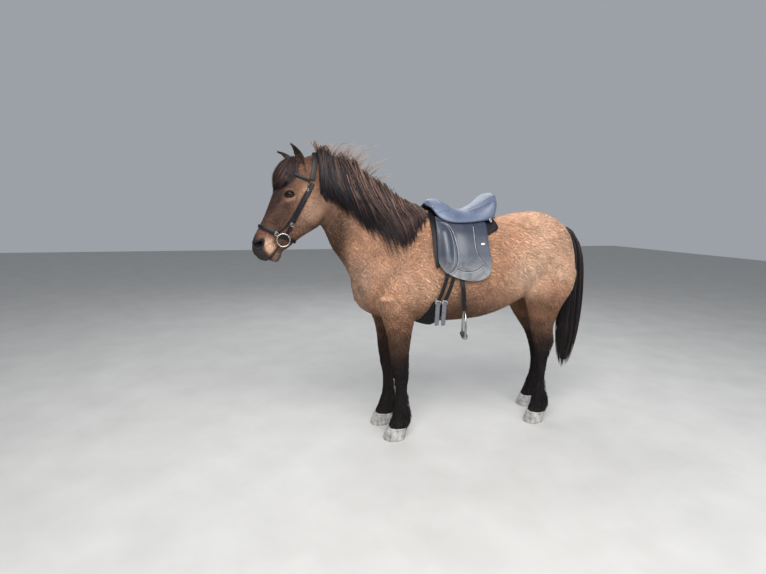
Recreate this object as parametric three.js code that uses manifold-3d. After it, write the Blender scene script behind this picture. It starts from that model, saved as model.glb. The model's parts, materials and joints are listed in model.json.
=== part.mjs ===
// A saddled pony of the Icelandic type, standing, life size, as a still model.
// Millimetres. +Z up, the head points to -Y, +X is the animal's left side.
// The body is one smooth field (section tables for trunk, neck, head and limbs,
// with muscles as ellipsoids), lofted by casting rings of rays onto it, and
// parted afterwards into head, neck, trunk, limbs and hoofs by thin cuts.

import * as THREE from "three";
import { mergeVertices } from "three/addons/utils/BufferGeometryUtils.js";
import Module from "manifold-3d";

const wasm = await Module();
wasm.setup();

const GAP = 0.3;              // clearance between neighbours

// ---------------------------------------------------------------- numbers
// trunk: y, top z, bottom z, half width, z of widest point, exponent above, below
const TRUNK = [
  [-676, 925, 848, 40, 886, 2.0, 2.0],
  [-655, 1000, 806, 92, 893, 2.0, 2.0],
  [-610, 1090, 770, 136, 905, 2.0, 2.1],
  [-540, 1200, 738, 164, 918, 2.0, 2.2],
  [-450, 1305, 714, 188, 925, 1.9, 2.2],
  [-360, 1362, 703, 205, 932, 1.8, 2.2],
  [-280, 1384, 698, 222, 942, 1.8, 2.2],
  [-180, 1372, 697, 243, 955, 1.9, 2.2],
  [-80, 1342, 698, 262, 970, 2.0, 2.25],
  [20, 1326, 703, 273, 982, 2.1, 2.3],
  [120, 1328, 717, 276, 992, 2.15, 2.3],
  [220, 1342, 746, 269, 1010, 2.2, 2.3],
  [320, 1360, 786, 256, 1045, 2.2, 2.3],
  [420, 1377, 836, 246, 1085, 2.2, 2.3],
  [500, 1382, 886, 244, 1110, 2.2, 2.3],
  [580, 1368, 940, 233, 1122, 2.1, 2.2],
  [650, 1328, 992, 202, 1135, 2.0, 2.1],
  [705, 1274, 1042, 150, 1152, 2.0, 2.0],
  [742, 1215, 1092, 66, 1155, 2.0, 2.0],
];
// neck: crest y, z, throat y, z, half width, widest (share from the throat), exponents
const NECK = [
  [-940, 1622, -972, 1420, 56, 0.45, 2.0, 2.0],
  [-860, 1640, -925, 1330, 70, 0.45, 1.9, 2.0],
  [-765, 1622, -870, 1262, 80, 0.42, 1.8, 2.0],
  [-655, 1582, -822, 1160, 92, 0.40, 1.75, 2.0],
  [-540, 1514, -748, 1050, 112, 0.38, 1.7, 2.0],
  [-425, 1442, -703, 955, 140, 0.37, 1.7, 2.0],
  [-315, 1386, -674, 872, 168, 0.36, 1.75, 2.0],
];
// head, in its own frame: s from poll to lips, n towards the face
// s, n face, n jaw, half width, n of widest point, exponent face side, jaw side
const HEAD = [
  [-45, 20, -90, 34, -30, 2.0, 2.0],
  [0, 48, -140, 58, -35, 2.0, 2.0],
  [50, 78, -180, 74, -35, 2.1, 2.0],
  [110, 97, -204, 85, -28, 2.2, 2.0],
  [170, 106, -217, 92, -18, 2.3, 2.0],
  [220, 105, -222, 93, -8, 2.4, 2.0],
  [270, 97, -216, 88, -8, 2.4, 2.0],
  [320, 87, -194, 79, -15, 2.4, 2.0],
  [372, 77, -167, 68, -20, 2.4, 2.0],
  [420, 70, -148, 59, -22, 2.4, 2.0],
  [470, 65, -132, 53, -22, 2.3, 2.0],
  [515, 62, -117, 50, -20, 2.2, 2.1],
  [550, 54, -108, 50, -22, 2.1, 2.1],
  [580, 38, -96, 46, -24, 2.0, 2.1],
  [602, 12, -78, 35, -30, 2.0, 2.0],
  [616, -16, -52, 16, -34, 2.0, 2.0],
];
const POLL = [-925, 1635];                 // y, z of the head frame's origin
const HEAD_DOWN = (57.6 * Math.PI) / 180;  // head axis below the horizontal
// limbs: z front, y front, z back, y back, x, half width, exponent
const FORE_L = [
  [880, -590, 870, -330, 132, 78, 2.2],
  [800, -566, 800, -352, 134, 74, 2.2],
  [740, -551, 740, -360, 131, 70, 2.2],
  [680, -530, 680, -368, 128, 64, 2.2],
  [610, -512, 610, -375, 124, 56, 2.2],
  [540, -502, 540, -381, 121, 50, 2.2],
  [480, -491, 480, -383, 120, 49, 2.3],
  [445, -483, 445, -381, 119, 50, 2.4],
  [410, -479, 410, -379, 119, 50, 2.4],
  [370, -469, 372, -380, 119, 45, 2.3],
  [325, -462, 328, -384, 119, 38, 2.2],
  [270, -459, 274, -386, 119, 35, 2.2],
  [220, -461, 226, -384, 119, 36, 2.2],
  [185, -466, 192, -378, 119, 40, 2.2],
  [155, -474, 158, -368, 120, 43, 2.2],
  [125, -482, 122, -366, 120, 42, 2.2],
  [98, -493, 92, -374, 121, 46, 2.2],
  [74, -503, 70, -388, 122, 51, 2.2],
];
const HIND_L = [
  [960, 400, 1000, 735, 128, 88, 2.2],
  [880, 392, 900, 712, 138, 92, 2.2],
  [800, 410, 820, 672, 138, 84, 2.2],
  [730, 430, 745, 636, 134, 70, 2.2],
  [670, 446, 680, 616, 130, 58, 2.2],
  [610, 462, 622, 612, 127, 49, 2.2],
  [560, 478, 575, 622, 126, 43, 2.2],
  [515, 490, 535, 622, 126, 42, 2.3],
  [465, 502, 480, 602, 126, 42, 2.3],
  [415, 511, 425, 588, 126, 38, 2.3],
  [350, 517, 355, 580, 126, 33, 2.2],
  [280, 516, 285, 576, 126, 31, 2.2],
  [225, 509, 232, 576, 126, 33, 2.2],
  [188, 501, 196, 585, 127, 39, 2.2],
  [156, 494, 160, 598, 127, 43, 2.2],
  [125, 487, 122, 604, 128, 43, 2.2],
  [98, 479, 92, 594, 128, 46, 2.2],
  [74, 470, 70, 580, 129, 50, 2.2],
];
// muscles on both sides: |x|, y, z, radii x, y, z, tilt of the long axis
// from the vertical towards the tail (degrees), blend
const MUSCLES = [
  [118, -468, 1130, 74, 96, 250, 36, 60],    // shoulder blade
  [118, -600, 950, 64, 66, 84, 30, 50],      // point of the shoulder
  [150, -430, 900, 56, 108, 125, 35, 50],    // triceps
  [58, -604, 884, 58, 38, 84, 0, 26],        // breast
  [138, 470, 1180, 100, 190, 150, 0, 70],    // croup
  [140, 585, 985, 92, 140, 180, -12, 60],    // thigh
  [160, 462, 880, 66, 74, 108, -20, 50],     // stifle
  [100, 690, 1040, 74, 62, 150, 0, 50],      // buttock
];
// extra forms of the head, mirrored: |x|, s, n, radii x, s, n, turn in s-n (deg), blend
const HEADFORMS = [
  [44, 222, -118, 44, 104, 92, 0, 30],       // cheek
  [70, 196, 44, 30, 50, 30, 20, 22],         // brow over the orbit
  [72, 262, 2, 22, 56, 20, 30, 20],          // bone under the eye
  [62, 330, -22, 14, 60, 12, 0, 18],         // facial crest
  [32, 545, 20, 25, 38, 30, 25, 16],         // nostril flare
  [0, 578, -8, 47, 36, 42, 0, 22],           // upper lip
  [0, 558, -98, 36, 40, 28, 0, 14],          // chin and lower lip
];
const EYE = { x: 77, s: 229, n: 23, r: 22.5 };

// ---------------------------------------------------------------- fields
const lerp = (a, b, t) => a + (b - a) * t;
const clamp = (v, a, b) => Math.min(b, Math.max(a, v));
function smin(a, b, k) {
  const h = Math.max(k - Math.abs(a - b), 0) / k;
  return Math.min(a, b) - h * h * k * 0.25;
}
// Catmull-Rom refinement of a table, column by column
function refine(table, sub) {
  const out = [];
  for (let i = 0; i < table.length - 1; i++) {
    const p0 = table[Math.max(i - 1, 0)], p1 = table[i];
    const p2 = table[i + 1], p3 = table[Math.min(i + 2, table.length - 1)];
    for (let k = 0; k < sub; k++) {
      const t = k / sub;
      out.push(p1.map((v, c) => 0.5 * (2 * v + (p2[c] - p0[c]) * t
        + (2 * p0[c] - 5 * v + 4 * p2[c] - p3[c]) * t * t
        + (3 * v - p0[c] - 3 * p2[c] + p3[c]) * t * t * t)));
    }
  }
  out.push(table[table.length - 1].slice());
  return out;
}
// A tube in the a-b plane: every section runs from a back point to a front point.
function tube(sections) {
  const S = sections.map(([fa, fb, ba, bb, x, w, wide, e1, e0]) => {
    const da = fa - ba, db = fb - bb, L = Math.hypot(da, db);
    return { ca: ba + da * wide, cb: bb + db * wide, na: da / L, nb: db / L,
      h1: L * (1 - wide), h0: L * wide, x, w, e1, e0 };
  });
  S.forEach((s, i) => {
    const p = S[Math.max(i - 1, 0)], q = S[Math.min(i + 1, S.length - 1)];
    let ta = -s.nb, tb = s.na;
    if (ta * (q.ca - p.ca) + tb * (q.cb - p.cb) < 0) { ta = -ta; tb = -tb; }
    s.ta = ta; s.tb = tb;
  });
  const at = (i, j, t) => {
    const u = S[i], v = S[j], o = {};
    for (const key of ["ca", "cb", "na", "nb", "h1", "h0", "x", "w", "e1", "e0"]) {
      o[key] = lerp(u[key], v[key], t);
    }
    const L = Math.hypot(o.na, o.nb);
    o.na /= L; o.nb /= L;
    return o;
  };
  function dist(x, a, b) {
    let best = Infinity, sec = null, along = 0;
    const n = S.length;
    let prev = (a - S[0].ca) * S[0].ta + (b - S[0].cb) * S[0].tb;
    if (prev < 0) { sec = S[0]; along = -prev; best = Math.hypot(a - S[0].ca, b - S[0].cb); }
    for (let i = 0; i < n - 1; i++) {
      const q = S[i + 1];
      const next = (a - q.ca) * q.ta + (b - q.cb) * q.tb;
      if (prev >= 0 && next < 0) {
        const o = at(i, i + 1, prev / (prev - next));
        const d = Math.hypot(a - o.ca, b - o.cb);
        if (d < best) { best = d; sec = o; along = 0; }
      }
      prev = next;
    }
    if (prev >= 0) {
      const q = S[n - 1], d = Math.hypot(a - q.ca, b - q.cb);
      if (d < best) { sec = q; along = prev; }
    }
    const h = (a - sec.ca) * sec.na + (b - sec.cb) * sec.nb;
    const lx = x - sec.x, hh = h > 0 ? sec.h1 : sec.h0, e = h > 0 ? sec.e1 : sec.e0;
    const rho = Math.pow(Math.pow(Math.abs(lx) / sec.w, e) + Math.pow(Math.abs(h) / hh, e), 1 / e);
    const len = Math.hypot(lx, h);
    const d = rho < 1e-6 ? -Math.min(sec.w, hh) : len * (1 - 1 / rho);
    return along > 0 ? Math.hypot(Math.max(d, 0), along) : d;
  }
  return { dist, S };
}
function ellipsoid(cx, ca, cb, rx, ra, rb, turn) {
  const c = Math.cos((turn * Math.PI) / 180), s = Math.sin((turn * Math.PI) / 180);
  return (x, a, b) => {
    const u = x - cx, pa = a - ca, pb = b - cb;
    const v = c * pa - s * pb, w = s * pa + c * pb;
    const k = Math.hypot(u / rx, v / ra, w / rb);
    return k < 1e-6 ? -Math.min(rx, ra, rb) : Math.hypot(u, v, w) * (1 - 1 / k);
  };
}

const trunkTube = tube(refine(TRUNK, 3).map(([y, zt, zb, w, zw, e1, e0]) =>
  [y, zt, y, zb, 0, w, (zw - zb) / (zt - zb), e1, e0]));
const neckTube = tube(refine(NECK, 3).map(([cy, cz, ty, tz, w, f, e1, e0]) =>
  [cy, cz, ty, tz, 0, w, f, e1, e0]));
const headTube = tube(refine(HEAD, 3).map(([s, nf, nj, w, nw, e1, e0]) =>
  [s, nf, s, nj, 0, w, (nw - nj) / (nf - nj), e1, e0]));
const limb = (table) => tube(refine(table, 3).map(([zf, yf, zb, yb, x, w, e]) =>
  [yf, zf, yb, zb, x, w, 0.5, e, e]));
// the far limbs: shifted copies, set further forward or back near the ground
const shifted = (table, dx, dy) => table.map(([zf, yf, zb, yb, x, w, e]) =>
  [zf, yf + dy(zf), zb, yb + dy(zb), -(x + dx), w, e]);
const ramp = (z, z0, z1) => clamp((z - z0) / (z1 - z0), 0, 1);
const smooth = (t) => t * t * (3 - 2 * t);
const FORE_R = shifted(FORE_L, -6, (z) => -8 * smooth(ramp(z, 300, 40)) - 9 * smooth(ramp(z, 700, 450)));
const HIND_R = shifted(HIND_L, 16, (z) => 122 * smooth(ramp(z, 960, 420)) + 14 * smooth(ramp(z, 500, 300))
  - 18 * smooth(ramp(z, 240, 60)) - 15 * Math.exp(-Math.pow((z - 700) / 110, 2)));
const foreL = limb(FORE_L), foreR = limb(FORE_R), hindL = limb(HIND_L), hindR = limb(HIND_R);
const muscles = MUSCLES.map(([x, y, z, rx, ry, rz, tilt, k]) => ({ f: ellipsoid(x, y, z, rx, ry, rz, tilt), k }));
const headForms = HEADFORMS.map(([x, s, n, rx, rs, rn, turn, k]) => ({ f: ellipsoid(x, s, n, rx, rs, rn, turn), k }));

const cd = Math.cos(HEAD_DOWN), sd = Math.sin(HEAD_DOWN);
const toHead = (y, z) => [-(y - POLL[0]) * cd - (z - POLL[1]) * sd, -(y - POLL[0]) * sd + (z - POLL[1]) * cd];
const fromHead = (s, n) => [POLL[0] - s * cd - n * sd, POLL[1] - s * sd + n * cd];

function headField(x, y, z) {
  const [s, n] = toHead(y, z), ax = Math.abs(x);
  let d = headTube.dist(x, s, n);
  for (const m of headForms) d = smin(d, m.f(ax, s, n), m.k);
  return d;
}
function torsoField(x, y, z) {
  const ax = Math.abs(x);
  let d = smin(trunkTube.dist(x, y, z), neckTube.dist(x, y, z), 70);
  for (const m of muscles) d = smin(d, m.f(ax, y, z), m.k);
  return d;
}
function trunkField(x, y, z) {
  const ax = Math.abs(x);
  let d = trunkTube.dist(x, y, z);
  for (const m of muscles) d = smin(d, m.f(ax, y, z), m.k);
  return d;
}

// ---------------------------------------------------------------- meshes
const V = (x, y, z) => new THREE.Vector3(x, y, z);
// closed loft through rings of equal length; ends closed by fans
function loft(rings, closedLoop = false) {
  const n = rings[0].length, m = rings.length, pos = [], idx = [];
  rings.forEach((r) => r.forEach((p) => pos.push(p.x, p.y, p.z)));
  const last = closedLoop ? m : m - 1;
  for (let i = 0; i < last; i++) {
    const i2 = (i + 1) % m;
    for (let j = 0; j < n; j++) {
      const a = i * n + j, b = i * n + ((j + 1) % n), c = i2 * n + j, d = i2 * n + ((j + 1) % n);
      idx.push(a, b, d, a, d, c);
    }
  }
  if (!closedLoop) {
    for (const [ring, flip] of [[0, true], [m - 1, false]]) {
      const c = rings[ring].reduce((s, p) => s.add(p), V(0, 0, 0)).divideScalar(n);
      const ci = pos.length / 3;
      pos.push(c.x, c.y, c.z);
      for (let j = 0; j < n; j++) {
        const a = ring * n + j, b = ring * n + ((j + 1) % n);
        if (flip) idx.push(ci, b, a); else idx.push(ci, a, b);
      }
    }
  }
  const g = new THREE.BufferGeometry();
  g.setAttribute("position", new THREE.Float32BufferAttribute(pos, 3));
  g.setIndex(idx);
  return outward(g);
}
// turn a closed mesh so that its faces point out
function outward(g) {
  const p = g.getAttribute("position"), idx = g.getIndex().array;
  let vol = 0;
  const a = V(0, 0, 0), b = V(0, 0, 0), c = V(0, 0, 0);
  for (let i = 0; i < idx.length; i += 3) {
    a.fromBufferAttribute(p, idx[i]); b.fromBufferAttribute(p, idx[i + 1]); c.fromBufferAttribute(p, idx[i + 2]);
    vol += a.dot(b.cross(c));
  }
  if (vol < 0) {
    const out = Array.from(idx);
    for (let i = 0; i < out.length; i += 3) { const t = out[i]; out[i] = out[i + 1]; out[i + 1] = t; }
    g.setIndex(out);
  }
  return g;
}
function solid(geometry, matrix) {
  let g = geometry.clone();
  g.deleteAttribute("normal");
  g.deleteAttribute("uv");
  if (matrix) g.applyMatrix4(matrix);
  g = mergeVertices(g, 1e-4);
  return new wasm.Manifold(new wasm.Mesh({
    numProp: 3,
    vertProperties: new Float32Array(g.getAttribute("position").array),
    triVerts: new Uint32Array(g.getIndex().array),
  }));
}
// back to a geometry; of several closed bodies only the largest is kept
function geometryOf(man) {
  const mesh = man.getMesh();
  const np = mesh.numProp, vp = mesh.vertProperties, tv = mesh.triVerts;
  let g = new THREE.BufferGeometry();
  const pos = [];
  for (let i = 0; i < vp.length / np; i++) pos.push(vp[i * np], vp[i * np + 1], vp[i * np + 2]);
  g.setAttribute("position", new THREE.Float32BufferAttribute(pos, 3));
  g.setIndex(Array.from(tv));
  g = mergeVertices(g, 1e-3);
  const idx = g.getIndex().array, n = g.getAttribute("position").count;
  const parent = Array.from({ length: n }, (_, i) => i);
  const find = (i) => { while (parent[i] !== i) { parent[i] = parent[parent[i]]; i = parent[i]; } return i; };
  for (let i = 0; i < idx.length; i += 3) {
    const r = find(idx[i]);
    parent[find(idx[i + 1])] = r; parent[find(idx[i + 2])] = r;
  }
  const size = new Map();
  const p = g.getAttribute("position");
  const a = V(0, 0, 0), b = V(0, 0, 0), c = V(0, 0, 0);
  for (let i = 0; i < idx.length; i += 3) {
    a.fromBufferAttribute(p, idx[i]); b.fromBufferAttribute(p, idx[i + 1]); c.fromBufferAttribute(p, idx[i + 2]);
    const r = find(idx[i]);
    size.set(r, (size.get(r) || 0) + a.dot(b.clone().cross(c)));
  }
  let keep = null;
  for (const [r, v] of size) if (keep === null || v > size.get(keep)) keep = r;
  const out = [];
  for (let i = 0; i < idx.length; i += 3) {
    if (find(idx[i]) !== keep) continue;
    if (idx[i] === idx[i + 1] || idx[i + 1] === idx[i + 2] || idx[i] === idx[i + 2]) continue;
    out.push(idx[i], idx[i + 1], idx[i + 2]);
  }
  g.setIndex(out);
  return g;
}
// first crossing of a field along a ray from inside to outside
function cast(field, o, d, max, grow = 0) {
  let r = 0, step = 8, prev = 0;
  while (r < max && field(o.x + d.x * r, o.y + d.y * r, o.z + d.z * r) < grow) { prev = r; r += step; }
  if (r >= max) return max;
  let lo = prev, hi = r;
  for (let k = 0; k < 12; k++) {
    const m = (lo + hi) / 2;
    if (field(o.x + d.x * m, o.y + d.y * m, o.z + d.z * m) < grow) lo = m; else hi = m;
  }
  return (lo + hi) / 2;
}
// ring of rays in the plane of e1, e2 about o
function ring(field, o, e1, e2, n, max, grow, a0 = 0) {
  const out = [];
  for (let j = 0; j < n; j++) {
    const t = a0 + (2 * Math.PI * j) / n;
    const d = e1.clone().multiplyScalar(Math.cos(t)).addScaledVector(e2, Math.sin(t));
    const lim = typeof max === "function" ? max(t, d) : max;
    out.push(o.clone().addScaledVector(d, cast(field, o, d, lim, grow)));
  }
  return out;
}

const X = V(1, 0, 0), Y = V(0, 1, 0), Z = V(0, 0, 1);
const NB = 18;
function trunkSolid(grow) {
  const rings = [];
  const ys = [-668, -640, -590, -520, -440, -360, -300, -250, -195, -120, -20, 90, 190, 290, 380, 460, 540, 610, 668, 710, 736];
  ys[0] -= grow;
  ys[ys.length - 1] += grow;
  for (const y of ys) {
    const t = sectionAt(TRUNK, y);
    const o = V(0, y, lerp(t[2], t[1], y > 380 ? 0.62 : 0.5));
    rings.push(ring(trunkField, o, X, Z, NB, 520, grow));
  }
  return solid(loft(rings));
}
function sectionAt(table, y) {
  for (let i = 0; i < table.length - 1; i++) {
    if (y <= table[i + 1][0]) {
      const t = clamp((y - table[i][0]) / (table[i + 1][0] - table[i][0]), 0, 1);
      return table[i].map((v, c) => lerp(v, table[i + 1][c], t));
    }
  }
  return table[table.length - 1];
}
function neckSolid(grow) {
  const rings = refine(NECK, 1).map(([cy, cz, ty, tz], i, all) => {
    const o = V(0, lerp(ty, cy, 0.48), lerp(tz, cz, 0.48));
    const up = V(0, cy - ty, cz - tz);
    const half = up.length() / 2;
    up.normalize();
    // the grown copy is also longer at both ends
    if (i === 0) o.addScaledVector(V(0, -up.z, up.y), grow);
    if (i === all.length - 1) o.addScaledVector(V(0, -up.z, up.y), -grow);
    return ring(torsoField, o, X, up, 18, () => half * 1.12 + grow, grow);
  });
  return solid(loft(rings));
}
function headSolid(grow) {
  const stations = [-36, 0, 50, 105, 158, 200, 235, 275, 325, 385, 445, 500, 534, 560, 583, 601, 612];
  const e2 = V(0, -sd, cd);
  const rings = stations.map((s0, i) => {
    const s = s0 + (i === 0 ? -grow : i === stations.length - 1 ? grow : 0);
    const t = sectionAt(HEAD, s), [y, z] = fromHead(s, lerp(t[2], t[1], 0.52));
    return ring(headField, V(0, y, z), X, e2, 16, 260, grow);
  });
  return solid(loft(rings));
}
// a limb straight from its sections, between two indexes of the refined table
function limbSolid(table, grow, from = 0, to = 1e9) {
  const T = refine(table, 1).slice(from, to + 1);
  const rings = T.map(([zf, yf, zb, yb, x, w, e]) => {
    const out = [], n = 10, hy = (yf - yb) / 2, hz = (zf - zb) / 2, L = Math.hypot(hy, hz);
    const gy = hy * (1 + grow / L), gz = hz * (1 + grow / L);
    for (let j = 0; j < n; j++) {
      const t = (2 * Math.PI * j) / n, c = Math.cos(t), s = Math.sin(t);
      const px = Math.sign(c) * Math.pow(Math.abs(c), 2 / e), py = Math.sign(s) * Math.pow(Math.abs(s), 2 / e);
      out.push(V(x + px * (w + grow), (yf + yb) / 2 + py * gy, (zf + zb) / 2 + py * gz));
    }
    return out;
  });
  return solid(loft(rings));
}
// prism over an outline in the y-z plane, between two x
function prism(outline, x0, x1) {
  const shape = new THREE.Shape(outline.map(([y, z]) => new THREE.Vector2(y, z)));
  const g = new THREE.ExtrudeGeometry(shape, { depth: x1 - x0, bevelEnabled: false });
  const m = new THREE.Matrix4().makeBasis(Y, Z, X);
  m.setPosition(x0, 0, 0);
  return solid(g, m);
}
const grown = (outline, g) => {
  const c = outline.reduce((a, p) => [a[0] + p[0] / outline.length, a[1] + p[1] / outline.length], [0, 0]);
  return outline.map(([y, z]) => {
    const L = Math.hypot(y - c[0], z - c[1]);
    return [y + ((y - c[0]) / L) * g, z + ((z - c[1]) / L) * g];
  });
};

// hoof: a slanted block, flat below, wider at the ground
function hoofSolid(table, grow, toe) {
  const [zf, yf, zb, yb, x, w] = table[table.length - 1];
  const rings = [];
  const top = 70, levels = [[top - GAP, 0], [44, 0.4], [5, 0.95], [0, 0.97]];
  for (const [z, t] of levels) {
    const front = yf - 3 - toe * t, back = yb - 2 - 14 * t, hw = w + 1 + 8 * t, out = [], n = 10;
    for (let j = 0; j < n; j++) {
      const a = (2 * Math.PI * j) / n, c = Math.cos(a), s = Math.sin(a);
      const half = (back - front) / 2, mid = (back + front) / 2;
      // square heels, round toe
      const py = s > 0 ? Math.min(s * 1.12, 0.94) : s;
      out.push(V(x + Math.sign(c) * Math.pow(Math.abs(c), 0.86) * hw, mid + py * half, z));
    }
    rings.push(out);
  }
  return solid(loft(rings));
}

// ---------------------------------------------------------------- body
const root = new THREE.Group();
const COL = { coat: 0xb98d6c, dark: 0x2a2322, hair: 0x2b2629, horn: 0xb9b3a8, leather: 0x23252b, seat: 0x4a5366,
  steel: 0xb9bcc0, brass: 0xb89b5c, eye: 0x120c0a, rubber: 0x1a1a1c };
const clearOfBody = (m) => m.subtract(head1).subtract(neck1).subtract(trunk1);
function node(name, geometry, color, roughness = 0.8, metalness = 0) {
  const g = geometry instanceof THREE.BufferGeometry ? geometry : geometryOf(geometry);
  g.deleteAttribute("uv");
  if (!g.getAttribute("normal")) g.computeVertexNormals();
  const mesh = new THREE.Mesh(g, new THREE.MeshStandardMaterial({ color, roughness, metalness }));
  mesh.name = name;
  root.add(mesh);
  return mesh;
}

const trunk0 = trunkSolid(0), trunk1 = trunkSolid(GAP + 0.1);
const neck0 = neckSolid(0), neck1 = neckSolid(GAP + 0.1);
const head0 = headSolid(0), head1 = headSolid(GAP + 0.1);
const eyeAt = (side) => {
  const [y, z] = fromHead(EYE.s, EYE.n);
  return V(side * EYE.x, y, z);
};
const ball = (side, r) => solid(new THREE.SphereGeometry(r, 8, 6), new THREE.Matrix4().makeTranslation(...eyeAt(side).toArray()));

// planes that part neck from trunk and the haunches from the trunk
const NECK_REGION = [[-1100, 1800], [-1100, 900], [-720, 800], [-690, 925], [-345, 1400], [-300, 1500], [-300, 1800]];
const THIGH_REGION = [[350, 600], [362, 905], [450, 985], [640, 1000], [800, 930], [900, 600], [900, 0], [350, 0]];

let torso = trunk0.add(neck0);
let neckNode = torso.intersect(prism(NECK_REGION, -400, 400)).subtract(head1);
let trunkNode = torso.subtract(prism(grown(NECK_REGION, GAP), -401, 401)).subtract(head1);

const legs = {
  left_fore: { table: FORE_L, cut: 8, toe: 27 }, right_fore: { table: FORE_R, cut: 8, toe: 27 },
  left_hind: { table: HIND_L, cut: 8, toe: 25 }, right_hind: { table: HIND_R, cut: 8, toe: 25 },
};
const legUpper = {}, legLower = {}, hoofs = {};
for (const [name, L] of Object.entries(legs)) {
  const side = name.startsWith("left") ? 1 : -1;
  const whole = limbSolid(L.table, 0), last = L.table[L.cut];
  const zCut = (last[0] + last[2]) / 2;
  const below = prism([[-2000, zCut], [2000, zCut], [2000, -10], [-2000, -10]], -900, 900);
  const belowTop = prism([[-2000, zCut + GAP], [2000, zCut + GAP], [2000, -10], [-2000, -10]], -900, 900);
  legLower[name] = whole.intersect(below);
  let upper = whole.subtract(belowTop);
  if (name.endsWith("hind")) {
    // the thigh goes with the leg
    const zone = side > 0 ? prism(THIGH_REGION, 8, 500) : prism(THIGH_REGION, -500, -8);
    const zone1 = side > 0 ? prism(grown(THIGH_REGION, GAP), 8 - GAP, 501) : prism(grown(THIGH_REGION, GAP), -501, -8 + GAP);
    const part = trunkNode.intersect(zone);
    upper = upper.intersect(zone).add(part);
    trunkNode = trunkNode.subtract(zone1);
  } else {
    upper = upper.subtract(trunk1);
  }
  legUpper[name] = upper;
  hoofs[name] = hoofSolid(L.table, 0, L.toe);
  // the pastern ends level above the hoof
  legLower[name] = legLower[name].intersect(prism([[-2000, 70], [2000, 70], [2000, 900], [-2000, 900]], -900, 900));
}

// ears: a curled leaf, open to the front and side
// left ear upright, right ear pricked forward: base and tip, |x| y z
const CHEEK = [[128, -56], [190, -60], [260, -66], [330, -72], [385, -76], [416, -78]];
const EARS = { 1: { base: [50, -985, 1588], tip: [76, -1046, 1716] }, [-1]: { base: [50, -994, 1584], tip: [88, -1100, 1694] } };
function earSolid(side, grow) {
  const E = EARS[side], b = V(side * E.base[0], E.base[1], E.base[2]), t = V(side * E.tip[0], E.tip[1], E.tip[2]);
  const axis = t.clone().sub(b), length = axis.length();
  axis.normalize();
  // the opening looks forward and outward
  const open = V(side * 0.62, side > 0 ? -0.74 : -0.5, side > 0 ? 0.1 : -0.5);
  open.addScaledVector(axis, -open.dot(axis)).normalize();
  const wide = axis.clone().cross(open).normalize();
  const n = 10, rings = [];
  for (const [u, w, d, hollow, bow] of [[-0.2, 20, 22, 0, 0], [0, 25, 25, 0.35, 0], [0.2, 29, 24, 0.75, 5], [0.42, 28.5, 20, 0.85, 8],
    [0.64, 23, 15, 0.85, 8], [0.82, 14.5, 10, 0.8, 4], [0.94, 7, 6, 0.5, -1], [1, 2.6, 2.4, 0, -5]]) {
    const out = [];
    const c = b.clone().addScaledVector(axis, length * u).addScaledVector(open, -bow);
    for (let j = 0; j < n; j++) {
      const a = (2 * Math.PI * j) / n, py = Math.sin(a);
      const depth = py > 0 ? py * (1 - hollow * py * 1.15) : py;
      out.push(c.clone().addScaledVector(wide, Math.cos(a) * (w + grow)).addScaledVector(open, depth * (d + grow)));
    }
    rings.push(out);
  }
  return solid(loft(rings));
}

// ---------------------------------------------------------------- hair
const bodyField = (x, y, z) => Math.min(headField(x, y, z), torsoField(x, y, z));
// a closed ring between two offsets of a field, over a span of angles
function shellRing(field, o, e1, e2, a0, a1, n, inner, outer, max = 620) {
  const top = [], low = [];
  for (let j = 0; j <= n; j++) {
    const u = j / n, t = lerp(a0, a1, u);
    const d = e1.clone().multiplyScalar(Math.cos(t)).addScaledVector(e2, Math.sin(t));
    const r = cast(field, o, d, max, 0);
    top.push(o.clone().addScaledVector(d, r + outer(u)));
    low.push(o.clone().addScaledVector(d, r + inner(u)));
  }
  return top.concat(low.reverse());
}
const RAD = Math.PI / 180;
// mane: station y, z of the crest, lower edge angle from straight up,
// thickness on the crest, on the side, at the edge
const MANE = [
  [-908, 1620, 50, 46, 30, 14],
  [-866, 1632, 88, 84, 40, 16],
  [-800, 1624, 106, 118, 50, 18],
  [-735, 1602, 114, 112, 54, 19],
  [-672, 1574, 122, 66, 56, 20],
  [-600, 1536, 128, 56, 56, 20],
  [-525, 1494, 124, 56, 56, 20],
  [-455, 1452, 119, 54, 52, 19],
  [-398, 1422, 98, 40, 44, 17],
  [-345, 1398, 72, 32, 36, 15],
  [-300, 1386, 52, 28, 26, 13],
  [-275, 1381, 38, 20, 17, 12],
];
function maneSolid() {
  const rings = MANE.map(([y, z, edge, top, side, tip]) => {
    const up = Z, o = V(0, y, z - 215);
    const a0 = (90 - edge) * RAD, a1 = (90 + 13) * RAD, share = edge / (edge + 13);
    const outer = (u) => (u < share
      ? lerp(lerp(tip, side, Math.min(1, (u / share) * 2.2)), top, smooth(ramp(u / share, 0.72, 1)))
      : lerp(top, 9, Math.pow((u - share) / (1 - share), 1.4)));
    return shellRing(bodyField, o, X, up, a0, a1, 7, (u) => Math.min(11, 0.5 * outer(u)), outer);
  });
  return solid(loft(rings));
}
// forelock: s along the head, half angle, thickness in the middle
const FORELOCK = [
  [-8, 16, 42], [28, 21, 58], [62, 27, 66], [100, 40, 68], [140, 47, 66], [175, 50, 58], [205, 46, 44], [235, 36, 28], [258, 22, 10],
];
function forelockSolid() {
  const e2 = V(0, -sd, cd);
  const rings = FORELOCK.map(([s, half, thick]) => {
    const [y, z] = fromHead(s, -20);
    const outer = (u) => lerp(5, thick, Math.pow(1 - Math.pow(Math.abs(2 * u - 1), 2.4), 0.7));
    return shellRing(headField, V(0, y, z), X, e2, (90 - half) * RAD, (90 + half) * RAD, 5, (u) => Math.min(7, 0.5 * outer(u)), outer, 260);
  });
  return solid(loft(rings));
}
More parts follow.
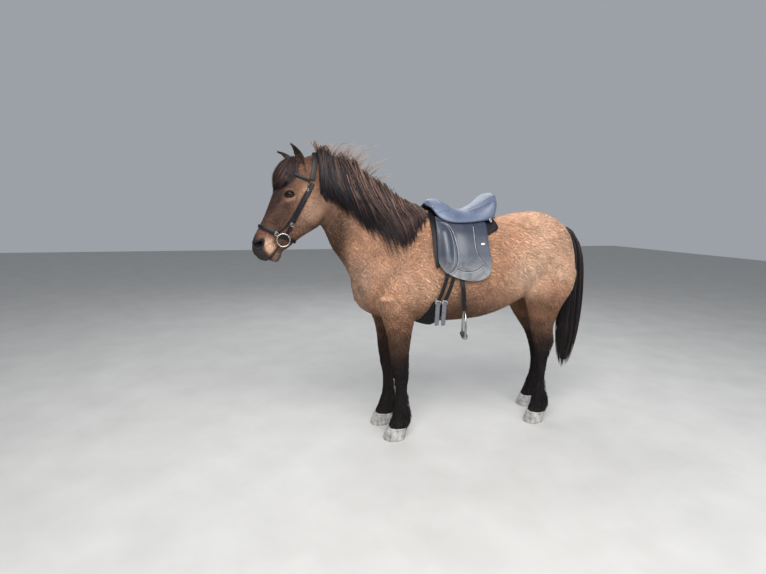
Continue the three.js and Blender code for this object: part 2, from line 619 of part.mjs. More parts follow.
// tail: y, z, half width, half depth
const TAIL = [
  [712, 1262, 20, 18], [752, 1268, 30, 26], [796, 1240, 42, 36], [826, 1170, 58, 48], [838, 1060, 76, 58], [840, 930, 88, 64],
  [836, 800, 94, 68], [830, 670, 94, 68], [824, 540, 86, 62], [818, 430, 70, 52], [812, 345, 48, 38], [808, 290, 22, 20],
];
function tailSolid() {
  const rings = TAIL.map(([y, z, w, d], i) => {
    const p = TAIL[Math.max(i - 1, 0)], q = TAIL[Math.min(i + 1, TAIL.length - 1)];
    const t = V(0, q[0] - p[0], q[1] - p[1]).normalize(), b = t.clone().cross(X).normalize(), out = [];
    for (let j = 0; j < 9; j++) {
      const a = (2 * Math.PI * j) / 9;
      out.push(V(Math.cos(a) * w, y, z).addScaledVector(b, Math.sin(a) * d));
    }
    return out;
  });
  return solid(loft(rings));
}

// ---------------------------------------------------------------- tack
// flat strap along points, with its width and outward directions
function strap(points, across, out, width, thick, closedLoop = false) {
  const rings = points.map((p, i) => {
    const w = (across[i] || across).clone().multiplyScalar(width / 2), o = out[i].clone().multiplyScalar(thick);
    return [p.clone().sub(w), p.clone().add(w), p.clone().add(w).add(o), p.clone().sub(w).add(o)];
  });
  return solid(loft(rings, closedLoop));
}
// strap in a plane round the body, between two angles
function strapRound(field, o, e1, e2, a0, a1, n, width, off, thick, closedLoop = false) {
  const pts = [], outs = [], count = closedLoop ? n : n + 1;
  for (let j = 0; j < count; j++) {
    const t = lerp(a0, a1, j / n);
    const d = e1.clone().multiplyScalar(Math.cos(t)).addScaledVector(e2, Math.sin(t));
    pts.push(o.clone().addScaledVector(d, cast(field, o, d, 620, off)));
  }
  const across = e1.clone().cross(e2).normalize();
  for (let j = 0; j < count; j++) {
    const a = closedLoop ? pts[(j + count - 1) % count] : pts[Math.max(j - 1, 0)];
    const b = closedLoop ? pts[(j + 1) % count] : pts[Math.min(j + 1, count - 1)];
    outs.push(b.clone().sub(a).cross(across).normalize());
    if (outs[j].dot(pts[j].clone().sub(o)) < 0) outs[j].negate();
  }
  return strap(pts, across, outs, width, thick, closedLoop);
}
// strap down one side of the head through points of the head frame
function cheekStrap(side, pts, width, off, thick) {
  const P = [], O = [], W = [];
  pts.forEach(([s, n], i) => {
    const [y, z] = fromHead(s, n);
    const x = cast(bodyField, V(0, y, z), V(side, 0, 0), 260, off);
    P.push(V(side * x, y, z));
  });
  P.forEach((p, i) => {
    const t = P[Math.min(i + 1, P.length - 1)].clone().sub(P[Math.max(i - 1, 0)]).normalize();
    const o = V(side, 0, 0).addScaledVector(t, -side * t.x).normalize();
    O.push(o); W.push(t.clone().cross(o).normalize());
  });
  return strap(P, W, O, width, thick);
}
const box = (w, d, h, x, y, z) => solid(new THREE.BoxGeometry(w, d, h), new THREE.Matrix4().makeTranslation(x, y, z));
// buckle: rounded frame facing a direction, long side along another
function buckleSolid(at, face, along, w, h, bar, depth) {
  const r = Math.min(w, h) * 0.22, shape = new THREE.Shape();
  const rr = (p, a, b, q) => {
    p.moveTo(-a + q, -b); p.lineTo(a - q, -b); p.lineTo(a, -b + q); p.lineTo(a, b - q);
    p.lineTo(a - q, b); p.lineTo(-a + q, b); p.lineTo(-a, b - q); p.lineTo(-a, -b + q); p.closePath();
  };
  rr(shape, w / 2, h / 2, r);
  const hole = new THREE.Path();
  rr(hole, w / 2 - bar, h / 2 - bar, r * 0.6);
  shape.holes.push(hole);
  const g = new THREE.ExtrudeGeometry(shape, { depth, bevelEnabled: false, curveSegments: 1 });
  const m = new THREE.Matrix4().makeBasis(along.clone().cross(face).normalize(), along, face);
  m.setPosition(at);
  return solid(g, m);
}

// the saddle is laid out by stations along y and angles from straight up,
// measured at SADDLE_Z on the middle plane
const SADDLE_Z = 1010;
const saddlePoint = (y, deg, off, side = 1) => {
  const o = V(0, y, SADDLE_Z), d = V(side * Math.sin(deg * RAD), 0, Math.cos(deg * RAD));
  return o.addScaledVector(d, cast(trunkField, o, d, 600, off));
};
// seat: y, height over the tree in the middle, edge angle, shape power
const SEAT = [
  [-252, 5, 10, 1.6, 5], [-240, 19, 16.5, 1.7, 7], [-218, 27, 22, 1.8, 8], [-182, 31, 26.5, 1.9, 9], [-135, 22, 29, 2.2, 9],
  [-75, 15, 29, 2.8, 9], [-10, 22, 28, 3, 9], [50, 50, 26.5, 3, 9], [102, 80, 25.5, 3.2, 10],
  [146, 108, 25, 3.4, 11], [176, 108, 24, 3.2, 13], [193, 80, 22, 2.6, 12],
];
const TREE = 35;                            // height of the seat's underside over the back
const seatY = (y, u) => y - 46 * Math.pow(Math.abs(u), 2.2) * smooth(ramp(y, 30, 190));   // the cantle curves forward
function seatSolid() {
  const rings = SEAT.map(([y, t, edge, p, rim]) => {
    const top = [], low = [], n = 8, m = 5;
    for (let j = 0; j <= n; j++) {
      const u = (2 * j) / n - 1;
      const thick = rim + (t - rim * 0.2) * Math.pow(1 - Math.pow(Math.abs(u), p), 0.9);
      top.push(saddlePoint(seatY(y, u), edge * u, TREE + thick));
    }
    for (let j = m; j >= 0; j--) low.push(saddlePoint(seatY(y, (2 * j) / m - 1), edge * ((2 * j) / m - 1), TREE));
    return top.concat(low);
  });
  return solid(loft(rings));
}
// panels: y, upper angle, lower angle, thickness
function panelSolid(side) {
  const rings = [[-268, 14, 62, 9.4], [-260, 10, 78, 9.6], [-244, 8, 78, 10], [-222, 8, 64, 13], [-140, 8, 66, 17], [-20, 8, 57, 17],
    [50, 8, 44, 18], [92, 8, 40, 20], [138, 9, 36, 24], [156, 12, 32, 14]].map(([y, a, b, t]) => {
    const top = [], low = [], n = 4;
    for (let j = 0; j <= n; j++) {
      const u = j / n, deg = lerp(a, b, u), sag = b > 50 ? lerp(1, 0.42, smooth(ramp(u, 0.3, 1))) : 1;
      top.push(saddlePoint(y, deg, 9 + (t - 8) * sag * Math.pow(1 - Math.pow(Math.abs(2 * u - 1), 6), 0.5) + 0.5, side));
      low.push(saddlePoint(y, deg, 8, side));
    }
    return top.concat(low.reverse());
  });
  return solid(loft(rings));
}
// flap: angle, front y, rear y, underside height
const FLAP = [
  [21, -238, 84, 25], [34, -246, 68, 25], [48, -250, 53, 24], [62, -253, 51, 21], [74, -248, 59, 18],
  [84, -220, 54, 17], [90, -176, 36, 17], [93.5, -132, 12, 17], [95.5, -88, -18, 17],
];
function flapSolid(side) {
  const nu = 5, outer = [], inner = [];
  for (const [deg, yf, yr, off] of FLAP) {
    const a = [], b = [];
    for (let j = 0; j <= nu; j++) {
      const u = j / nu, y = lerp(yf, yr, u);
      const block = 27 * Math.exp(-Math.pow((y + 205) / 34, 2)) * smooth(ramp(deg, 27, 42)) * (1 - smooth(ramp(deg, 74, 88)));
      a.push(saddlePoint(y, deg, off + 5 + block, side));
      b.push(saddlePoint(y, deg, off, side));
    }
    outer.push(a); inner.push(b);
  }
  return solid(loft(outer.map((a, i) => a.concat(inner[i].slice().reverse()))));
}
// strap down the flank: y, z points; below zHang it hangs straight
function flankStrap(side, pts, width, off, thick, zHang) {
  let hang = 0;
  const P = pts.map(([y, z, tuck = 0]) => {
    if (z >= zHang) hang = cast(trunkField, V(0, y, z), X, 420, off - tuck);
    return V(side * hang, y, z);
  });
  const O = [], W = [];
  P.forEach((p, i) => {
    const t = P[Math.min(i + 1, P.length - 1)].clone().sub(P[Math.max(i - 1, 0)]).normalize();
    const o = V(side, 0, 0).addScaledVector(t, -side * t.x).normalize();
    O.push(o); W.push(t.clone().cross(o).normalize());
  });
  return { solid: strap(P, W, O, width, thick), P };
}
// stirrup: a closed arch of round bar with a flat foot, turned about z
const IRON = { x: 284, y: -102, top: 808, foot: 652, half: 61, bar: 5.5, turn: -18 };
function ironSolid(side) {
  const pts = [], n = 16, H = IRON.top - IRON.foot;
  for (let j = 0; j < n; j++) {
    const a = (2 * Math.PI * j) / n, s = Math.sin(a), c = Math.cos(a);
    // narrow crown, straight sides, flat foot
    const h = s > 0 ? Math.pow(s, 0.8) : -Math.pow(-s, 0.35) * 0.16;
    const w = s > 0 ? Math.sign(c) * Math.pow(Math.abs(c), 0.75) : Math.sign(c) * Math.pow(Math.abs(c), 0.4);
    pts.push([w * IRON.half, IRON.foot + H * 0.14 + h * H * 0.86]);
  }
  const k = Math.sin(IRON.turn * RAD), q = Math.cos(IRON.turn * RAD);
  const place = (u, v, z) => V(side * (IRON.x + u * q - v * k), IRON.y + u * k + v * q, z);
  const rings = pts.map(([u, z], i) => {
    const a = pts[(i + n - 1) % n], b = pts[(i + 1) % n];
    const tu = b[0] - a[0], tz = b[1] - a[1], L = Math.hypot(tu, tz), nu = -tz / L, nz = tu / L, out = [];
    for (let m = 0; m < 5; m++) {
      const t = (2 * Math.PI * m) / 5, wide = z < IRON.foot + 14 ? 2.6 : 1.15;
      out.push(place(u + nu * Math.cos(t) * IRON.bar, Math.sin(t) * IRON.bar * wide, z + nz * Math.cos(t) * IRON.bar));
    }
    return out;
  });
  return { iron: solid(loft(rings, true)), place };
}

// ---------------------------------------------------------------- assembly
const ears = { left: earSolid(1, 0), right: earSolid(-1, 0) };
const bitAt = fromHead(462, -80);
const mouthpiece = (grow) => {
  const m = new THREE.Matrix4().makeRotationZ(Math.PI / 2);
  m.setPosition(0, bitAt[0], bitAt[1]);
  return solid(new THREE.CylinderGeometry(6.5 + grow, 6.5 + grow, 118 + 20 * grow, 8), m);
};
const headNode = head0.subtract(ball(1, EYE.r + GAP)).subtract(ball(-1, EYE.r + GAP)).subtract(mouthpiece(GAP));

node("head", headNode, COL.coat);
node("neck", neckNode, COL.coat);
node("trunk", trunkNode, COL.coat);
for (const side of [1, -1]) {
  const nm = side > 0 ? "left" : "right";
  node(`ear_${nm}`, ears[nm].subtract(head1).subtract(neck1), COL.coat);
  node(`eye_${nm}`, ball(side, EYE.r), COL.eye, 0.1);
}
for (const name of Object.keys(legs)) {
  node(`${name}_leg_upper`, legUpper[name], COL.coat);
  node(`${name}_leg_lower`, legLower[name], COL.dark);
  node(`${name}_hoof`, hoofs[name], COL.horn, 0.5);
}

// bridle
const headUp = V(0, -sd, cd);
const axisDir = V(0, -cd, -sd);
const dirHead = (s, n) => V(0, 0, 0).addScaledVector(axisDir, s).addScaledVector(headUp, n).normalize();
const at = (s, n) => { const [y, z] = fromHead(s, n); return V(0, y, z); };
const headpiece = strapRound(bodyField, at(62, -25), X, dirHead(-0.93, 0.36), -24 * RAD, 204 * RAD, 14, 27, 5, 4.5);
const headpieceWide = strapRound(bodyField, at(62, -25), X, dirHead(-0.93, 0.36), -25 * RAD, 205 * RAD, 14, 29, 2, 10);
const browband = strapRound(headField, at(112, -2), X, dirHead(0.16, 0.98), -17 * RAD, 197 * RAD, 12, 17, 6, 4);
const browbandWide = strapRound(headField, at(112, -2), X, dirHead(0.16, 0.98), -18 * RAD, 198 * RAD, 12, 18, 3, 10);
const noseband = strapRound(headField, at(446, -38), X, dirHead(0.13, 0.99), 0, 360 * RAD, 16, 20, 6, 4, true);
node("bridle_headpiece", headpiece.subtract(earSolid(1, GAP)).subtract(earSolid(-1, GAP)), COL.leather, 0.45);
node("bridle_browband", browband.subtract(headpieceWide).subtract(earSolid(1, GAP)).subtract(earSolid(-1, GAP)), COL.leather, 0.45);
node("bridle_noseband", noseband, COL.leather, 0.45);
for (const side of [1, -1]) {
  const nm = side > 0 ? "left" : "right";
  node(`bridle_cheekpiece_${nm}`, cheekStrap(side, CHEEK, 17, 4.5, 4), COL.leather, 0.45);
  node(`bridle_hanger_${nm}`, cheekStrap(side, [[128, -39.5], [190, -43.5], [260, -49.5], [330, -54], [385, -52], [427, -36]], 12, 4.5, 3.5), COL.leather, 0.45);
  const [by, bz] = fromHead(458, -78);
  const ringMat = new THREE.Matrix4().makeRotationFromEuler(new THREE.Euler(0, side * (Math.PI / 2 - 0.1), 0.06 * side));
  ringMat.setPosition(side * 70.5, by, bz);
  node(`bit_ring_${nm}`, solid(new THREE.TorusGeometry(35, 3.6, 5, 12), ringMat), COL.steel, 0.25, 1);
  const at0 = fromHead(366, -75);
  const bx = cast(bodyField, V(0, ...at0), V(side, 0, 0), 260, 10.5);
  node(`cheek_buckle_${nm}`, buckleSolid(V(side * (bx + 2.2), ...at0), V(side, 0, 0), dirHead(1, 0), 25, 20, 3.2, 3), COL.steel, 0.3, 1);
}
node("bit_mouthpiece", mouthpiece(0), COL.steel, 0.3, 1);

// saddle
const seat = seatSolid();
node("saddle_seat", seat, COL.seat, 0.4);
for (const side of [1, -1]) {
  const nm = side > 0 ? "left" : "right";
  node(`saddle_panel_${nm}`, panelSolid(side).subtract(trunk1), COL.leather, 0.5);
  node(`saddle_flap_${nm}`, flapSolid(side), COL.seat, 0.4);
  [[0, "front"], [38, "rear"]].forEach(([dy, which]) => {
    const b = flankStrap(side, [[-190 + dy, 1052, 7], [-198 + dy, 1020, 7], [-207 + dy, 985, 4], [-226 + dy, 925], [-247 + dy, 850],
      [-252 + dy, 790], [-255 + dy, 716]], 23, 15, 4, 850);
    node(`billet_${which}_${nm}`, b.solid, COL.leather, 0.5);
    const p = b.P[4];
    node(`girth_buckle_${which}_${nm}`, buckleSolid(p.clone().add(V(side * 9, 0, 2)), V(side, 0, 0), V(0, 0.06, -1).normalize(), 33, 26, 4, 4), COL.steel, 0.3, 1);
  });
  const l = flankStrap(side, [[-114, 1010, 10], [-113, 975, 9.5], [-111, 938], [-106, 880], [-102, 818]], 27, 17, 6, 930);
  node(`stirrup_leather_${nm}`, l.solid, COL.leather, 0.5);
  const { iron, place } = ironSolid(side);
  node(`stirrup_iron_${nm}`, iron, COL.steel, 0.25, 1);
  const m = new THREE.Matrix4().makeRotationZ(side * IRON.turn * RAD);
  m.setPosition(place(0, 0, IRON.foot + 14.5));
  node(`stirrup_tread_${nm}`, solid(new THREE.BoxGeometry(94, 34, 11), m), COL.rubber, 0.9);
}
node("girth", strapRound(trunkField, V(0, -195, 950), X, V(0, -0.3, -0.954), 27 * RAD, 153 * RAD, 12, 92, 6, 7).subtract(trunk1), COL.leather, 0.7);

// hair, cut clear of what it lies on
const mane1 = maneSolid();
const mane = mane1.subtract(headpieceWide).subtract(trunk1).subtract(neck1).subtract(head1).subtract(earSolid(1, GAP)).subtract(earSolid(-1, GAP));
node("mane", mane, COL.hair);
node("forelock", forelockSolid().subtract(head1).subtract(headpieceWide).subtract(browbandWide).subtract(mane1).subtract(earSolid(1, 0.6)).subtract(earSolid(-1, 0.6)), COL.hair);
node("tail", tailSolid().subtract(trunk1), COL.hair);

// the origin is under the middle of the whole, on the ground
const bounds = new THREE.Box3();
for (const m of root.children) bounds.expandByObject(m);
root.position.set(-(bounds.min.x + bounds.max.x) / 2, -(bounds.min.y + bounds.max.y) / 2, -bounds.min.z);

export default root;
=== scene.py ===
# A standing horse with saddle and bridle, life size.
# Shapes are worked out in millimetres with the head towards -y and the left
# side towards +x, and moved into the frame's metres at the end.
import math, json
import bpy, bmesh
import numpy as np
from mathutils import Vector, Matrix
import openvdb as vdb

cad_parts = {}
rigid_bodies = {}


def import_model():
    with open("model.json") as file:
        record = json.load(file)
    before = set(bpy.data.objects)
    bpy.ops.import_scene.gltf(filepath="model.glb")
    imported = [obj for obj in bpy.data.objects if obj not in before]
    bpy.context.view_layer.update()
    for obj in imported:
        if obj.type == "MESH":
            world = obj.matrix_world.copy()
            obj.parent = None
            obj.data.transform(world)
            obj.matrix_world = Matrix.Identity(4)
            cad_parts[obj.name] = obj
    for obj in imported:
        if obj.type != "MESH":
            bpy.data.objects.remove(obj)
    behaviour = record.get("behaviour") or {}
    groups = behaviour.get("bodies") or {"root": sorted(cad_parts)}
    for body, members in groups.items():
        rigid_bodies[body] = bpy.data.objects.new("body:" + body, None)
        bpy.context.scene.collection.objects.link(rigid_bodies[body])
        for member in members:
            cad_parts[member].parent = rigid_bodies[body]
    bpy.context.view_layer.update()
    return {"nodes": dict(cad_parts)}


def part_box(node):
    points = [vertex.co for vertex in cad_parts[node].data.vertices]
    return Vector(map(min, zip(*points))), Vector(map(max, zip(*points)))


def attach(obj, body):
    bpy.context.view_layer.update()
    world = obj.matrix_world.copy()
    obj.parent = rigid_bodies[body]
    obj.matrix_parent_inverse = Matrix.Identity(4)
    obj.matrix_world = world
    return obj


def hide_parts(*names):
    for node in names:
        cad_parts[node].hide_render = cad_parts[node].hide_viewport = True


for o in list(bpy.data.objects):
    bpy.data.objects.remove(o)
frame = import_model()
NODES = frame["nodes"]


rng = np.random.default_rng(7)

# ------------------------------------------------------------------ numbers
TRUNK = [
  [-676, 925, 848, 40, 886, 2.0, 2.0],
  [-655, 1000, 806, 92, 893, 2.0, 2.0],
  [-610, 1090, 770, 136, 905, 2.0, 2.1],
  [-540, 1200, 738, 164, 918, 2.0, 2.2],
  [-450, 1305, 714, 188, 925, 1.9, 2.2],
  [-360, 1362, 703, 205, 932, 1.8, 2.2],
  [-280, 1384, 698, 222, 942, 1.8, 2.2],
  [-180, 1372, 697, 243, 955, 1.9, 2.2],
  [-80, 1342, 698, 262, 970, 2.0, 2.25],
  [20, 1326, 703, 273, 982, 2.1, 2.3],
  [120, 1328, 717, 276, 992, 2.15, 2.3],
  [220, 1342, 746, 269, 1010, 2.2, 2.3],
  [320, 1360, 786, 256, 1045, 2.2, 2.3],
  [420, 1377, 836, 246, 1085, 2.2, 2.3],
  [500, 1382, 886, 244, 1110, 2.2, 2.3],
  [580, 1368, 940, 233, 1122, 2.1, 2.2],
  [650, 1328, 992, 202, 1135, 2.0, 2.1],
  [705, 1274, 1042, 150, 1152, 2.0, 2.0],
  [742, 1215, 1092, 66, 1155, 2.0, 2.0],
]
NECK = [
  [-940, 1622, -972, 1420, 56, 0.45, 2.0, 2.0],
  [-860, 1640, -925, 1330, 70, 0.45, 1.9, 2.0],
  [-765, 1622, -870, 1262, 80, 0.42, 1.8, 2.0],
  [-655, 1582, -822, 1160, 92, 0.40, 1.75, 2.0],
  [-540, 1514, -748, 1050, 112, 0.38, 1.7, 2.0],
  [-425, 1442, -703, 955, 140, 0.37, 1.7, 2.0],
  [-315, 1386, -674, 872, 168, 0.36, 1.75, 2.0],
]
HEAD = [
  [-45, 20, -90, 34, -30, 2.0, 2.0],
  [0, 48, -140, 58, -35, 2.0, 2.0],
  [50, 78, -180, 74, -35, 2.1, 2.0],
  [110, 97, -204, 85, -28, 2.2, 2.0],
  [170, 106, -217, 92, -18, 2.3, 2.0],
  [220, 105, -222, 93, -8, 2.4, 2.0],
  [270, 97, -216, 88, -8, 2.4, 2.0],
  [320, 87, -194, 79, -15, 2.4, 2.0],
  [372, 77, -167, 68, -20, 2.4, 2.0],
  [420, 70, -148, 59, -22, 2.4, 2.0],
  [470, 65, -132, 53, -22, 2.3, 2.0],
  [515, 62, -117, 50, -20, 2.2, 2.1],
  [550, 54, -108, 50, -22, 2.1, 2.1],
  [580, 38, -96, 46, -24, 2.0, 2.1],
  [602, 12, -78, 35, -30, 2.0, 2.0],
  [616, -16, -52, 16, -34, 2.0, 2.0],
]
FORE_L = [
  [880, -590, 870, -330, 132, 78, 2.2], [800, -566, 800, -352, 134, 74, 2.2],
  [740, -551, 740, -360, 131, 70, 2.2], [680, -530, 680, -368, 128, 64, 2.2],
  [610, -512, 610, -375, 124, 56, 2.2], [540, -502, 540, -381, 121, 50, 2.2],
  [480, -491, 480, -383, 120, 49, 2.3], [445, -483, 445, -381, 119, 50, 2.4],
  [410, -479, 410, -379, 119, 50, 2.4], [370, -469, 372, -380, 119, 45, 2.3],
  [325, -462, 328, -384, 119, 38, 2.2], [270, -459, 274, -386, 119, 35, 2.2],
  [220, -461, 226, -384, 119, 36, 2.2], [185, -466, 192, -378, 119, 40, 2.2],
  [155, -474, 158, -368, 120, 43, 2.2], [125, -482, 122, -366, 120, 42, 2.2],
  [98, -493, 92, -374, 121, 46, 2.2], [74, -503, 70, -388, 122, 51, 2.2],
]
HIND_L = [
  [960, 400, 1000, 735, 128, 88, 2.2], [880, 392, 900, 712, 138, 92, 2.2],
  [800, 410, 820, 672, 138, 84, 2.2], [730, 430, 745, 636, 134, 70, 2.2],
  [670, 446, 680, 616, 130, 58, 2.2], [610, 462, 622, 612, 127, 49, 2.2],
  [560, 478, 575, 622, 126, 43, 2.2], [515, 490, 535, 622, 126, 42, 2.3],
  [465, 502, 480, 602, 126, 42, 2.3], [415, 511, 425, 588, 126, 38, 2.3],
  [350, 517, 355, 580, 126, 33, 2.2], [280, 516, 285, 576, 126, 31, 2.2],
  [225, 509, 232, 576, 126, 33, 2.2], [188, 501, 196, 585, 127, 39, 2.2],
  [156, 494, 160, 598, 127, 43, 2.2], [125, 487, 122, 604, 128, 43, 2.2],
  [98, 479, 92, 594, 128, 46, 2.2], [74, 470, 70, 580, 129, 50, 2.2],
]
MUSCLES = [
  [116, -468, 1130, 70, 90, 240, 36, 130], [116, -600, 950, 62, 64, 82, 30, 70],
  [150, -430, 900, 56, 108, 125, 35, 50], [58, -604, 884, 58, 38, 84, 0, 26],
  [138, 470, 1180, 100, 190, 150, 0, 70], [140, 585, 985, 92, 140, 180, -12, 60],
  [160, 462, 880, 66, 74, 108, -20, 50], [100, 690, 1040, 74, 62, 150, 0, 50],
]
HEADFORMS = [
  [44, 222, -118, 44, 104, 92, 0, 30], [70, 196, 44, 30, 50, 30, 20, 22],
  [72, 262, 2, 22, 56, 20, 30, 20], [60, 330, -22, 14, 74, 12, 0, 26],
  [32, 545, 20, 25, 38, 30, 25, 16], [0, 578, -8, 47, 36, 42, 0, 22],
  [0, 558, -98, 36, 40, 28, 0, 14],
]
EYE_X, EYE_S, EYE_N, EYE_R = 77.0, 229.0, 23.0, 22.5
POLL = (-925.0, 1635.0)
HEAD_DOWN = math.radians(57.6)
CD, SD = math.cos(HEAD_DOWN), math.sin(HEAD_DOWN)
RAD = math.pi / 180


def to_head(y, z):
    return -(y - POLL[0]) * CD - (z - POLL[1]) * SD, -(y - POLL[0]) * SD + (z - POLL[1]) * CD


def from_head(s, n):
    return POLL[0] - s * CD - n * SD, POLL[1] - s * SD + n * CD


# where the frame's origin lies, from the left eye
lo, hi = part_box("eye_left")
ey, ez = from_head(EYE_S, EYE_N)
SHIFT = np.array([(lo.x + hi.x) / 2 - EYE_X / 1000, (lo.y + hi.y) / 2 - ey / 1000, (lo.z + hi.z) / 2 - ez / 1000])


def world(P):
    return np.asarray(P, float) / 1000.0 + SHIFT


def ramp(v, a, b):
    return np.clip((v - a) / (b - a), 0, 1)


def smooth(t):
    return t * t * (3 - 2 * t)


def sr(v, a, b):
    return smooth(ramp(v, a, b))


def lerp(a, b, t):
    return a + (b - a) * t


def smin(a, b, k):
    h = np.maximum(k - np.abs(a - b), 0) / k
    return np.minimum(a, b) - h * h * k * 0.25


def smax(a, b, k):
    return -smin(-a, -b, k)


def refine(table, sub):
    T = np.array(table, float)
    out = []
    for i in range(len(T) - 1):
        p0, p1, p2, p3 = T[max(i - 1, 0)], T[i], T[i + 1], T[min(i + 2, len(T) - 1)]
        for k in range(sub):
            t = k / sub
            out.append(0.5 * (2 * p1 + (p2 - p0) * t + (2 * p0 - 5 * p1 + 4 * p2 - p3) * t * t + (3 * p1 - p0 - 3 * p2 + p3) * t ** 3))
    out.append(T[-1])
    return np.array(out)


class Tube:
    """Distance to a body whose sections run from a back point to a front point in the a-b plane."""

    def __init__(self, sections):
        fa, fb, ba, bb, x, w, wide, e1, e0 = np.array(sections, float).T
        da, db = fa - ba, fb - bb
        L = np.hypot(da, db)
        ca, cb, na, nb = ba + da * wide, bb + db * wide, da / L, db / L
        ta, tb = -nb, na
        pa, qa = np.r_[ca[:1], ca[:-1]], np.r_[ca[1:], ca[-1:]]
        pb, qb = np.r_[cb[:1], cb[:-1]], np.r_[cb[1:], cb[-1:]]
        sg = np.where(ta * (qa - pa) + tb * (qb - pb) < 0, -1.0, 1.0)
        self.ta, self.tb, self.ca, self.cb = ta * sg, tb * sg, ca, cb
        self.par = np.stack([ca, cb, na, nb, L * (1 - wide), L * wide, x, w, e1, e0], 1)
        self.lo = np.array([(x - w).min(), min(fa.min(), ba.min()), min(fb.min(), bb.min())])
        self.hi = np.array([(x + w).max(), max(fa.max(), ba.max()), max(fb.max(), bb.max())])

    def dist(self, x, a, b):
        n, N = len(self.ca), len(x)
        best = np.full(N, np.inf)
        par = np.repeat(self.par[:1], N, 0)
        along = np.zeros(N)
        prev = (a - self.ca[0]) * self.ta[0] + (b - self.cb[0]) * self.tb[0]
        m = prev < 0
        best[m] = np.hypot(a[m] - self.ca[0], b[m] - self.cb[0])
        along[m] = -prev[m]
        for i in range(n - 1):
            nx = (a - self.ca[i + 1]) * self.ta[i + 1] + (b - self.cb[i + 1]) * self.tb[i + 1]
            I = np.nonzero((prev >= 0) & (nx < 0))[0]
            if len(I):
                t = (prev[I] / (prev[I] - nx[I]))[:, None]
                P = self.par[i] * (1 - t) + self.par[i + 1] * t
                d = np.hypot(a[I] - P[:, 0], b[I] - P[:, 1])
                k = d < best[I]
                J = I[k]
                best[J] = d[k]
                par[J] = P[k]
                along[J] = 0
            prev = nx
        I = np.nonzero(prev >= 0)[0]
        if len(I):
            d = np.hypot(a[I] - self.ca[-1], b[I] - self.cb[-1])
            k = d < best[I]
            J = I[k]
            par[J] = self.par[-1]
            along[J] = prev[J]
        L = np.hypot(par[:, 2], par[:, 3])
        h = ((a - par[:, 0]) * par[:, 2] + (b - par[:, 1]) * par[:, 3]) / L
        lx = x - par[:, 6]
        pos = h > 0
        hh = np.where(pos, par[:, 4], par[:, 5])
        e = np.where(pos, par[:, 8], par[:, 9])
        rho = ((np.abs(lx) / par[:, 7]) ** e + (np.abs(h) / hh) ** e) ** (1 / e)
        ln = np.hypot(lx, h)
        d = np.where(rho < 1e-6, -np.minimum(par[:, 7], hh), ln * (1 - 1 / np.maximum(rho, 1e-6)))
        return np.where(along > 0, np.hypot(np.maximum(d, 0), along), d)


def ellipsoid(cx, ca, cb, rx, ra, rb, turn):
    c, s = math.cos(turn * RAD), math.sin(turn * RAD)

    def f(x, a, b):
        u, pa, pb = x - cx, a - ca, b - cb
        v, w = c * pa - s * pb, s * pa + c * pb
        k = np.sqrt((u / rx) ** 2 + (v / ra) ** 2 + (w / rb) ** 2)
        return np.where(k < 1e-6, -min(rx, ra, rb), np.sqrt(u * u + v * v + w * w) * (1 - 1 / np.maximum(k, 1e-6)))
    return f


TRUNK_T = Tube([[y, zt, y, zb, 0, w, (zw - zb) / (zt - zb), e1, e0] for y, zt, zb, w, zw, e1, e0 in refine(TRUNK, 3)])
NECK_T = Tube([[cy, cz, ty, tz, 0, w, f, e1, e0] for cy, cz, ty, tz, w, f, e1, e0 in refine(NECK, 3)])
HEAD_T = Tube([[s, nf, s, nj, 0, w, (nw - nj) / (nf - nj), e1, e0] for s, nf, nj, w, nw, e1, e0 in refine(HEAD, 3)])


def shifted(table, dx, dy):
    return [[zf, yf + dy(zf), zb, yb + dy(zb), -(x + dx), w, e] for zf, yf, zb, yb, x, w, e in table]


FORE_R = shifted(FORE_L, -6, lambda z: -8 * sr(z, 300, 40) - 9 * sr(z, 700, 450))
HIND_R = shifted(HIND_L, 16, lambda z: 122 * sr(z, 960, 420) + 14 * sr(z, 500, 300) - 18 * sr(z, 240, 60) - 15 * math.exp(-((z - 700) / 110) ** 2))
LIMBS = {"left_fore": FORE_L, "right_fore": FORE_R, "left_hind": HIND_L, "right_hind": HIND_R}
LIMB_T = {k: Tube([[yf, zf, yb, zb, x, w, 0.5, e, e] for zf, yf, zb, yb, x, w, e in refine(t, 3)]) for k, t in LIMBS.items()}
MUSC = [(ellipsoid(*m[:7]), m[7]) for m in MUSCLES]
HFORM = [(ellipsoid(*m[:7]), m[7]) for m in HEADFORMS]
FAR = 400.0


def within(f, x, y, z, lo, hi, far=FAR):
    """f only inside a box, far outside it"""
    m = (x >= lo[0]) & (x <= hi[0]) & (y >= lo[1]) & (y <= hi[1]) & (z >= lo[2]) & (z <= hi[2])
    out = np.full(len(x), far)
    if m.any():
        out[m] = f(x[m], y[m], z[m])
    return out


def head_plain(x, y, z):
    s, n = to_head(y, z)
    ax = np.abs(x)
    d = HEAD_T.dist(x, s, n)
    for f, k in HFORM:
        d = smin(d, f(ax, s, n), k)
    return d


def trunk_field(x, y, z):
    ax = np.abs(x)
    d = TRUNK_T.dist(x, y, z)
    for f, k in MUSC:
        d = smin(d, f(ax, y, z), k)
    return d


def torso_field(x, y, z):
    ax = np.abs(x)
    neck = within(NECK_T.dist, x, y, z, (-420, -1150, 650), (420, -60, 1900))
    d = smin(TRUNK_T.dist(x, y, z), neck, 70)
    for f, k in MUSC:
        d = smin(d, f(ax, y, z), k)
    return d


def head_field(x, y, z):
    return within(head_plain, x, y, z, (-300, -1500, 850), (300, -560, 1900))


def body_field(x, y, z):
    return np.minimum(head_field(x, y, z), torso_field(x, y, z))


# field of a limb: its plain sections alone, in x, y, z
def limb_field(name, x, y, z):
    d = LIMB_T[name].dist(x, y, z)
    return d


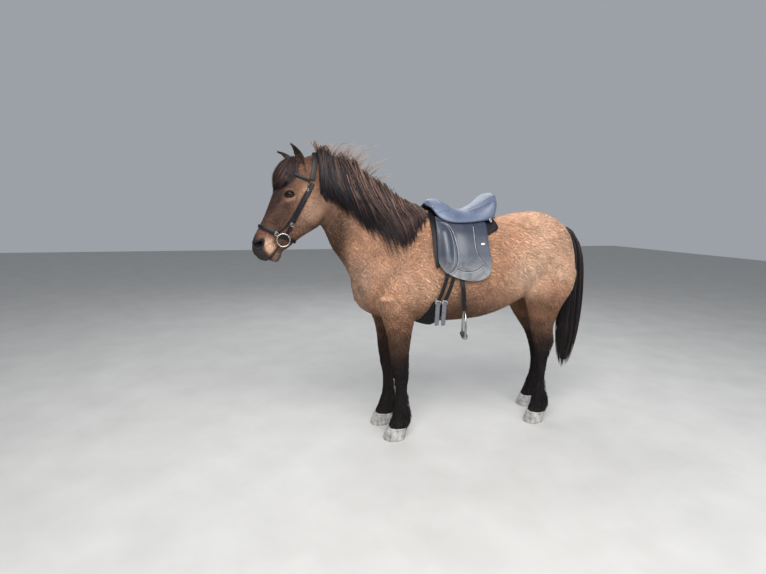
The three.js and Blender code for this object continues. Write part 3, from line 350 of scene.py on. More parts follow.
def coat_depth(x, y, z):
    """how far the hair's tips stand over the skin"""
    s, n = to_head(y, z)
    head = sr(y, -660, -800) * sr(z, 1060, 1200) * sr(s, -70, 30) * sr(n, -300, -225)
    d = lerp(8.0, 3.4, head)
    d = lerp(d, 2.0, head * sr(s, 470, 560))
    d = np.where(z < 520, lerp(5.0, d, sr(z, 360, 520)), d)
    return d


def flesh(x, y, z):
    """the surface at the hair's tips, with the limbs run into the trunk"""
    d = smin(torso_field(x, y, z), head_field(x, y, z), 16)
    for name in LIMBS:
        t = LIMB_T[name]
        fore = name.endswith("fore")
        L = within(lambda a, b, c: limb_field(name, a, b, c), x, y, z, t.lo - 70, t.hi + np.array([70, 70, 40]))
        d = smin(d, L, 34 if fore else 46)
    return d


# --------------------------------------------------------- details of the skin
# the eye's frame: centre, outward, along the fissure, up
def eye_frame(side):
    y, z = from_head(EYE_S, EYE_N)
    c = np.array([side * EYE_X, y, z])
    out = np.array([side * 0.93, -0.34, 0.08])
    out /= np.linalg.norm(out)
    # front corner lower than the back one a little
    along = np.array([0.0, -0.985, -0.17])
    along -= out * along.dot(out)
    along /= np.linalg.norm(along)
    up = np.cross(along, out) * (1 if side > 0 else -1)
    if up[2] < 0:
        up = -up
    return c, out, along, up


EYES = {1: eye_frame(1), -1: eye_frame(-1)}


def details(x, y, z, d):
    """lids, nostrils, lips and hollows of the head, worked into the field d"""
    m = (y < -640) & (z > 1050)
    if not m.any():
        return d
    X, Yv, Zv, D = x[m], y[m], z[m], d[m].copy()
    s, n = to_head(Yv, Zv)
    ax = np.abs(X)
    # hollow over the eye, groove before the cheek, groove along the jaw
    D = D + 3.6 * np.exp(-((s - 172) / 24) ** 2 - ((n - 58) / 20) ** 2) * sr(ax, 30, 66)
    D = D + 4.5 * np.exp(-((s - 316) / 17) ** 2 - ((n + 92) / 60) ** 2) * sr(ax, 22, 40)
    D = D + 3.0 * np.exp(-((s - 440) / 70) ** 2 - ((n - 26) / 16) ** 2) * sr(ax, 18, 36)
    D = D - 1.6 * np.exp(-((n - (-22 - 0.05 * (s - 330))) / 9) ** 2) * sr(s, 250, 320) * sr(s, 450, 350) * sr(ax, 25, 50)
    # nostril: a deep comma with a raised rim
    u = (s - 551) * 0.80 + (n - 21) * 0.60
    v = -(s - 551) * 0.60 + (n - 21) * 0.80
    v = v - 0.010 * u * u
    rho = np.sqrt((u / 25.5) ** 2 + (v / 16.0) ** 2)
    side = sr(ax, 12, 26)
    D = D - 3.6 * np.exp(-((rho - 1.28) / 0.32) ** 2) * side
    rim = np.sqrt((u / 25.5) ** 2 + (v / 16.0) ** 2 + ((ax - 48) / 31.0) ** 2)
    D = smax(D, -(rim - 1.0) * 14.0, 5.0)
    # lips: a slit from the corner to the front, full lips on both sides
    nm = -83 + 9.0 * ramp(s, 491, 600)
    slit = sr(s, 487, 499) * np.exp(-((n - nm) / 2.6) ** 2)
    D = D + 7.5 * slit
    D = D - 2.4 * sr(s, 485, 520) * (np.exp(-((n - nm - 10) / 6.5) ** 2) + np.exp(-((n - nm + 11) / 7) ** 2))
    D = D + 3.0 * np.exp(-((s - 560) / 30) ** 2 - ((n + 47) / 9) ** 2) * sr(ax, 20, 34)
    # chin groove
    D = D + 4.0 * np.exp(-((s - 502) / 13) ** 2) * sr(n, -96, -118)
    # eyes
    for sd in (1, -1):
        c, out, along, up = EYES[sd]
        k = (X - c[0]) ** 2 + (Yv - c[1]) ** 2 + (Zv - c[2]) ** 2 < 62 ** 2
        if not k.any():
            continue
        P = np.stack([X[k] - c[0], Yv[k] - c[1], Zv[k] - c[2]], 1)
        a, b, o = P @ along, P @ up, P @ out
        r = np.linalg.norm(P, axis=1)
        dk = D[k]
        # lids: a skin over the ball
        lid = r - (EYE_R + 3.4)
        dk = smin(dk, np.maximum(lid, -o + 4), 7.0)
        # folds over and under
        arc_up = 15.5 + 3 * (1 - (a / 26) ** 2)
        dk = dk + 2.4 * np.exp(-((b - arc_up) / 2.4) ** 2) * np.exp(-(a / 26) ** 4) * (o > 0)
        dk = dk + 1.6 * np.exp(-((b + 17.5 - 2 * (a / 22) ** 2) / 2.2) ** 2) * np.exp(-(a / 24) ** 4) * (o > 0)
        dk = dk - 2.0 * np.exp(-((b - arc_up + 6) / 3.4) ** 2) * np.exp(-(a / 24) ** 4) * (o > 0)
        # the opening between the lids
        aa = a / 21.6
        top = 10.8 * np.maximum(1 - np.abs(aa) ** 2.1, 0) ** 0.80
        low = -8.2 * np.maximum(1 - np.abs(aa) ** 1.9, 0) ** 0.90 - 0.8
        slot = np.maximum(np.maximum(b - top, low - b), np.abs(a) - 21.6) - 1.0
        slot = np.maximum(slot, -o + 6)
        dk = smax(dk, -slot, 1.6)
        dk = np.maximum(dk, -(r - (EYE_R + 0.25)))
        D[k] = dk
    out_d = d.copy()
    out_d[m] = D
    return out_d


def skin_field(x, y, z):
    d = flesh(x, y, z)
    return details(x, y, z, d + coat_depth(x, y, z))


def evaluate(f, P):
    return f(P[:, 0], P[:, 1], P[:, 2])


def gradient(f, P, e=1.5):
    g = np.empty_like(P)
    for k in range(3):
        A, B = P.copy(), P.copy()
        A[:, k] += e
        B[:, k] -= e
        g[:, k] = (evaluate(f, A) - evaluate(f, B)) / (2 * e)
    return g


def chunked(f, x, y, z, size=200000):
    out = np.empty(len(x))
    for i in range(0, len(x), size):
        out[i:i + size] = f(x[i:i + size], y[i:i + size], z[i:i + size])
    return out


def polygonize(field, lo, hi, h, coarse=4):
    lo, hi = np.array(lo, float), np.array(hi, float)
    H = h * coarse
    n = np.ceil((hi - lo) / H).astype(int) + 1
    ax = [lo[i] + H * np.arange(n[i] + 1) for i in range(3)]
    G = np.meshgrid(*ax, indexing="ij")
    dc = chunked(field, *[g.ravel() for g in G]).reshape(G[0].shape)
    # cells near the surface
    near = np.abs(dc) < H * 1.7
    cell = np.zeros(n, bool)
    neg = np.zeros(n, bool)
    pos = np.zeros(n, bool)
    for i in (0, 1):
        for j in (0, 1):
            for k in (0, 1):
                sl = (slice(i, i + n[0]), slice(j, j + n[1]), slice(k, k + n[2]))
                cell |= near[sl]
                neg |= dc[sl] < 0
                pos |= dc[sl] >= 0
    cell |= neg & pos
    base = dc[:-1, :-1, :-1]
    fine = np.repeat(np.repeat(np.repeat(np.where(base < 0, -3 * h, 3 * h), coarse, 0), coarse, 1), coarse, 2).astype(np.float32)
    C = np.argwhere(cell)
    o = np.arange(coarse)
    off = np.stack(np.meshgrid(o, o, o, indexing="ij"), -1).reshape(-1, 3)
    I = (C[:, None, :] * coarse + off[None]).reshape(-1, 3)
    P = lo + I * h
    v = chunked(field, P[:, 0], P[:, 1], P[:, 2])
    fine[I[:, 0], I[:, 1], I[:, 2]] = np.clip(v, -3 * h, 3 * h)
    g = vdb.FloatGrid(3 * h)
    g.copyFromArray(fine)
    pts, quads = g.convertToQuads(0.0)
    return lo + np.asarray(pts, float) * h, np.asarray(quads, int)


def new_object(name, verts, faces, smooth_shade=True):
    me = bpy.data.meshes.new(name)
    me.from_pydata([tuple(v) for v in verts], [], [tuple(f) for f in faces])
    if smooth_shade:
        me.polygons.foreach_set("use_smooth", np.ones(len(me.polygons), bool))
    me.update()
    o = bpy.data.objects.new(name, me)
    bpy.context.scene.collection.objects.link(o)
    return o


def fast_object(name, V, F, uv=None, col=None, shade=True):
    """mesh of equal-sized faces from arrays, in frame metres"""
    me = bpy.data.meshes.new(name)
    k = F.shape[1]
    me.vertices.add(len(V))
    me.vertices.foreach_set("co", V.astype(np.float32).ravel())
    me.loops.add(F.size)
    me.loops.foreach_set("vertex_index", F.astype(np.int32).ravel())
    me.polygons.add(len(F))
    me.polygons.foreach_set("loop_start", np.arange(0, F.size, k, dtype=np.int32))
    me.polygons.foreach_set("use_smooth", np.full(len(F), shade))
    if uv is not None:
        l = me.uv_layers.new(name="OFBake")
        l.data.foreach_set("uv", uv[F.ravel()].astype(np.float32).ravel())
    if col is not None:
        a = me.color_attributes.new("tint", "FLOAT_COLOR", "POINT")
        c = np.ones((len(V), 4), np.float32)
        c[:, :3] = col
        a.data.foreach_set("color", c.ravel())
    me.update(calc_edges=True)
    me.validate()
    o = bpy.data.objects.new(name, me)
    bpy.context.scene.collection.objects.link(o)
    return o


# ------------------------------------------------------------------ the skin
def project(P, field, steps=4, limit=6.0):
    for _ in range(steps):
        d = evaluate(field, P)
        g = gradient(field, P)
        gg = np.maximum((g * g).sum(1), 0.15)
        step = g * (d / gg)[:, None]
        L = np.linalg.norm(step, axis=1, keepdims=True)
        P = P - step * np.minimum(1, limit / np.maximum(L, 1e-9))
    return P


def unit(v):
    return v / np.maximum(np.linalg.norm(v, axis=-1, keepdims=True), 1e-12)


def build_skin():
    P, Q = polygonize(skin_field, (-300, -1300, 0), (300, 790, 1720), 12.0)
    me = bpy.data.meshes.new("skin")
    bm = bmesh.new()
    vs = [bm.verts.new(p) for p in P]
    for q in Q:
        try:
            bm.faces.new([vs[i] for i in q])
        except ValueError:
            pass
    for level in range(3):
        co = np.array([v.co for v in bm.verts])
        s, n = to_head(co[:, 1], co[:, 2])
        if level == 0:
            pick = (s > -30) & (s < 640) & (co[:, 1] < -690) & (co[:, 2] > 1060) & (n > -240)
        else:
            pick = np.zeros(len(co), bool)
            for sd in (1, -1):
                r = np.linalg.norm(co - EYES[sd][0], axis=1)
                pick |= r < (52 if level == 1 else 37)
            pick |= (s > (480 if level == 1 else 512)) & (s < (640 if level == 1 else 592)) & (co[:, 1] < -900) & (n > (-150 if level == 1 else -12))
            if level == 2:
                pick |= (s > 484) & (s < 622) & (n > -100) & (n < -64) & (co[:, 1] < -900)
        bm.verts.index_update()
        flag = pick.tolist()
        edges = [e for e in bm.edges if flag[e.verts[0].index] and flag[e.verts[1].index]]
        bmesh.ops.subdivide_edges(bm, edges=edges, cuts=1, use_grid_fill=True)
        co = np.array([v.co for v in bm.verts])
        s, n = to_head(co[:, 1], co[:, 2])
        m = (s > -60) & (co[:, 1] < -640) & (co[:, 2] > 1040)
        co[m] = project(co[m], skin_field, 3)
        for v, c, k in zip(bm.verts, co, m):
            if k:
                v.co = c
    # even out the fine quads round the eyes, nostrils and lips
    for _ in range(3):
        co = np.array([v.co for v in bm.verts])
        s, n = to_head(co[:, 1], co[:, 2])
        near = (s > 480) & (co[:, 1] < -900)
        for sd in (1, -1):
            near |= np.linalg.norm(co - EYES[sd][0], axis=1) < 52
        idx = np.nonzero(near)[0]
        bm.verts.ensure_lookup_table()
        new = []
        for i in idx:
            v = bm.verts[i]
            nb = [e.other_vert(v).co for e in v.link_edges]
            c = sum(nb, Vector()) / len(nb)
            new.append(v.co.lerp(c, 0.5))
        new = project(np.array(new), skin_field, 2, 3.0)
        for i, c in zip(idx, new):
            bm.verts[i].co = c
    bmesh.ops.triangulate(bm, faces=[f for f in bm.faces if len(f.verts) > 4])
    bmesh.ops.recalc_face_normals(bm, faces=bm.faces)
    bm.to_mesh(me)
    bm.free()
    co = np.zeros(len(me.vertices) * 3)
    me.vertices.foreach_get("co", co)
    return me, co.reshape(-1, 3)


# ears: a curled leaf on a bent axis
EARS = {1: ([50, -985, 1588], [76, -1046, 1716]), -1: ([50, -994, 1584], [88, -1100, 1694])}
EAR = [[-0.22, 27, 27, 0, 0], [-0.1, 24, 24, 0.1, 0], [0, 24, 23, 0.35, 0], [0.2, 27, 22.5, 0.75, 5], [0.42, 26.5, 19, 0.85, 8],
       [0.64, 21.5, 14, 0.85, 8], [0.82, 13.5, 9.5, 0.8, 4], [0.94, 6.5, 5.5, 0.5, -1], [1, 1.6, 1.6, 0, -5]]


def ear_frame(side):
    b, t = [np.array([side * E[0], E[1], E[2]], float) for E in EARS[side]]
    axis = t - b
    L = np.linalg.norm(axis)
    axis /= L
    op = np.array([side * 0.62, -0.74 if side > 0 else -0.5, 0.1 if side > 0 else -0.5])
    op -= axis * op.dot(axis)
    op /= np.linalg.norm(op)
    return b, axis, L, op, np.cross(axis, op)


def ear_rings(side, n=30, sub=4):
    b, axis, L, op, wide = ear_frame(side)
    rings = []
    for u, w, d, hollow, bow in refine(EAR, sub):
        a = 2 * np.pi * np.arange(n) / n
        py = np.sin(a)
        cup = np.clip(py, 0, 1)
        depth = np.where(py > 0, py * (1 - hollow * py * 1.15) - 0.62 * max(hollow, 0) * cup ** 1.4, py)
        c = b + axis * L * u - op * bow
        rings.append(c + wide * (np.cos(a) * w)[:, None] + op * (depth * d)[:, None])
    return np.array(rings)


def loft_faces(m, n, caps=True, closed=False):
    F = []
    for i in range(m if closed else m - 1):
        i2 = (i + 1) % m
        for j in range(n):
            F.append((i * n + j, i * n + (j + 1) % n, i2 * n + (j + 1) % n, i2 * n + j))
    if caps and not closed:
        F.append(tuple(range(n))[::-1])
        F.append(tuple(range((m - 1) * n, m * n)))
    return F


def orient(o):
    bm = bmesh.new()
    bm.from_mesh(o.data)
    bmesh.ops.recalc_face_normals(bm, faces=bm.faces)
    bm.to_mesh(o.data)
    bm.free()


def loft_object(name, rings, caps=True, closed=False, shade=True):
    """closed body through rings (m, n, 3) in millimetres"""
    rings = np.asarray(rings, float)
    m, n, _ = rings.shape
    o = new_object(name, world(rings.reshape(-1, 3)), loft_faces(m, n, caps, closed), shade)
    orient(o)
    return o


# ------------------------------------------------------------------ markings
def value_noise(P, seed=0):
    """smooth noise in 0..1 on unit cells"""
    I = np.floor(P).astype(np.int64)
    f = P - I
    f = f * f * (3 - 2 * f)
    out = 0
    for i in (0, 1):
        for j in (0, 1):
            for k in (0, 1):
                h = ((I[:, 0] + i) * 73856093) ^ ((I[:, 1] + j) * 19349663) ^ ((I[:, 2] + k) * 83492791) ^ (seed * 2654435761)
                h = (h ^ (h >> 13)) * 1274126177
                h = ((h ^ (h >> 16)) & 0xFFFFFF) / float(0xFFFFFF)
                w = (f[:, 0] if i else 1 - f[:, 0]) * (f[:, 1] if j else 1 - f[:, 1]) * (f[:, 2] if k else 1 - f[:, 2])
                out = out + h * w
    return out


TAN = np.array([.545, .305, .192])
PALE = np.array([.690, .455, .318])
RUST = np.array([.255, .132, .080])
BROWN = np.array([.120, .066, .044])
DARK = np.array([.034, .021, .017])
BLACK = np.array([.012, .010, .011])


def mix(c, target, w):
    w = np.clip(w, 0, 1)[:, None]
    return c * (1 - w) + np.asarray(target) * w


def markings(P, N):
    """coat colour at a point of the skin, linear, with painted light and shade worked in at places"""
    x, y, z = P.T
    s, n = to_head(y, z)
    ax = np.abs(x)
    big = value_noise(P / np.array([150, 190, 150]), 1)
    mid = value_noise(P / np.array([46, 60, 46]), 2)
    fine = value_noise(P / np.array([13, 22, 13]), 3)
    c = np.repeat(TAN[None], len(P), 0)
    # paler over shoulder, flank and croup: partly random paler mottling of the coat, partly painted light on the upper
    # body where the light falls
    pale_and_lit = 0.20 + 0.75 * sr(big, 0.30, 0.72)
    pale_and_lit = pale_and_lit * (0.30 + 0.70 * np.maximum(np.exp(-((y + 430) / 190) ** 2 - ((z - 1040) / 190) ** 2), sr(y, 200, 420)))
    pale_and_lit = np.maximum(pale_and_lit, 0.80 * sr(y, 230, 430) * sr(z, 900, 1100))
    pale_and_lit = np.maximum(pale_and_lit, 0.75 * np.exp(-((y - 330) / 130) ** 2 - ((z - 1000) / 130) ** 2))
    c = mix(c, PALE, pale_and_lit)
    # belly and lower ribs redder and darker: the red is the coat's own, the darkening is partly painted shade on the
    # underside; darkest behind the elbow and the girth, a painted shadow
    low = sr(z + 60 * (big - 0.5), 880, 730) * sr(y, -520, -380) * sr(y, 640, 500)
    c = mix(c, RUST, 0.90 * low)
    # painted shadow on the lower barrel behind the girth
    c = mix(c, BROWN, 0.95 * np.exp(-((y + 70) / 200) ** 2 - ((z - 800) / 105) ** 2))
    c = mix(c, RUST, 0.60 * np.exp(-((y + 10) / 170) ** 2 - ((z - 900) / 95) ** 2))
    # painted shade on faces turned downwards
    c = mix(c, BROWN, 0.60 * sr(N[:, 2], -0.6, -0.95) * sr(z, 1000, 900))
    # under the neck and the breast; the breast is paler where it faces forward, partly its own paler hair and partly
    # painted light
    front = sr(-N[:, 1], 0.30, 0.90)
    c = mix(c, [.400, .262, .196], 0.80 * sr(y, -480, -620) * front)
    c = mix(c, [.230, .140, .104], 0.60 * front * sr(y, -620, -740) * sr(z, 960, 1200))
    # pale patch on the hind quarter before the hip: partly paler coat, partly a painted highlight
    c = mix(c, [.800, .580, .430], 0.60 * np.exp(-((y - 340) / 120) ** 2 - ((z - 1020) / 130) ** 2))
    # red brown on the upper neck, with a bright patch half way down its side
    upper = sr(y, -440, -560) * sr(z - 0.55 * (-y - 560), 1050, 1180)
    c = mix(c, [.235, .128, .086], 0.72 * upper)
    patch = np.exp(-((y + 640) / 62) ** 2 - ((z - 1215) / 80) ** 2) + 0.8 * np.exp(-((y + 560) / 70) ** 2 - ((z - 1090) / 70) ** 2)
    c = mix(c, TAN * 1.08, 0.8 * np.clip(patch, 0, 1) * sr(ax, 60, 100))
    c = mix(c, DARK, 0.75 * sr(y, -735, -800) * sr(z, 1100, 1180))
    # along the crest and the back
    c = mix(c, DARK, sr(ax, 60, 18) * sr(N[:, 2], 0.2, 0.8) * sr(y, -230, -420) * 0.95)
    c = mix(c, RUST, 0.45 * sr(ax, 40, 10) * sr(N[:, 2], 0.6, 0.95) * sr(y, -300, -200))
    # fore limbs
    fore = sr(y, -220, -300) * sr(y, -760, -640)
    c = mix(c, RUST, fore * 0.90 * sr(z + 50 * (mid - 0.5), 880, 730))
    c = mix(c, BROWN, fore * 0.95 * sr(z + 60 * (mid - 0.5), 770, 620))
    c = mix(c, DARK, fore * sr(z + 70 * (mid - 0.5), 640, 500))
    c = mix(c, BLACK, fore * sr(z + 40 * (mid - 0.5), 520, 405))
    # hind limbs
    hind = sr(y, 330, 420)
    c = mix(c, RUST, hind * 0.85 * sr(z + 40 * (mid - 0.5), 940, 780))
    c = mix(c, BROWN, hind * 0.95 * sr(z + 60 * (mid - 0.5), 760, 610))
    c = mix(c, DARK, hind * sr(z + 60 * (mid - 0.5), 640, 520))
    c = mix(c, BLACK, hind * sr(z + 40 * (mid - 0.5), 560, 450))
    # painted shade on the inner sides of the limbs, low down, where they face each other
    c = mix(c, DARK, 0.5 * sr(z, 760, 640) * sr(ax, 110, 70))
    # head
    head = sr(y, -700, -830) * sr(z + 1.2 * np.maximum(-y - 730, 0), 1060, 1160) * sr(s, -90, 20)
    h = np.repeat(np.array([[.150, .074, .046]]), len(P), 0)
    cheek = np.exp(-((s - 250) / 108) ** 2 - ((n + 128) / 80) ** 2)
    h = mix(h, [.380, .236, .165], 0.92 * cheek)
    h = mix(h, [.480, .265, .150], 0.80 * np.exp(-((s - 165) / 50) ** 2 - ((n + 42) / 34) ** 2))
    h = mix(h, [.210, .110, .068], 0.55 * sr(s, 330, 400) * sr(n, -120, -90) * sr(s, 480, 430))
    face = sr(n + 14 * (mid - 0.5), 20, 62) * sr(s, 60, 130)
    h = mix(h, [.044, .026, .023], 0.94 * face)
    h = mix(h, [.062, .036, .030], 0.88 * np.exp(-((s - 385) / 100) ** 2 - ((n - 2) / 40) ** 2))
    h = mix(h, [.115, .062, .046], 0.55 * np.exp(-((s - 420) / 60) ** 2 - ((n - 62) / 22) ** 2))
    h = mix(h, [.075, .042, .033], 0.70 * np.exp(-((s - 300) / 55) ** 2 - ((n - 4) / 38) ** 2))
    # pale rim under and behind the eye; the dark round it is partly the dark skin of the lids and partly painted shade
    # in the socket round the eye
    de = np.full(len(P), 1e3)
    for sd in (1, -1):
        ce, out, along, up = EYES[sd]
        Q = P - ce
        a, b = Q @ along, Q @ up
        on = np.sign(x) == sd
        de = np.where(on, np.sqrt((a / 1.42) ** 2 + (b / 0.80 + 0.004 * a * a) ** 2), de)
        rim = np.exp(-(((b + 27 + 0.1 * a) / 9) ** 2)) * np.exp(-((a + 2) / 30) ** 4) * on * sr(ax, 40, 60)
        h = mix(h, [.235, .128, .084], 0.62 * rim)
        over = np.exp(-(((b - 26) / 9) ** 2)) * np.exp(-((a + 2) / 26) ** 4) * on * sr(ax, 30, 50)
        h = mix(h, [.205, .112, .072], 0.65 * over)
    # dark round the eye: dark lid skin and painted shade
    h = mix(h, [.020, .013, .011], 1 - sr(de, 17, 27))
    # muzzle: tan patch behind the nostril, dark nostril and lips
    patch = np.maximum(np.exp(-((s - 505) / 34) ** 2 - ((n + 6) / 36) ** 2), np.exp(-((s - 531) / 34) ** 2 - ((n + 44) / 32) ** 2)) * sr(ax, 10, 30)
    h = mix(h, [.560, .365, .255], 0.95 * sr(patch + 0.22 * (mid - 0.5), 0.10, 0.85))
    h = mix(h, [.240, .112, .072], 0.85 * np.exp(-((s - 478) / 28) ** 2 - ((n - 22) / 40) ** 2))
    u = (s - 551) * 0.80 + (n - 21) * 0.60
    v = -(s - 551) * 0.60 + (n - 21) * 0.80 - 0.010 * ((s - 551) * 0.80 + (n - 21) * 0.60) ** 2
    rho = np.sqrt((u / 25.0) ** 2 + (v / 15.0) ** 2)
    # near black in and round the nostril: its dark skin, and painted shade standing for the depth of the opening
    h = mix(h, [.012, .010, .011], sr(rho, 2.25, 1.5) * sr(ax, 6, 20))
    h = mix(h, [.022, .018, .019], 0.97 * sr(s + 0.40 * n + 10 * (mid - 0.5), 534, 560))
    nm = -83 + 9.0 * ramp(s, 491, 600)
    h = mix(h, [.024, .018, .017], 0.92 * sr(s, 470, 495) * np.exp(-((n - nm - 3) / 13) ** 2))
    h = mix(h, [.150, .105, .090], 0.80 * sr(s, 500, 535) * np.exp(-((n - nm + 22) / 12) ** 2))
    h = mix(h, [.060, .040, .034], 0.80 * sr(s, 430, 500) * sr(n, -100, -120))
    # throat and under the jaw
    h = mix(h, [.110, .064, .042], 0.8 * sr(n, -165, -205) * sr(s, 120, 200))
    c = c * (1 - head[:, None]) + h * head[:, None]
    dark = c.mean(1) < 0.05
    amp = np.where(dark, 0.12, 0.22)
    c = c * (1 + amp * (mid - 0.5) + amp * (fine - 0.5) + 0.20 * (big - 0.5))[:, None]
    return np.clip(c, 0.004, 0.9)


# ------------------------------------------------------------------ the coat
def flow(P, N):
    """the way the hair lies"""
    x, y, z = P.T
    s, n = to_head(y, z)
    D = np.tile(np.array([0.0, 0.66, -0.75]), (len(P), 1))
    w = (sr(y, 260, 420) * sr(z, 1020, 1160))[:, None]
    D = D * (1 - w) + np.array([0.0, 0.90, -0.44]) * w
    w = sr(y, -360, -620)[:, None]
    D = D * (1 - w) + np.array([0.0, 0.42, -0.90]) * w
    w = (sr(z, 830, 660) * np.where(y < 0, sr(y, -330, -400), sr(y, 380, 430)))[:, None]
    D = D * (1 - w) + np.array([0.0, 0.10, -0.99]) * w
    w = (sr(y, 420, 640) * sr(z, 1250, 900))[:, None]
    D = D * (1 - w) + np.array([0.0, 0.25, -0.96]) * w
    head = sr(y, -700, -830) * sr(z, 1060, 1160) * sr(s, -60, 30) * sr(n, -260, -215)
    down = np.array([0.0, -CD, -SD])
    back = np.array([0.0, 0.45, -0.89])
    k = sr(n, 10, -110)[:, None]
    H = down * (1 - k) + back * k
    H = H + np.stack([np.sign(x) * 0.25 * sr(n, 40, 90), 0 * x, 0 * x], 1)
    D = D * (1 - head[:, None]) + H * head[:, None]
    a = (value_noise(P / 90.0, 11) - 0.5) * 0.9
    b = (value_noise(P / 24.0, 12) - 0.5) * 0.7
    T = D - N * (D * N).sum(1, keepdims=True)
    T = unit(T)
    B = np.cross(N, T)
    return unit(T + B * (a + b)[:, None])


def streaks(P):
    """light and dark streaks stretched along the coat, about -1..1"""
    x, y, z = P.T
    out = 0
    for (ty, tz), w in (((0.62, -0.78), 1 - sr(y, -380, -560)), ((0.42, -0.90), sr(y, -380, -560))):
        t, c = y * ty + z * tz, -y * tz + z * ty
        a = value_noise(np.stack([x / 40, t / 90, c / 20], 1), 31)
        b = value_noise(np.stack([x / 16, t / 42, c / 8], 1), 32)
        out = out + w * (1.5 * (a - 0.5) + 0.9 * (b - 0.5))
    leg = sr(z, 830, 700)
    a = value_noise(np.stack([x / 9, y / 9, z / 40], 1), 33)
    return out * (1 - leg) + 2.0 * (a - 0.5) * leg


def region_uv(P):
    """a flat layout of the skin's own shape: lengthwise and round each part"""
    x, y, z = P.T
    s, n = to_head(y, z)
    uv = np.zeros((len(P), 2))
    head = (y < -700) & (z > 1060) & (s > 0)
    fore = (~head) & (z < 720) & (y < 0)
    hind = (~head) & (z < 860) & (y > 300)
    body = ~(head | fore | hind)
    ang = np.arctan2(x, z - 1000) / (2 * np.pi) + 0.5
    uv[body, 0] = 0.02 + 0.60 * np.clip((y[body] + 960) / 1720, 0, 1)
    uv[body, 1] = 0.36 + 0.62 * ang[body]
    ah = np.arctan2(x, n + 50) / (2 * np.pi) + 0.5
    uv[head, 0] = 0.66 + 0.32 * np.clip(s[head] / 640, 0, 1)
    uv[head, 1] = 0.36 + 0.62 * ah[head]
    for k, (m, yc) in enumerate([(fore & (x > 0), -430), (fore & (x <= 0), -430), (hind & (x > 0), 560), (hind & (x <= 0), 640)]):
        aa = np.arctan2(np.abs(x) - 120, y - yc) / (2 * np.pi) + 0.5
        uv[m, 0] = 0.02 + 0.245 * k + 0.215 * aa[m]
        uv[m, 1] = 0.02 + 0.30 * np.clip(z[m] / 880, 0, 1)
    return uv


def sample_mesh(co, tris, weight, count, rg):
    A, B, C = co[tris[:, 0]], co[tris[:, 1]], co[tris[:, 2]]
    area = np.linalg.norm(np.cross(B - A, C - A), axis=1) / 2
    w = area * weight
    cum = np.cumsum(w)
    pick = np.searchsorted(cum, (np.arange(count) + rg.random(count)) / count * cum[-1])
    pick = np.clip(pick, 0, len(tris) - 1)
    r1, r2 = np.sqrt(rg.random(count)), rg.random(count)
    a, b, c = 1 - r1, r1 * (1 - r2), r1 * r2
    return pick, np.stack([a, b, c], 1)


def tuft_mesh(name, root, T, N, L, W, lift, col, tip_col, uv, curl, body=None, sink=1.0):
    """closed tapered tufts: two rings of three and a tip, lying along T and lifting from the skin"""
    k = len(root)
    B = np.cross(N, T)
    side = B * curl[:, None]
    def at(u, h, wd, th):
        c = root + T * (L * u)[:, None] + N * h[:, None] + side * (L * u * u)[:, None]
        return [c - B * wd[:, None], c + B * wd[:, None], c + N * th[:, None]]
    z = np.zeros(k)
    th = W * 0.42
    r0 = at(z, z - sink, W * 0.36, th)
    r1 = at(z + 0.45, lift * 0.62, W * 0.5, th)
    tip = root + T * (L * 0.98)[:, None] + N * (lift)[:, None] + side * (L)[:, None]
    V = np.stack(r0 + r1 + [tip], 1).reshape(-1, 3)
    f = np.array([[0, 1, 4], [0, 4, 3], [1, 2, 5], [1, 5, 4], [2, 0, 3], [2, 3, 5], [3, 4, 6], [4, 5, 6], [5, 3, 6], [0, 2, 1]])
    F = (np.arange(k)[:, None, None] * 7 + f[None]).reshape(-1, 3)
    c = np.empty((k, 7, 3))
    c[:, :3] = (col * 0.80)[:, None]
    c[:, 3:6] = col[:, None]
    c[:, 6] = tip_col
    q = 0.0015
    du = np.array([-q, q, 0, -q, q, 0, 0])
    dv = np.array([-q, -q, -q, 0, 0, 0, q])
    U = uv[:, None, :] + np.stack([du, dv], 1)[None]
    return fast_object(name, world(V), F, U.reshape(-1, 2), c.reshape(-1, 3))


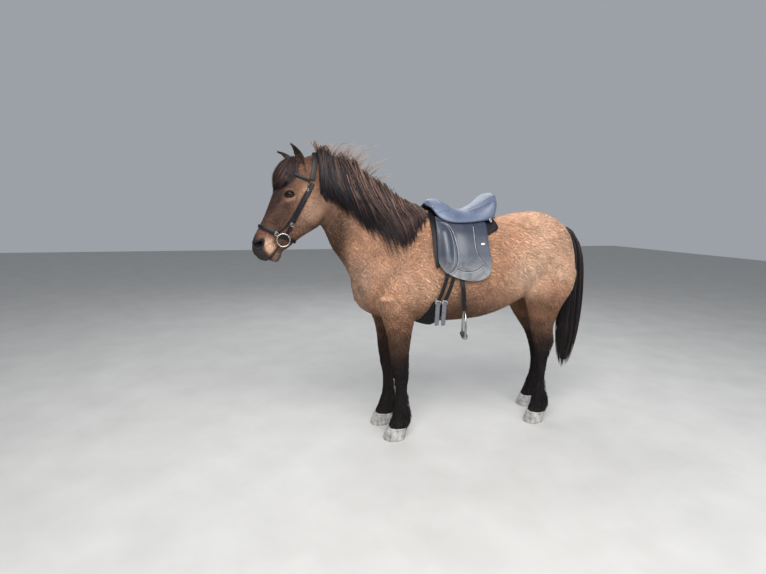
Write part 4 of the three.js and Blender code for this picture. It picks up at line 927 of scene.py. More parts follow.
def coat_pieces(me, co, normals, tris):
    """short tufts all over, in pieces by region"""
    cen = co[tris].mean(1)
    nor = unit(normals[tris].mean(1))
    x, y, z = cen.T
    s, n = to_head(y, z)
    head = (y < -720) & (z > 1075) & (s > 15) & (n > -245)
    ears = np.zeros(len(tris), bool)
    legs_low = (z < 470) & ~head
    covered = np.zeros(len(tris))
    # under the saddle, the panels and the mane the coat is hidden
    deg = np.abs(np.arctan2(x, z - 1010)) / RAD
    sad = (y > -238) & (y < 152) & (deg < np.interp(y, [-238, -140, -20, 40, 70, 150], [56, 60, 56, 42, 36, 30])) & (z > 1010)
    flap = (y > -215) & (y < 20) & (deg < 84) & (z > 1010)
    w = np.ones(len(tris))
    w[sad | flap] = 0.03
    crest = (y > -860) & (y < -300) & (z > 1150) & (x > 0) & (nor[:, 0] > -0.3)
    zc = np.interp(y, [-880, -765, -655, -540, -425, -300], [1640, 1622, 1582, 1514, 1442, 1386])
    w[crest & (y < -330) & (z > zc - 130) & (z < zc - 20) & (x > 20)] = 0.15
    region = np.zeros(len(tris), int)
    region[(y > -600) & (z < 1280)] = 5
    region[(y > -330) & (y <= 180)] = 1
    region[y > 180] = 2
    region[(y > 180) & (z < 960)] = 6
    region[(z < 470)] = 3
    region[head] = 4
    counts = {0: 12500, 1: 14500, 2: 12000, 3: 11500, 4: 17500, 5: 14500, 6: 13000}
    names = {0: "neck", 1: "barrel", 2: "croup", 3: "legs", 4: "head", 5: "shoulder", 6: "thigh"}
    objs = []
    for r, cnt in counts.items():
        rg = np.random.default_rng(100 + r)
        m = region == r
        idx = np.nonzero(m)[0]
        ww = w[idx].copy()
        if r == 4:
            sx, sn = to_head(cen[idx, 1], cen[idx, 2])
            # bare lips, nostrils and lids
            ww *= 1 - 0.97 * sr(sx, 556, 580)
            de = np.full(len(idx), 1e3)
            for sd in (1, -1):
                de = np.minimum(de, np.linalg.norm(cen[idx] - EYES[sd][0], axis=1))
            ww *= sr(de, 33, 42)
            u = (sx - 551) * 0.80 + (sn - 21) * 0.60
            v = -(sx - 551) * 0.60 + (sn - 21) * 0.80
            ww *= sr(np.sqrt((u / 25) ** 2 + (v / 14) ** 2), 1.3, 1.9)
            ww *= 1 - sr(sx, 485, 500) * np.exp(-((sn + 78) / 12) ** 2)
        pick, bc = sample_mesh(co, tris[idx], ww, cnt, rg)
        t = tris[idx][pick]
        P = (co[t] * bc[:, :, None]).sum(1)
        Nn = unit((normals[t] * bc[:, :, None]).sum(1))
        T = flow(P, Nn)
        X, Y, Z = P.T
        S, Q = to_head(Y, Z)
        k = len(P)
        L = np.full(k, 26.0)
        W = np.full(k, 4.0)
        depth = coat_depth(X, Y, Z)
        lift = depth * rg.uniform(0.45, 0.95, k)
        # longer under the neck, on the belly and at the back of the limbs
        L += 12 * sr(-Nn[:, 2], 0.5, 1.0) * sr(Z, 1100, 900)
        under = sr(-Nn[:, 1], 0.4, 0.9) * sr(Y, -560, -680)
        L += 10 * under
        # shaggy at the back of the forearm and the thigh
        shag = sr(Nn[:, 1], 0.1, 0.7) * sr(Z, 860, 760) * (np.abs(X) > 60)
        L += 12 * shag
        lift += 4 * shag
        if r == 3:
            L[:] = 19
            W[:] = 3.0
            back = sr(Nn[:, 1], 0.2, 0.8)
            L += 15 * back * sr(Z, 330, 240) + 16 * sr(Z, 250, 150) * sr(Nn[:, 1], -0.3, 0.7)
            lift = depth * rg.uniform(0.4, 0.95, k) + 5 * back * sr(Z, 300, 180)
        elif r == 4:
            L[:] = 9.5
            W[:] = 2.3
            jaw = sr(-Nn[:, 2], 0.2, 0.8) * sr(S, 90, 140)
            L += 9 * jaw
            L -= 3.5 * sr(S, 440, 540)
            W -= 0.7 * sr(S, 440, 540)
            lift = depth * rg.uniform(0.35, 0.9, k)
        L *= rg.uniform(0.75, 1.25, k)
        W *= rg.uniform(0.8, 1.25, k)
        col = markings(P, Nn)
        st = streaks(P) * (0.28 if r in (3, 4) else 0.34)
        jit = rg.uniform(0.86, 1.14, (k, 1)) * (1 + 0.55 * st)[:, None]
        warm = rg.normal(0, 0.03, (k, 3)) * col
        col = np.clip(col * jit + warm, 0.003, 0.95)
        tip = np.clip(col * rg.uniform(0.98, 1.16, (k, 1)), 0.003, 0.95)
        lift = lift * np.clip(1 + 0.5 * st, 0.6, 1.0)
        curl = rg.normal(0, 0.13, k)
        o = tuft_mesh("coat_" + names[r], P, T, Nn, L, W, lift, col, tip, region_uv(P), curl)
        objs.append(o)
    return objs


# ------------------------------------------------------------------ long hair
def locks(name, paths, widths, cols, uv, flat=0.45, seg=3, normals=None):
    """closed tapered locks along paths (n, k, 3) in millimetres"""
    n, k, _ = paths.shape
    T = np.gradient(paths, axis=1)
    T = unit(T)
    if normals is None:
        normals = np.tile(np.array([0.0, 0.0, 1.0]), (n, k, 1))
    Nn = normals - T * (normals * T).sum(2, keepdims=True)
    Nn = unit(Nn)
    B = np.cross(T, Nn)
    prof = widths
    rings = []
    a = 2 * np.pi * (np.arange(seg) / seg) + math.pi / 2
    for j in range(seg):
        rings.append(paths + B * (math.cos(a[j]) * prof)[:, :, None] + Nn * (math.sin(a[j]) * prof * flat)[:, :, None])
    V = np.stack(rings, 2)[:, :-1]                  # n, k-1, seg, 3
    tip = paths[:, -1:, :]
    per = (k - 1) * seg + 1
    V = np.concatenate([V.reshape(n, -1, 3), tip], 1)
    F = []
    for i in range(k - 2):
        for j in range(seg):
            a0, b0 = i * seg + j, i * seg + (j + 1) % seg
            a1, b1 = a0 + seg, b0 + seg
            F += [[a0, b0, b1], [a0, b1, a1]]
    last = (k - 2) * seg
    for j in range(seg):
        F.append([last + j, last + (j + 1) % seg, per - 1])
    for j in range(1, seg - 1):
        F.append([0, j + 1, j])
    F = (np.arange(n)[:, None, None] * per + np.array(F)[None]).reshape(-1, 3)
    C = np.repeat(cols[:, :-1, None, :], seg, 2).reshape(n, -1, 3)
    C = np.concatenate([C, cols[:, -1:]], 1)
    q = 0.0015
    t = np.linspace(-q, q, k)
    U = np.zeros((n, k - 1, seg, 2))
    U[..., 0] = uv[:, None, None, 0] + np.linspace(-q, q, seg)[None, None, :]
    U[..., 1] = uv[:, None, None, 1] + t[None, :-1, None]
    U = np.concatenate([U.reshape(n, -1, 2), np.stack([uv[:, 0], uv[:, 1] + q], 1)[:, None]], 1)
    return fast_object(name, world(V.reshape(-1, 3)), F, U.reshape(-1, 2), C.reshape(-1, 3))


class Shell:
    """distance from an axis to the body, round it, looked up on a grid"""

    def __init__(self, field, place, us, angs, rmax=620):
        self.us, self.angs = us, angs
        U, A = np.meshgrid(us, angs, indexing="ij")
        O, D = place(U.ravel(), A.ravel())
        r = np.zeros(len(O))
        inside = np.ones(len(O), bool)
        step = 8.0
        for k in range(int(rmax / step)):
            if not inside.any():
                break
            Q = O[inside] + D[inside] * (r[inside] + step)[:, None]
            d = evaluate(field, Q)
            idx = np.nonzero(inside)[0]
            go = d < 0
            r[idx[go]] += step
            inside[idx[~go]] = False
        a, b = r.copy(), r + step
        for _ in range(9):
            m = (a + b) / 2
            d = evaluate(field, O + D * m[:, None])
            a = np.where(d < 0, m, a)
            b = np.where(d < 0, b, m)
        self.R = ((a + b) / 2).reshape(U.shape)
        self.place = place

    def radius(self, u, ang):
        fu = np.interp(u, self.us, np.arange(len(self.us)))
        fa = np.interp(ang, self.angs, np.arange(len(self.angs)))
        i, j = np.minimum(fu.astype(int), len(self.us) - 2), np.minimum(fa.astype(int), len(self.angs) - 2)
        a, b = fu - i, fa - j
        R = self.R
        return R[i, j] * (1 - a) * (1 - b) + R[i + 1, j] * a * (1 - b) + R[i, j + 1] * (1 - a) * b + R[i + 1, j + 1] * a * b

    def point(self, u, ang, off):
        sh = u.shape
        O, D = self.place(u.ravel(), ang.ravel())
        r = self.radius(u.ravel(), ang.ravel()) + off.ravel()
        return (O + D * r[:, None]).reshape(*sh, 3), D.reshape(*sh, 3)


MANE = np.array([
  [-908, 1620, 50, 46, 30, 14], [-866, 1632, 88, 84, 40, 16], [-800, 1624, 106, 118, 50, 18], [-735, 1602, 114, 112, 54, 19],
  [-672, 1574, 122, 66, 56, 20], [-600, 1536, 128, 56, 56, 20], [-525, 1494, 124, 56, 56, 20], [-455, 1452, 119, 54, 52, 19],
  [-398, 1422, 98, 40, 44, 17], [-345, 1398, 72, 32, 36, 15], [-300, 1386, 52, 28, 26, 13], [-275, 1381, 38, 20, 17, 12]], float)


def mane_at(y, c):
    return np.interp(y, MANE[:, 0], MANE[:, c])


def mane_place(y, a):
    O = np.stack([0 * y, y, mane_at(y, 1) - 215], 1)
    return O, np.stack([np.cos(a), 0 * a, np.sin(a)], 1)


def skin_level(x, y, z):
    return body_field(x, y, z) + 7.0


def hair_colour(kind, f, rg, n):
    """f (n, k) from root to tip, not used"""
    base = np.array([.020, .016, .017]) * rg.uniform(0.75, 1.35, (n, 1))
    return base


def build_mane():
    rg = np.random.default_rng(21)
    shell = Shell(skin_level, mane_place, np.linspace(-925, -240, 90), np.linspace(-42, 106, 100) * RAD)
    nc, per, k = 330, 9, 12
    yc = -905 + 633 * ((np.arange(nc) + rg.random(nc)) / nc) ** 1.22
    layer = rg.uniform(0.12, 1.0, nc)
    frac = rg.uniform(0.70, 1.05, nc)
    frac = np.where(rg.random(nc) < 0.25, frac * rg.uniform(0.5, 0.85, nc), frac)
    sweepc = rg.normal(1, 0.16, nc)
    light_c = rg.random(nc)
    wave_p = rg.uniform(0, 6.28, nc)
    cid = np.repeat(np.arange(nc), per)
    n = nc * per
    y0 = yc[cid] + rg.normal(0, 8.0, n)
    y0 = np.clip(y0, -904, -270)
    f = np.linspace(0, 1, k)[None]
    lay = np.clip(layer[cid] + rg.normal(0, 0.10, n), 0.08, 1.04)
    fr = frac[cid] * rg.uniform(0.84, 1.05, n)
    sw = np.interp(y0, [-905, -892, -870, -840, -790, -650, -500, -400, -300, -268], [4, 22, 60, 112, 175, 168, 96, 48, 18, 8]) * sweepc[cid]
    fr = fr * np.interp(y0, [-905, -780, -640], [1.06, 1.05, 1.0])
    conv = 1 - 0.62 * sr(f, 0.2, 1.0)
    y = yc[cid][:, None] + (y0 - yc[cid])[:, None] * conv + sw[:, None] * (0.12 * f + 0.88 * f ** 1.5)
    y = y + 3.6 * np.sin(6.28 * f * 1.2 + wave_p[cid][:, None]) * f
    y = np.minimum(y, -250 + 0 * y)
    tr = rg.uniform(80, 104, n)[:, None]
    edge = mane_at(np.minimum(y, -268), 2)
    te = 90 - edge * fr[:, None]
    g = f ** 0.92
    ang = tr * (1 - g) + te * g
    rel = np.clip((90 - ang) / np.maximum(edge, 8), 0, 1.15)
    top = np.minimum(mane_at(y, 3), 86)
    outer = lerp(lerp(mane_at(y, 5), mane_at(y, 4), np.minimum(1, np.maximum(1 - rel, 0) * 2.2)), top, sr(1 - rel, 0.60, 1))
    rise = sr(f, 0.0, 0.16)
    off = -5 + (5 + lerp(6, outer - 2, lay[:, None])) * (0.25 + 0.75 * rise)
    off[:, 0] = -6
    off = off + 2.0 * np.sin(6.28 * f * 2 + wave_p[cid][:, None] * 1.7) * f
    off = off * (1 - 0.25 * sr(f, 0.8, 1.0))
    P, D = shell.point(y, ang * RAD, off)
    w = rg.uniform(1.3, 2.7, n)[:, None] * (0.55 + 0.45 * sr(f, 0, 0.2)) * (1 - 0.88 * f ** 3.0)
    # colours: lighter along the crest and on the outermost locks, each lock its own: red-brown strands, and a blond
    # band near the roots that is partly bleached hair and partly a painted sheen on the top of the arch
    lt = 0.45 * light_c[cid] + 0.55 * rg.random(n)
    dark = np.array([.0125, .0105, .0135])[None, None] * rg.uniform(0.6, 1.6, (n, 1, 1))
    dark = dark + np.array([.022, .012, .010])[None, None] * np.interp(y0, [-760, -600, -420], [0.0, 0.5, 1.0])[:, None, None]
    red = np.array([.150, .078, .056])[None, None] * rg.uniform(0.55, 1.35, (n, 1, 1))
    reach = np.interp(y0, [-905, -860, -780, -600, -420, -300], [0.35, 0.55, 0.82, 0.95, 1.02, 1.0])[:, None]
    wl = sr(lt, 0.34, 0.72)[:, None] * (0.45 + 0.55 * lay[:, None])
    wl = wl * (1 - sr(f, reach * 0.45, reach + 0.02)) + 0.14 * sr(lt, 0.6, 0.9)[:, None]
    wl = wl * np.interp(y0, [-905, -865, -780, -640, -420, -300], [0.16, 0.26, 0.62, 1.00, 1.10, 0.9])[:, None]
    wl = np.clip(wl, 0, 1)
    C = dark * (1 - wl[..., None]) + red * wl[..., None]
    # blond band: partly bleached hair, partly painted sheen where the locks arch over the crest
    blond_and_sheen = np.array([.36, .225, .165])[None, None] * rg.uniform(0.7, 1.2, (n, 1, 1))
    b = (0.80 * sr(lt, 0.46, 0.85) * sr(lay, 0.40, 0.90))[:, None] * np.exp(-((f - 0.14) / 0.24) ** 2)
    b = b * np.interp(y0, [-905, -850, -760, -640, -500, -350], [0.10, 0.22, 0.50, 0.80, 0.85, 0.5])[:, None]
    C = C * (1 - b[..., None]) + blond_and_sheen * b[..., None]
    uv = region_uv(P[:, 0])
    half = cid < nc // 2
    main = [locks("mane_front", P[half], w[half], C[half], uv[half], 0.5, 3, D[half]),
            locks("mane_rear", P[~half], w[~half], C[~half], uv[~half], 0.5, 3, D[~half])]
    # core under the locks
    ys = np.linspace(-896, -285, 44)
    m = 16
    rings = []
    for yy in ys:
        e = mane_at(yy, 2) * np.interp(yy, [-896, -850, -790, -700], [0.50, 0.58, 0.74, 0.82])
        t = np.linspace(97, 90 - e, m)
        rel = np.clip((90 - t) / max(mane_at(yy, 2), 1), 0, 1)
        outer = lerp(lerp(mane_at(yy, 5), mane_at(yy, 4), np.minimum(1, (1 - rel) * 2.2)), min(mane_at(yy, 3), 56), sr(1 - rel, 0.72, 1))
        fade = sr(yy, -896, -870) * sr(yy, -285, -330)
        shape = np.sqrt(np.clip(1 - np.abs(np.linspace(-1, 1, m)) ** 4, 0, 1))
        o1, _ = shell.point(np.full(m, yy), t * RAD, 1.5 + (outer * 0.40) * shape * (0.2 + 0.8 * fade) * np.interp(yy, [-896, -850, -800], [0.35, 0.5, 1]))
        o2, _ = shell.point(np.full(m, yy), t * RAD, np.full(m, -2.5))
        rings.append(np.concatenate([o1, o2[::-1]]))
    core = loft_object("mane_core", rings)
    # wisps that stand up behind the poll
    nb, pb, kw = 60, 6, 9
    nw = nb * pb
    wid = np.repeat(np.arange(nb), pb)
    yb = -905 + 330 * rg.beta(1.3, 2.0, nb)
    y0 = yb[wid] + rg.normal(0, 5, nw)
    f = np.linspace(0, 1, kw)[None]
    lean = ((yb + 815) / 120 + rg.normal(0, 0.38, nb))[wid] + rg.normal(0, 0.10, nw)
    L = (rg.uniform(80, 215, nb) * np.interp(yb, [-905, -840, -740, -600], [0.75, 1.0, 0.95, 0.55]))[wid] * rg.uniform(0.6, 1.05, nw)
    z0 = np.array([shell.point(np.array([yy]), np.array([90 * RAD]), np.array([-3.0]))[0][0, 2] for yy in y0])
    P = np.zeros((nw, kw, 3))
    xo = rg.normal(4, 11, nb)[wid] + rg.normal(0, 3, nw)
    side = rg.normal(0.10, 0.34, nb)[wid] + rg.normal(0, 0.06, nw)
    P[..., 0] = xo[:, None] + (side * L)[:, None] * f ** 1.3
    bend = rg.normal(0.25, 0.25, nb)[wid] + rg.normal(0, 0.05, nw)
    P[..., 1] = y0[:, None] + (L * lean * 0.55)[:, None] * f + (L * bend)[:, None] * f ** 2.4
    P[..., 2] = z0[:, None] + (L * 1.0)[:, None] * (f - 0.22 * f ** 2.6)
    over = np.maximum(P[..., 2] - 1722, 0)
    P[..., 2] = np.where(over > 0, 1722 + 22 * (1 - np.exp(-over / 22)), P[..., 2])
    w = rg.uniform(0.9, 1.7, nw)[:, None] * (1 - 0.80 * f ** 2)
    C = np.array([.130, .075, .056])[None, None] * (1 - f[..., None]) + np.array([.52, .37, .30])[None, None] * f[..., None]
    C = C * rg.uniform(0.6, 1.25, (nw, 1, 1))
    Nn = np.zeros((nw, kw, 3))
    Nn[..., 0] = 1
    wisps = locks("mane_wisps", P, w, C, region_uv(P[:, 0]), 0.6, 3, Nn)
    # hair over the poll, between the mane and the forelock
    nb, pb, kw = 54, 9, 11
    nw = nb * pb
    wid = np.repeat(np.arange(nb), pb)
    f = np.linspace(0, 1, kw)[None]
    a0 = rg.uniform(58, 112, nb)[wid] + rg.normal(0, 3, nw)
    ya = rg.uniform(-760, -700, nb)[wid] + rg.normal(0, 6, nw)
    ye = rg.uniform(-868, -800, nb)[wid] + rg.normal(0, 8, nw)
    back = (rg.random(nb) < 0.25)[wid]
    ya, ye = np.where(back, -770, ya), np.where(back, rg.uniform(-690, -640, nw), ye)
    y = ya[:, None] + (ye - ya)[:, None] * f
    spread = rg.normal(0, 6, nb)[wid]
    ang = a0[:, None] + (a0[:, None] - 90) * 0.25 * f + spread[:, None] * f
    hgt = rg.uniform(12, 30, nb)[wid] * rg.uniform(0.8, 1.1, nw)
    off = -6 + (hgt[:, None] + 8) * np.sin(np.pi * np.clip(f * 0.94 + 0.03, 0, 1)) ** 0.6
    P, D = shell.point(y, ang * RAD, off)
    w = rg.uniform(1.1, 2.2, nw)[:, None] * (0.5 + 0.5 * sr(f, 0, 0.2)) * (1 - 0.85 * f ** 3)
    lt = rg.random(nw)
    wl = (sr(lt, 0.45, 0.85))[:, None] * (0.4 + 0.6 * np.exp(-((f - 0.4) / 0.4) ** 2))
    C = np.array([.0135, .011, .0135])[None, None] * (1 - wl[..., None]) + np.array([.135, .072, .052])[None, None] * wl[..., None]
    poll = locks("mane_poll", P, w, C * rg.uniform(0.7, 1.3, (nw, 1, 1)), region_uv(P[:, 0]), 0.55, 3, D)
    wisps = [wisps, poll]
    return main, core, wisps


FORELOCK = np.array([
  [-8, 16, 42], [28, 21, 58], [62, 27, 66], [100, 40, 68], [140, 47, 66], [175, 50, 58], [205, 46, 44], [235, 36, 28], [258, 22, 10]], float)


def fore_place(s, a):
    y, z = from_head(s, -20 + 0 * s)
    return np.stack([0 * y, y, z], 1), np.stack([np.cos(a), -SD * np.sin(a), CD * np.sin(a)], 1)


def build_forelock():
    rg = np.random.default_rng(31)
    shell = Shell(lambda x, y, z: head_field(x, y, z) + 3.0, fore_place, np.linspace(-30, 290, 60), np.linspace(25, 155, 80) * RAD, 260)
    nc, per, k = 150, 9, 11
    cid = np.repeat(np.arange(nc), per)
    n = nc * per
    q = (rg.random(nc) * 2 - 1)
    send = np.interp(np.abs(q), [0, 0.6, 1.0], [262, 252, 226]) * rg.uniform(0.70, 1.03, nc)
    lay = rg.uniform(0.15, 1.0, nc)
    lightc = rg.random(nc)
    ph = rg.uniform(0, 6.28, nc)
    f = np.linspace(0, 1, k)[None]
    s0 = rg.uniform(-4, 34, n)
    se = send[cid] * rg.uniform(0.93, 1.03, n)
    s = s0[:, None] + (se - s0)[:, None] * f
    qq = q[cid] + rg.normal(0, 0.07, n) * 1.0
    half = np.interp(s, FORELOCK[:, 0], FORELOCK[:, 1])
    conv = q[cid][:, None] + (qq - q[cid])[:, None] * (1 - 0.7 * f)
    ang = 90 - half * conv * (0.75 + 0.25 * sr(f, 0, 0.5)) - 2.0 * np.sin(6.28 * f + ph[cid][:, None]) * f
    thick = np.interp(s, FORELOCK[:, 0], FORELOCK[:, 2])
    across = np.clip((90 - ang) / half, -1, 1)
    outer = lerp(5, thick, np.clip(1 - np.abs(across) ** 2.4, 0, 1) ** 0.7)
    L = np.clip(lay[cid] + rg.normal(0, 0.08, n), 0.1, 1)[:, None]
    off = -4 + (4 + lerp(4, outer - 2, L) * (0.74 + 0.26 * np.cos(ph * 3.1))[cid][:, None]) * sr(f, 0, 0.22)
    off = off * (1 - 0.35 * sr(f, 0.75, 1.0) * (1 - L * 0.6))
    P, D = shell.point(s, ang * RAD, off)
    w = rg.uniform(1.5, 2.7, n)[:, None] * (0.55 + 0.45 * sr(f, 0, 0.2)) * (1 - 0.86 * f ** 3)
    lt = 0.5 * lightc[cid] + 0.5 * rg.random(n)
    dark = np.array([.013, .0105, .0125])[None, None] * rg.uniform(0.7, 1.5, (n, 1, 1))
    red = np.array([.120, .055, .042])[None, None] * rg.uniform(0.6, 1.3, (n, 1, 1))
    wl = (sr(lt, 0.42, 0.80)[:, None] * (0.4 + 0.6 * L)) * (0.4 + 0.6 * np.exp(-((f - 0.55) / 0.35) ** 2))
    C = dark * (1 - wl[..., None]) + red * wl[..., None]
    main = locks("forelock_locks", P, w, C, region_uv(P[:, 0]), 0.5, 3, D)
    rings = []
    m = 14
    for ss in np.linspace(2, 222, 26):
        h = np.interp(ss, FORELOCK[:, 0], FORELOCK[:, 1]) * 0.84
        th = np.interp(ss, FORELOCK[:, 0], FORELOCK[:, 2])
        u = np.linspace(-1, 1, m)
        fade = sr(ss, 0, 40) * sr(ss, 226, 185)
        shape = np.sqrt(np.clip(1 - np.abs(u) ** 3, 0, 1))
        o1, _ = shell.point(np.full(m, ss), (90 + h * u) * RAD, 1 + th * 0.48 * shape * (0.15 + 0.85 * fade))
        o2, _ = shell.point(np.full(m, ss), (90 + h * u) * RAD, np.full(m, -2.0))
        rings.append(np.concatenate([o1, o2[::-1]]))
    core = loft_object("forelock_core", rings)
    return main, core


TAIL = [
  [712, 1262, 20, 18], [752, 1268, 30, 26], [796, 1240, 42, 36], [826, 1170, 58, 48], [838, 1060, 76, 58], [840, 930, 88, 64],
  [836, 800, 94, 68], [830, 670, 94, 68], [824, 540, 86, 62], [818, 430, 70, 52], [812, 345, 48, 38], [808, 290, 22, 20]]


def tail_frame():
    T = refine(TAIL, 8)
    y, z, w, d = T.T
    ty, tz = np.gradient(y), np.gradient(z)
    L = np.hypot(ty, tz)
    arc = np.r_[0, np.cumsum(np.hypot(np.diff(y), np.diff(z)))]
    return y, z, w, d, ty / L, tz / L, arc / arc[-1]


def tail_point(v, a, r):
    y, z, w, d, ty, tz, arc = tail_frame()
    Y, Z, W, Dp, TY, TZ = [np.interp(v, arc, q) for q in (y, z, w, d, ty, tz)]
    # b = t x X
    by, bz = TZ, -TY
    out = np.stack([np.cos(a) * W * r, Y + by * np.sin(a) * Dp * r, Z + bz * np.sin(a) * Dp * r], -1)
    nrm = np.stack([np.cos(a), by * np.sin(a), bz * np.sin(a)], -1)
    return out, nrm


def build_tail():
    rg = np.random.default_rng(41)
    nc, per, k = 190, 9, 13
    cid = np.repeat(np.arange(nc), per)
    n = nc * per
    ac = rg.uniform(0, 2 * np.pi, nc)
    rc = np.sqrt(rg.uniform(0.30, 1.0, nc))
    v0 = rg.uniform(0.0, 0.26, nc)
    v1 = rg.uniform(0.74, 0.985, nc)
    v1 = np.where(rg.random(nc) < 0.2, v1 * rg.uniform(0.75, 0.95, nc), v1)
    lc, ph = rg.random(nc), rg.uniform(0, 6.28, nc)
    f = np.linspace(0, 1, k)[None]
    a0 = ac[cid] + rg.normal(0, 0.10, n)
    r0 = np.clip(rc[cid] + rg.normal(0, 0.05, n), 0.1, 0.985)
    vv0 = np.clip(v0[cid] + rg.normal(0, 0.01, n), 0, 1)
    vv1 = np.clip(v1[cid] + rg.normal(0, 0.012, n), 0, 0.99)
    v = vv0[:, None] + (vv1 - vv0)[:, None] * f
    conv = 1 - 0.75 * sr(f, 0.4, 1)
    a = ac[cid][:, None] + (a0 - ac[cid])[:, None] * conv + 0.10 * np.sin(6.28 * f * 1.1 + ph[cid][:, None]) * f
    r = (rc[cid][:, None] + (r0 - rc[cid])[:, None] * conv) * lerp(0.42, 1.0, sr(v, vv0[:, None] - 0.02, vv0[:, None] + 0.24))
    r = r * (1 - 0.12 * sr(f, 0.85, 1))
    P, Nn = tail_point(v, a, r)
    P[..., 0] += 3.0 * np.sin(6.28 * f * 1.6 + ph[cid][:, None] * 2) * f
    w = rg.uniform(2.0, 3.4, n)[:, None] * (0.5 + 0.5 * sr(f, 0, 0.15)) * (1 - 0.86 * f ** 4)
    lt = lc[cid] + rg.normal(0, 0.12, n)
    dark = np.array([.015, .012, .013])[None, None] * rg.uniform(0.7, 1.5, (n, 1, 1))
    red = np.array([.105, .060, .044])[None, None] * rg.uniform(0.6, 1.3, (n, 1, 1))
    wl = sr(lt, 0.6, 1.0)[:, None] * (0.55 * (1 - sr(f, 0.1, 0.5)) + 0.45 * sr(f, 0.6, 1.0))
    C = dark * (1 - wl[..., None]) + red * wl[..., None]
    q = region_uv(P[:, 0])
    main = locks("tail_locks", P, w, C, q, 0.5, 3, Nn)
    vs = np.linspace(0.0, 0.93, 36)
    aa = np.linspace(0, 2 * np.pi, 24, endpoint=False)
    rings = []
    for v_ in vs:
        sc = 0.60 + 0.10 * sr(v_, 0.1, 0.4) - 0.25 * sr(v_, 0.8, 0.93)
        p, _ = tail_point(np.full(24, v_), aa, np.full(24, sc))
        rings.append(p)
    core = loft_object("tail_core", rings)
    return main, core


def limb_axis(name):
    T = refine(LIMBS[name], 3)
    zf, yf, zb, yb, x, w, e = T.T
    zc, yc = (zf + zb) / 2, (yf + yb) / 2
    o = np.argsort(zc)
    return zc[o], yc[o], x[o]


def build_feather():
    """long hair at the back of the fetlocks and over the coronets"""
    objs = []
    P_all, W_all, C_all, U_all, N_all = [], [], [], [], []
    for i, name in enumerate(LIMBS):
        rg = np.random.default_rng(51 + i)
        zc, yc, xc = limb_axis(name)

        def place(z, a):
            return np.stack([np.interp(z, zc, xc), np.interp(z, zc, yc), z], 1), np.stack([np.cos(a), np.sin(a), 0 * a], 1)
        t = LIMB_T[name]
        shell = Shell(lambda x, y, z: t.dist(x, y, z) + 4.5, place, np.linspace(40, 330, 50), np.linspace(-180, 180, 73) * RAD, 160)
        n, k = 620, 7
        f = np.linspace(0, 1, k)[None]
        a = rg.normal(90, 62, n)
        ring = rg.random(n) < 0.34
        a = np.where(ring, rg.uniform(-180, 180, n), a)
        a = (a + 180) % 360 - 180
        back = np.cos((a - 90) * RAD)
        z0 = np.where(ring, rg.uniform(74, 98, n), rg.uniform(95, 300, n))
        z0 = np.where((~ring) & (back < 0), rg.uniform(80, 150, n), z0)
        L = np.where(ring, rg.uniform(30, 58, n), rg.uniform(34, 64, n) * (0.55 + 0.45 * np.clip(back, 0, 1)))
        L = np.minimum(L, z0 - rg.uniform(26, 44, n))
        z = z0[:, None] - L[:, None] * f
        zq = np.maximum(z, 74)
        grow = np.where(ring, 5.0, 5 + 8 * np.clip(back, 0, 1))
        off = -1.5 + grow[:, None] * sr(f, 0, 0.9)
        flare = np.maximum(74 - z, 0) * 0.12
        P, D = shell.point(zq, np.repeat(a[:, None], k, 1) * RAD, off + flare)
        P[..., 2] = z
        P[..., 1] += (np.clip(back, 0, 1) * 5)[:, None] * f ** 2
        w = rg.uniform(1.3, 2.4, n)[:, None] * (1 - 0.85 * f ** 2.5)
        C = np.array([.014, .0115, .012])[None, None] * rg.uniform(0.7, 1.7, (n, 1, 1)) * np.ones((1, k, 1))
        P_all.append(P); W_all.append(w); C_all.append(C); N_all.append(D)
        U_all.append(region_uv(P[:, 0]))
    o = locks("feather", np.concatenate(P_all), np.concatenate(W_all), np.concatenate(C_all), np.concatenate(U_all), 0.5, 3, np.concatenate(N_all))
    return o


# ------------------------------------------------------------------ hooves and eyes
def build_hoof(name, table, toe):
    zf, yf, zb, yb, x, w, e = table[-1]
    rg = np.random.default_rng(len(name) + int(abs(x)))
    n = 56
    a = 2 * np.pi * np.arange(n) / n
    c, s = np.cos(a), np.sin(a)
    rings = []
    zs = np.r_[np.linspace(69.4, 3, 27), 1.2, 0.3, 0.0]
    for z in zs:
        t = np.interp(z, [0, 5, 44, 70], [0.97, 0.95, 0.4, 0])
        front, back, hw = yf - 3 - toe * t, yb - 2 - 14 * t, w + 1 + 8 * t
        half, mid = (back - front) / 2, (back + front) / 2
        py = np.where(s > 0, np.minimum(s * 1.12, 0.94 + 0.03 * np.abs(c)), s)
        ridge = 0.45 * np.sin(z / 6.4 * 2 * np.pi / 1.0 + 0.4 * np.sin(3 * a)) * (z > 6) * (z < 60)
        crown = -2.2 * math.exp(-((z - 60) / 3.2) ** 2) + 0.6 * (z > 63)
        chip = -1.6 * np.clip(value_noise(np.stack([c * 4 + 9, s * 4 + 9, np.full(n, 3.3)], 1), 5) - 0.55, 0, 1) * (z < 4)
        heel = -5.0 * np.exp(-((c) / 0.16) ** 2) * (s > 0) * np.interp(z, [0, 60], [1.0, 0.7])
        edge = -0.8 if z < 1 else 0
        g = ridge + crown + chip + edge
        px = np.sign(c) * np.abs(c) ** 0.86
        rings.append(np.stack([x + px * (hw - 1 + g), mid + py * (half - 1 + g) + heel, np.full(n, z)], 1))
    base = rings[-1]
    cen = base.mean(0)
    for k_, z in ((0.90, 0.0), (0.82, 3.5), (0.45, 5.0), (0.08, 5.5)):
        r = cen + (base - cen) * k_
        r[:, 2] = z
        rings.append(r)
    o = loft_object(name, rings)
    return o


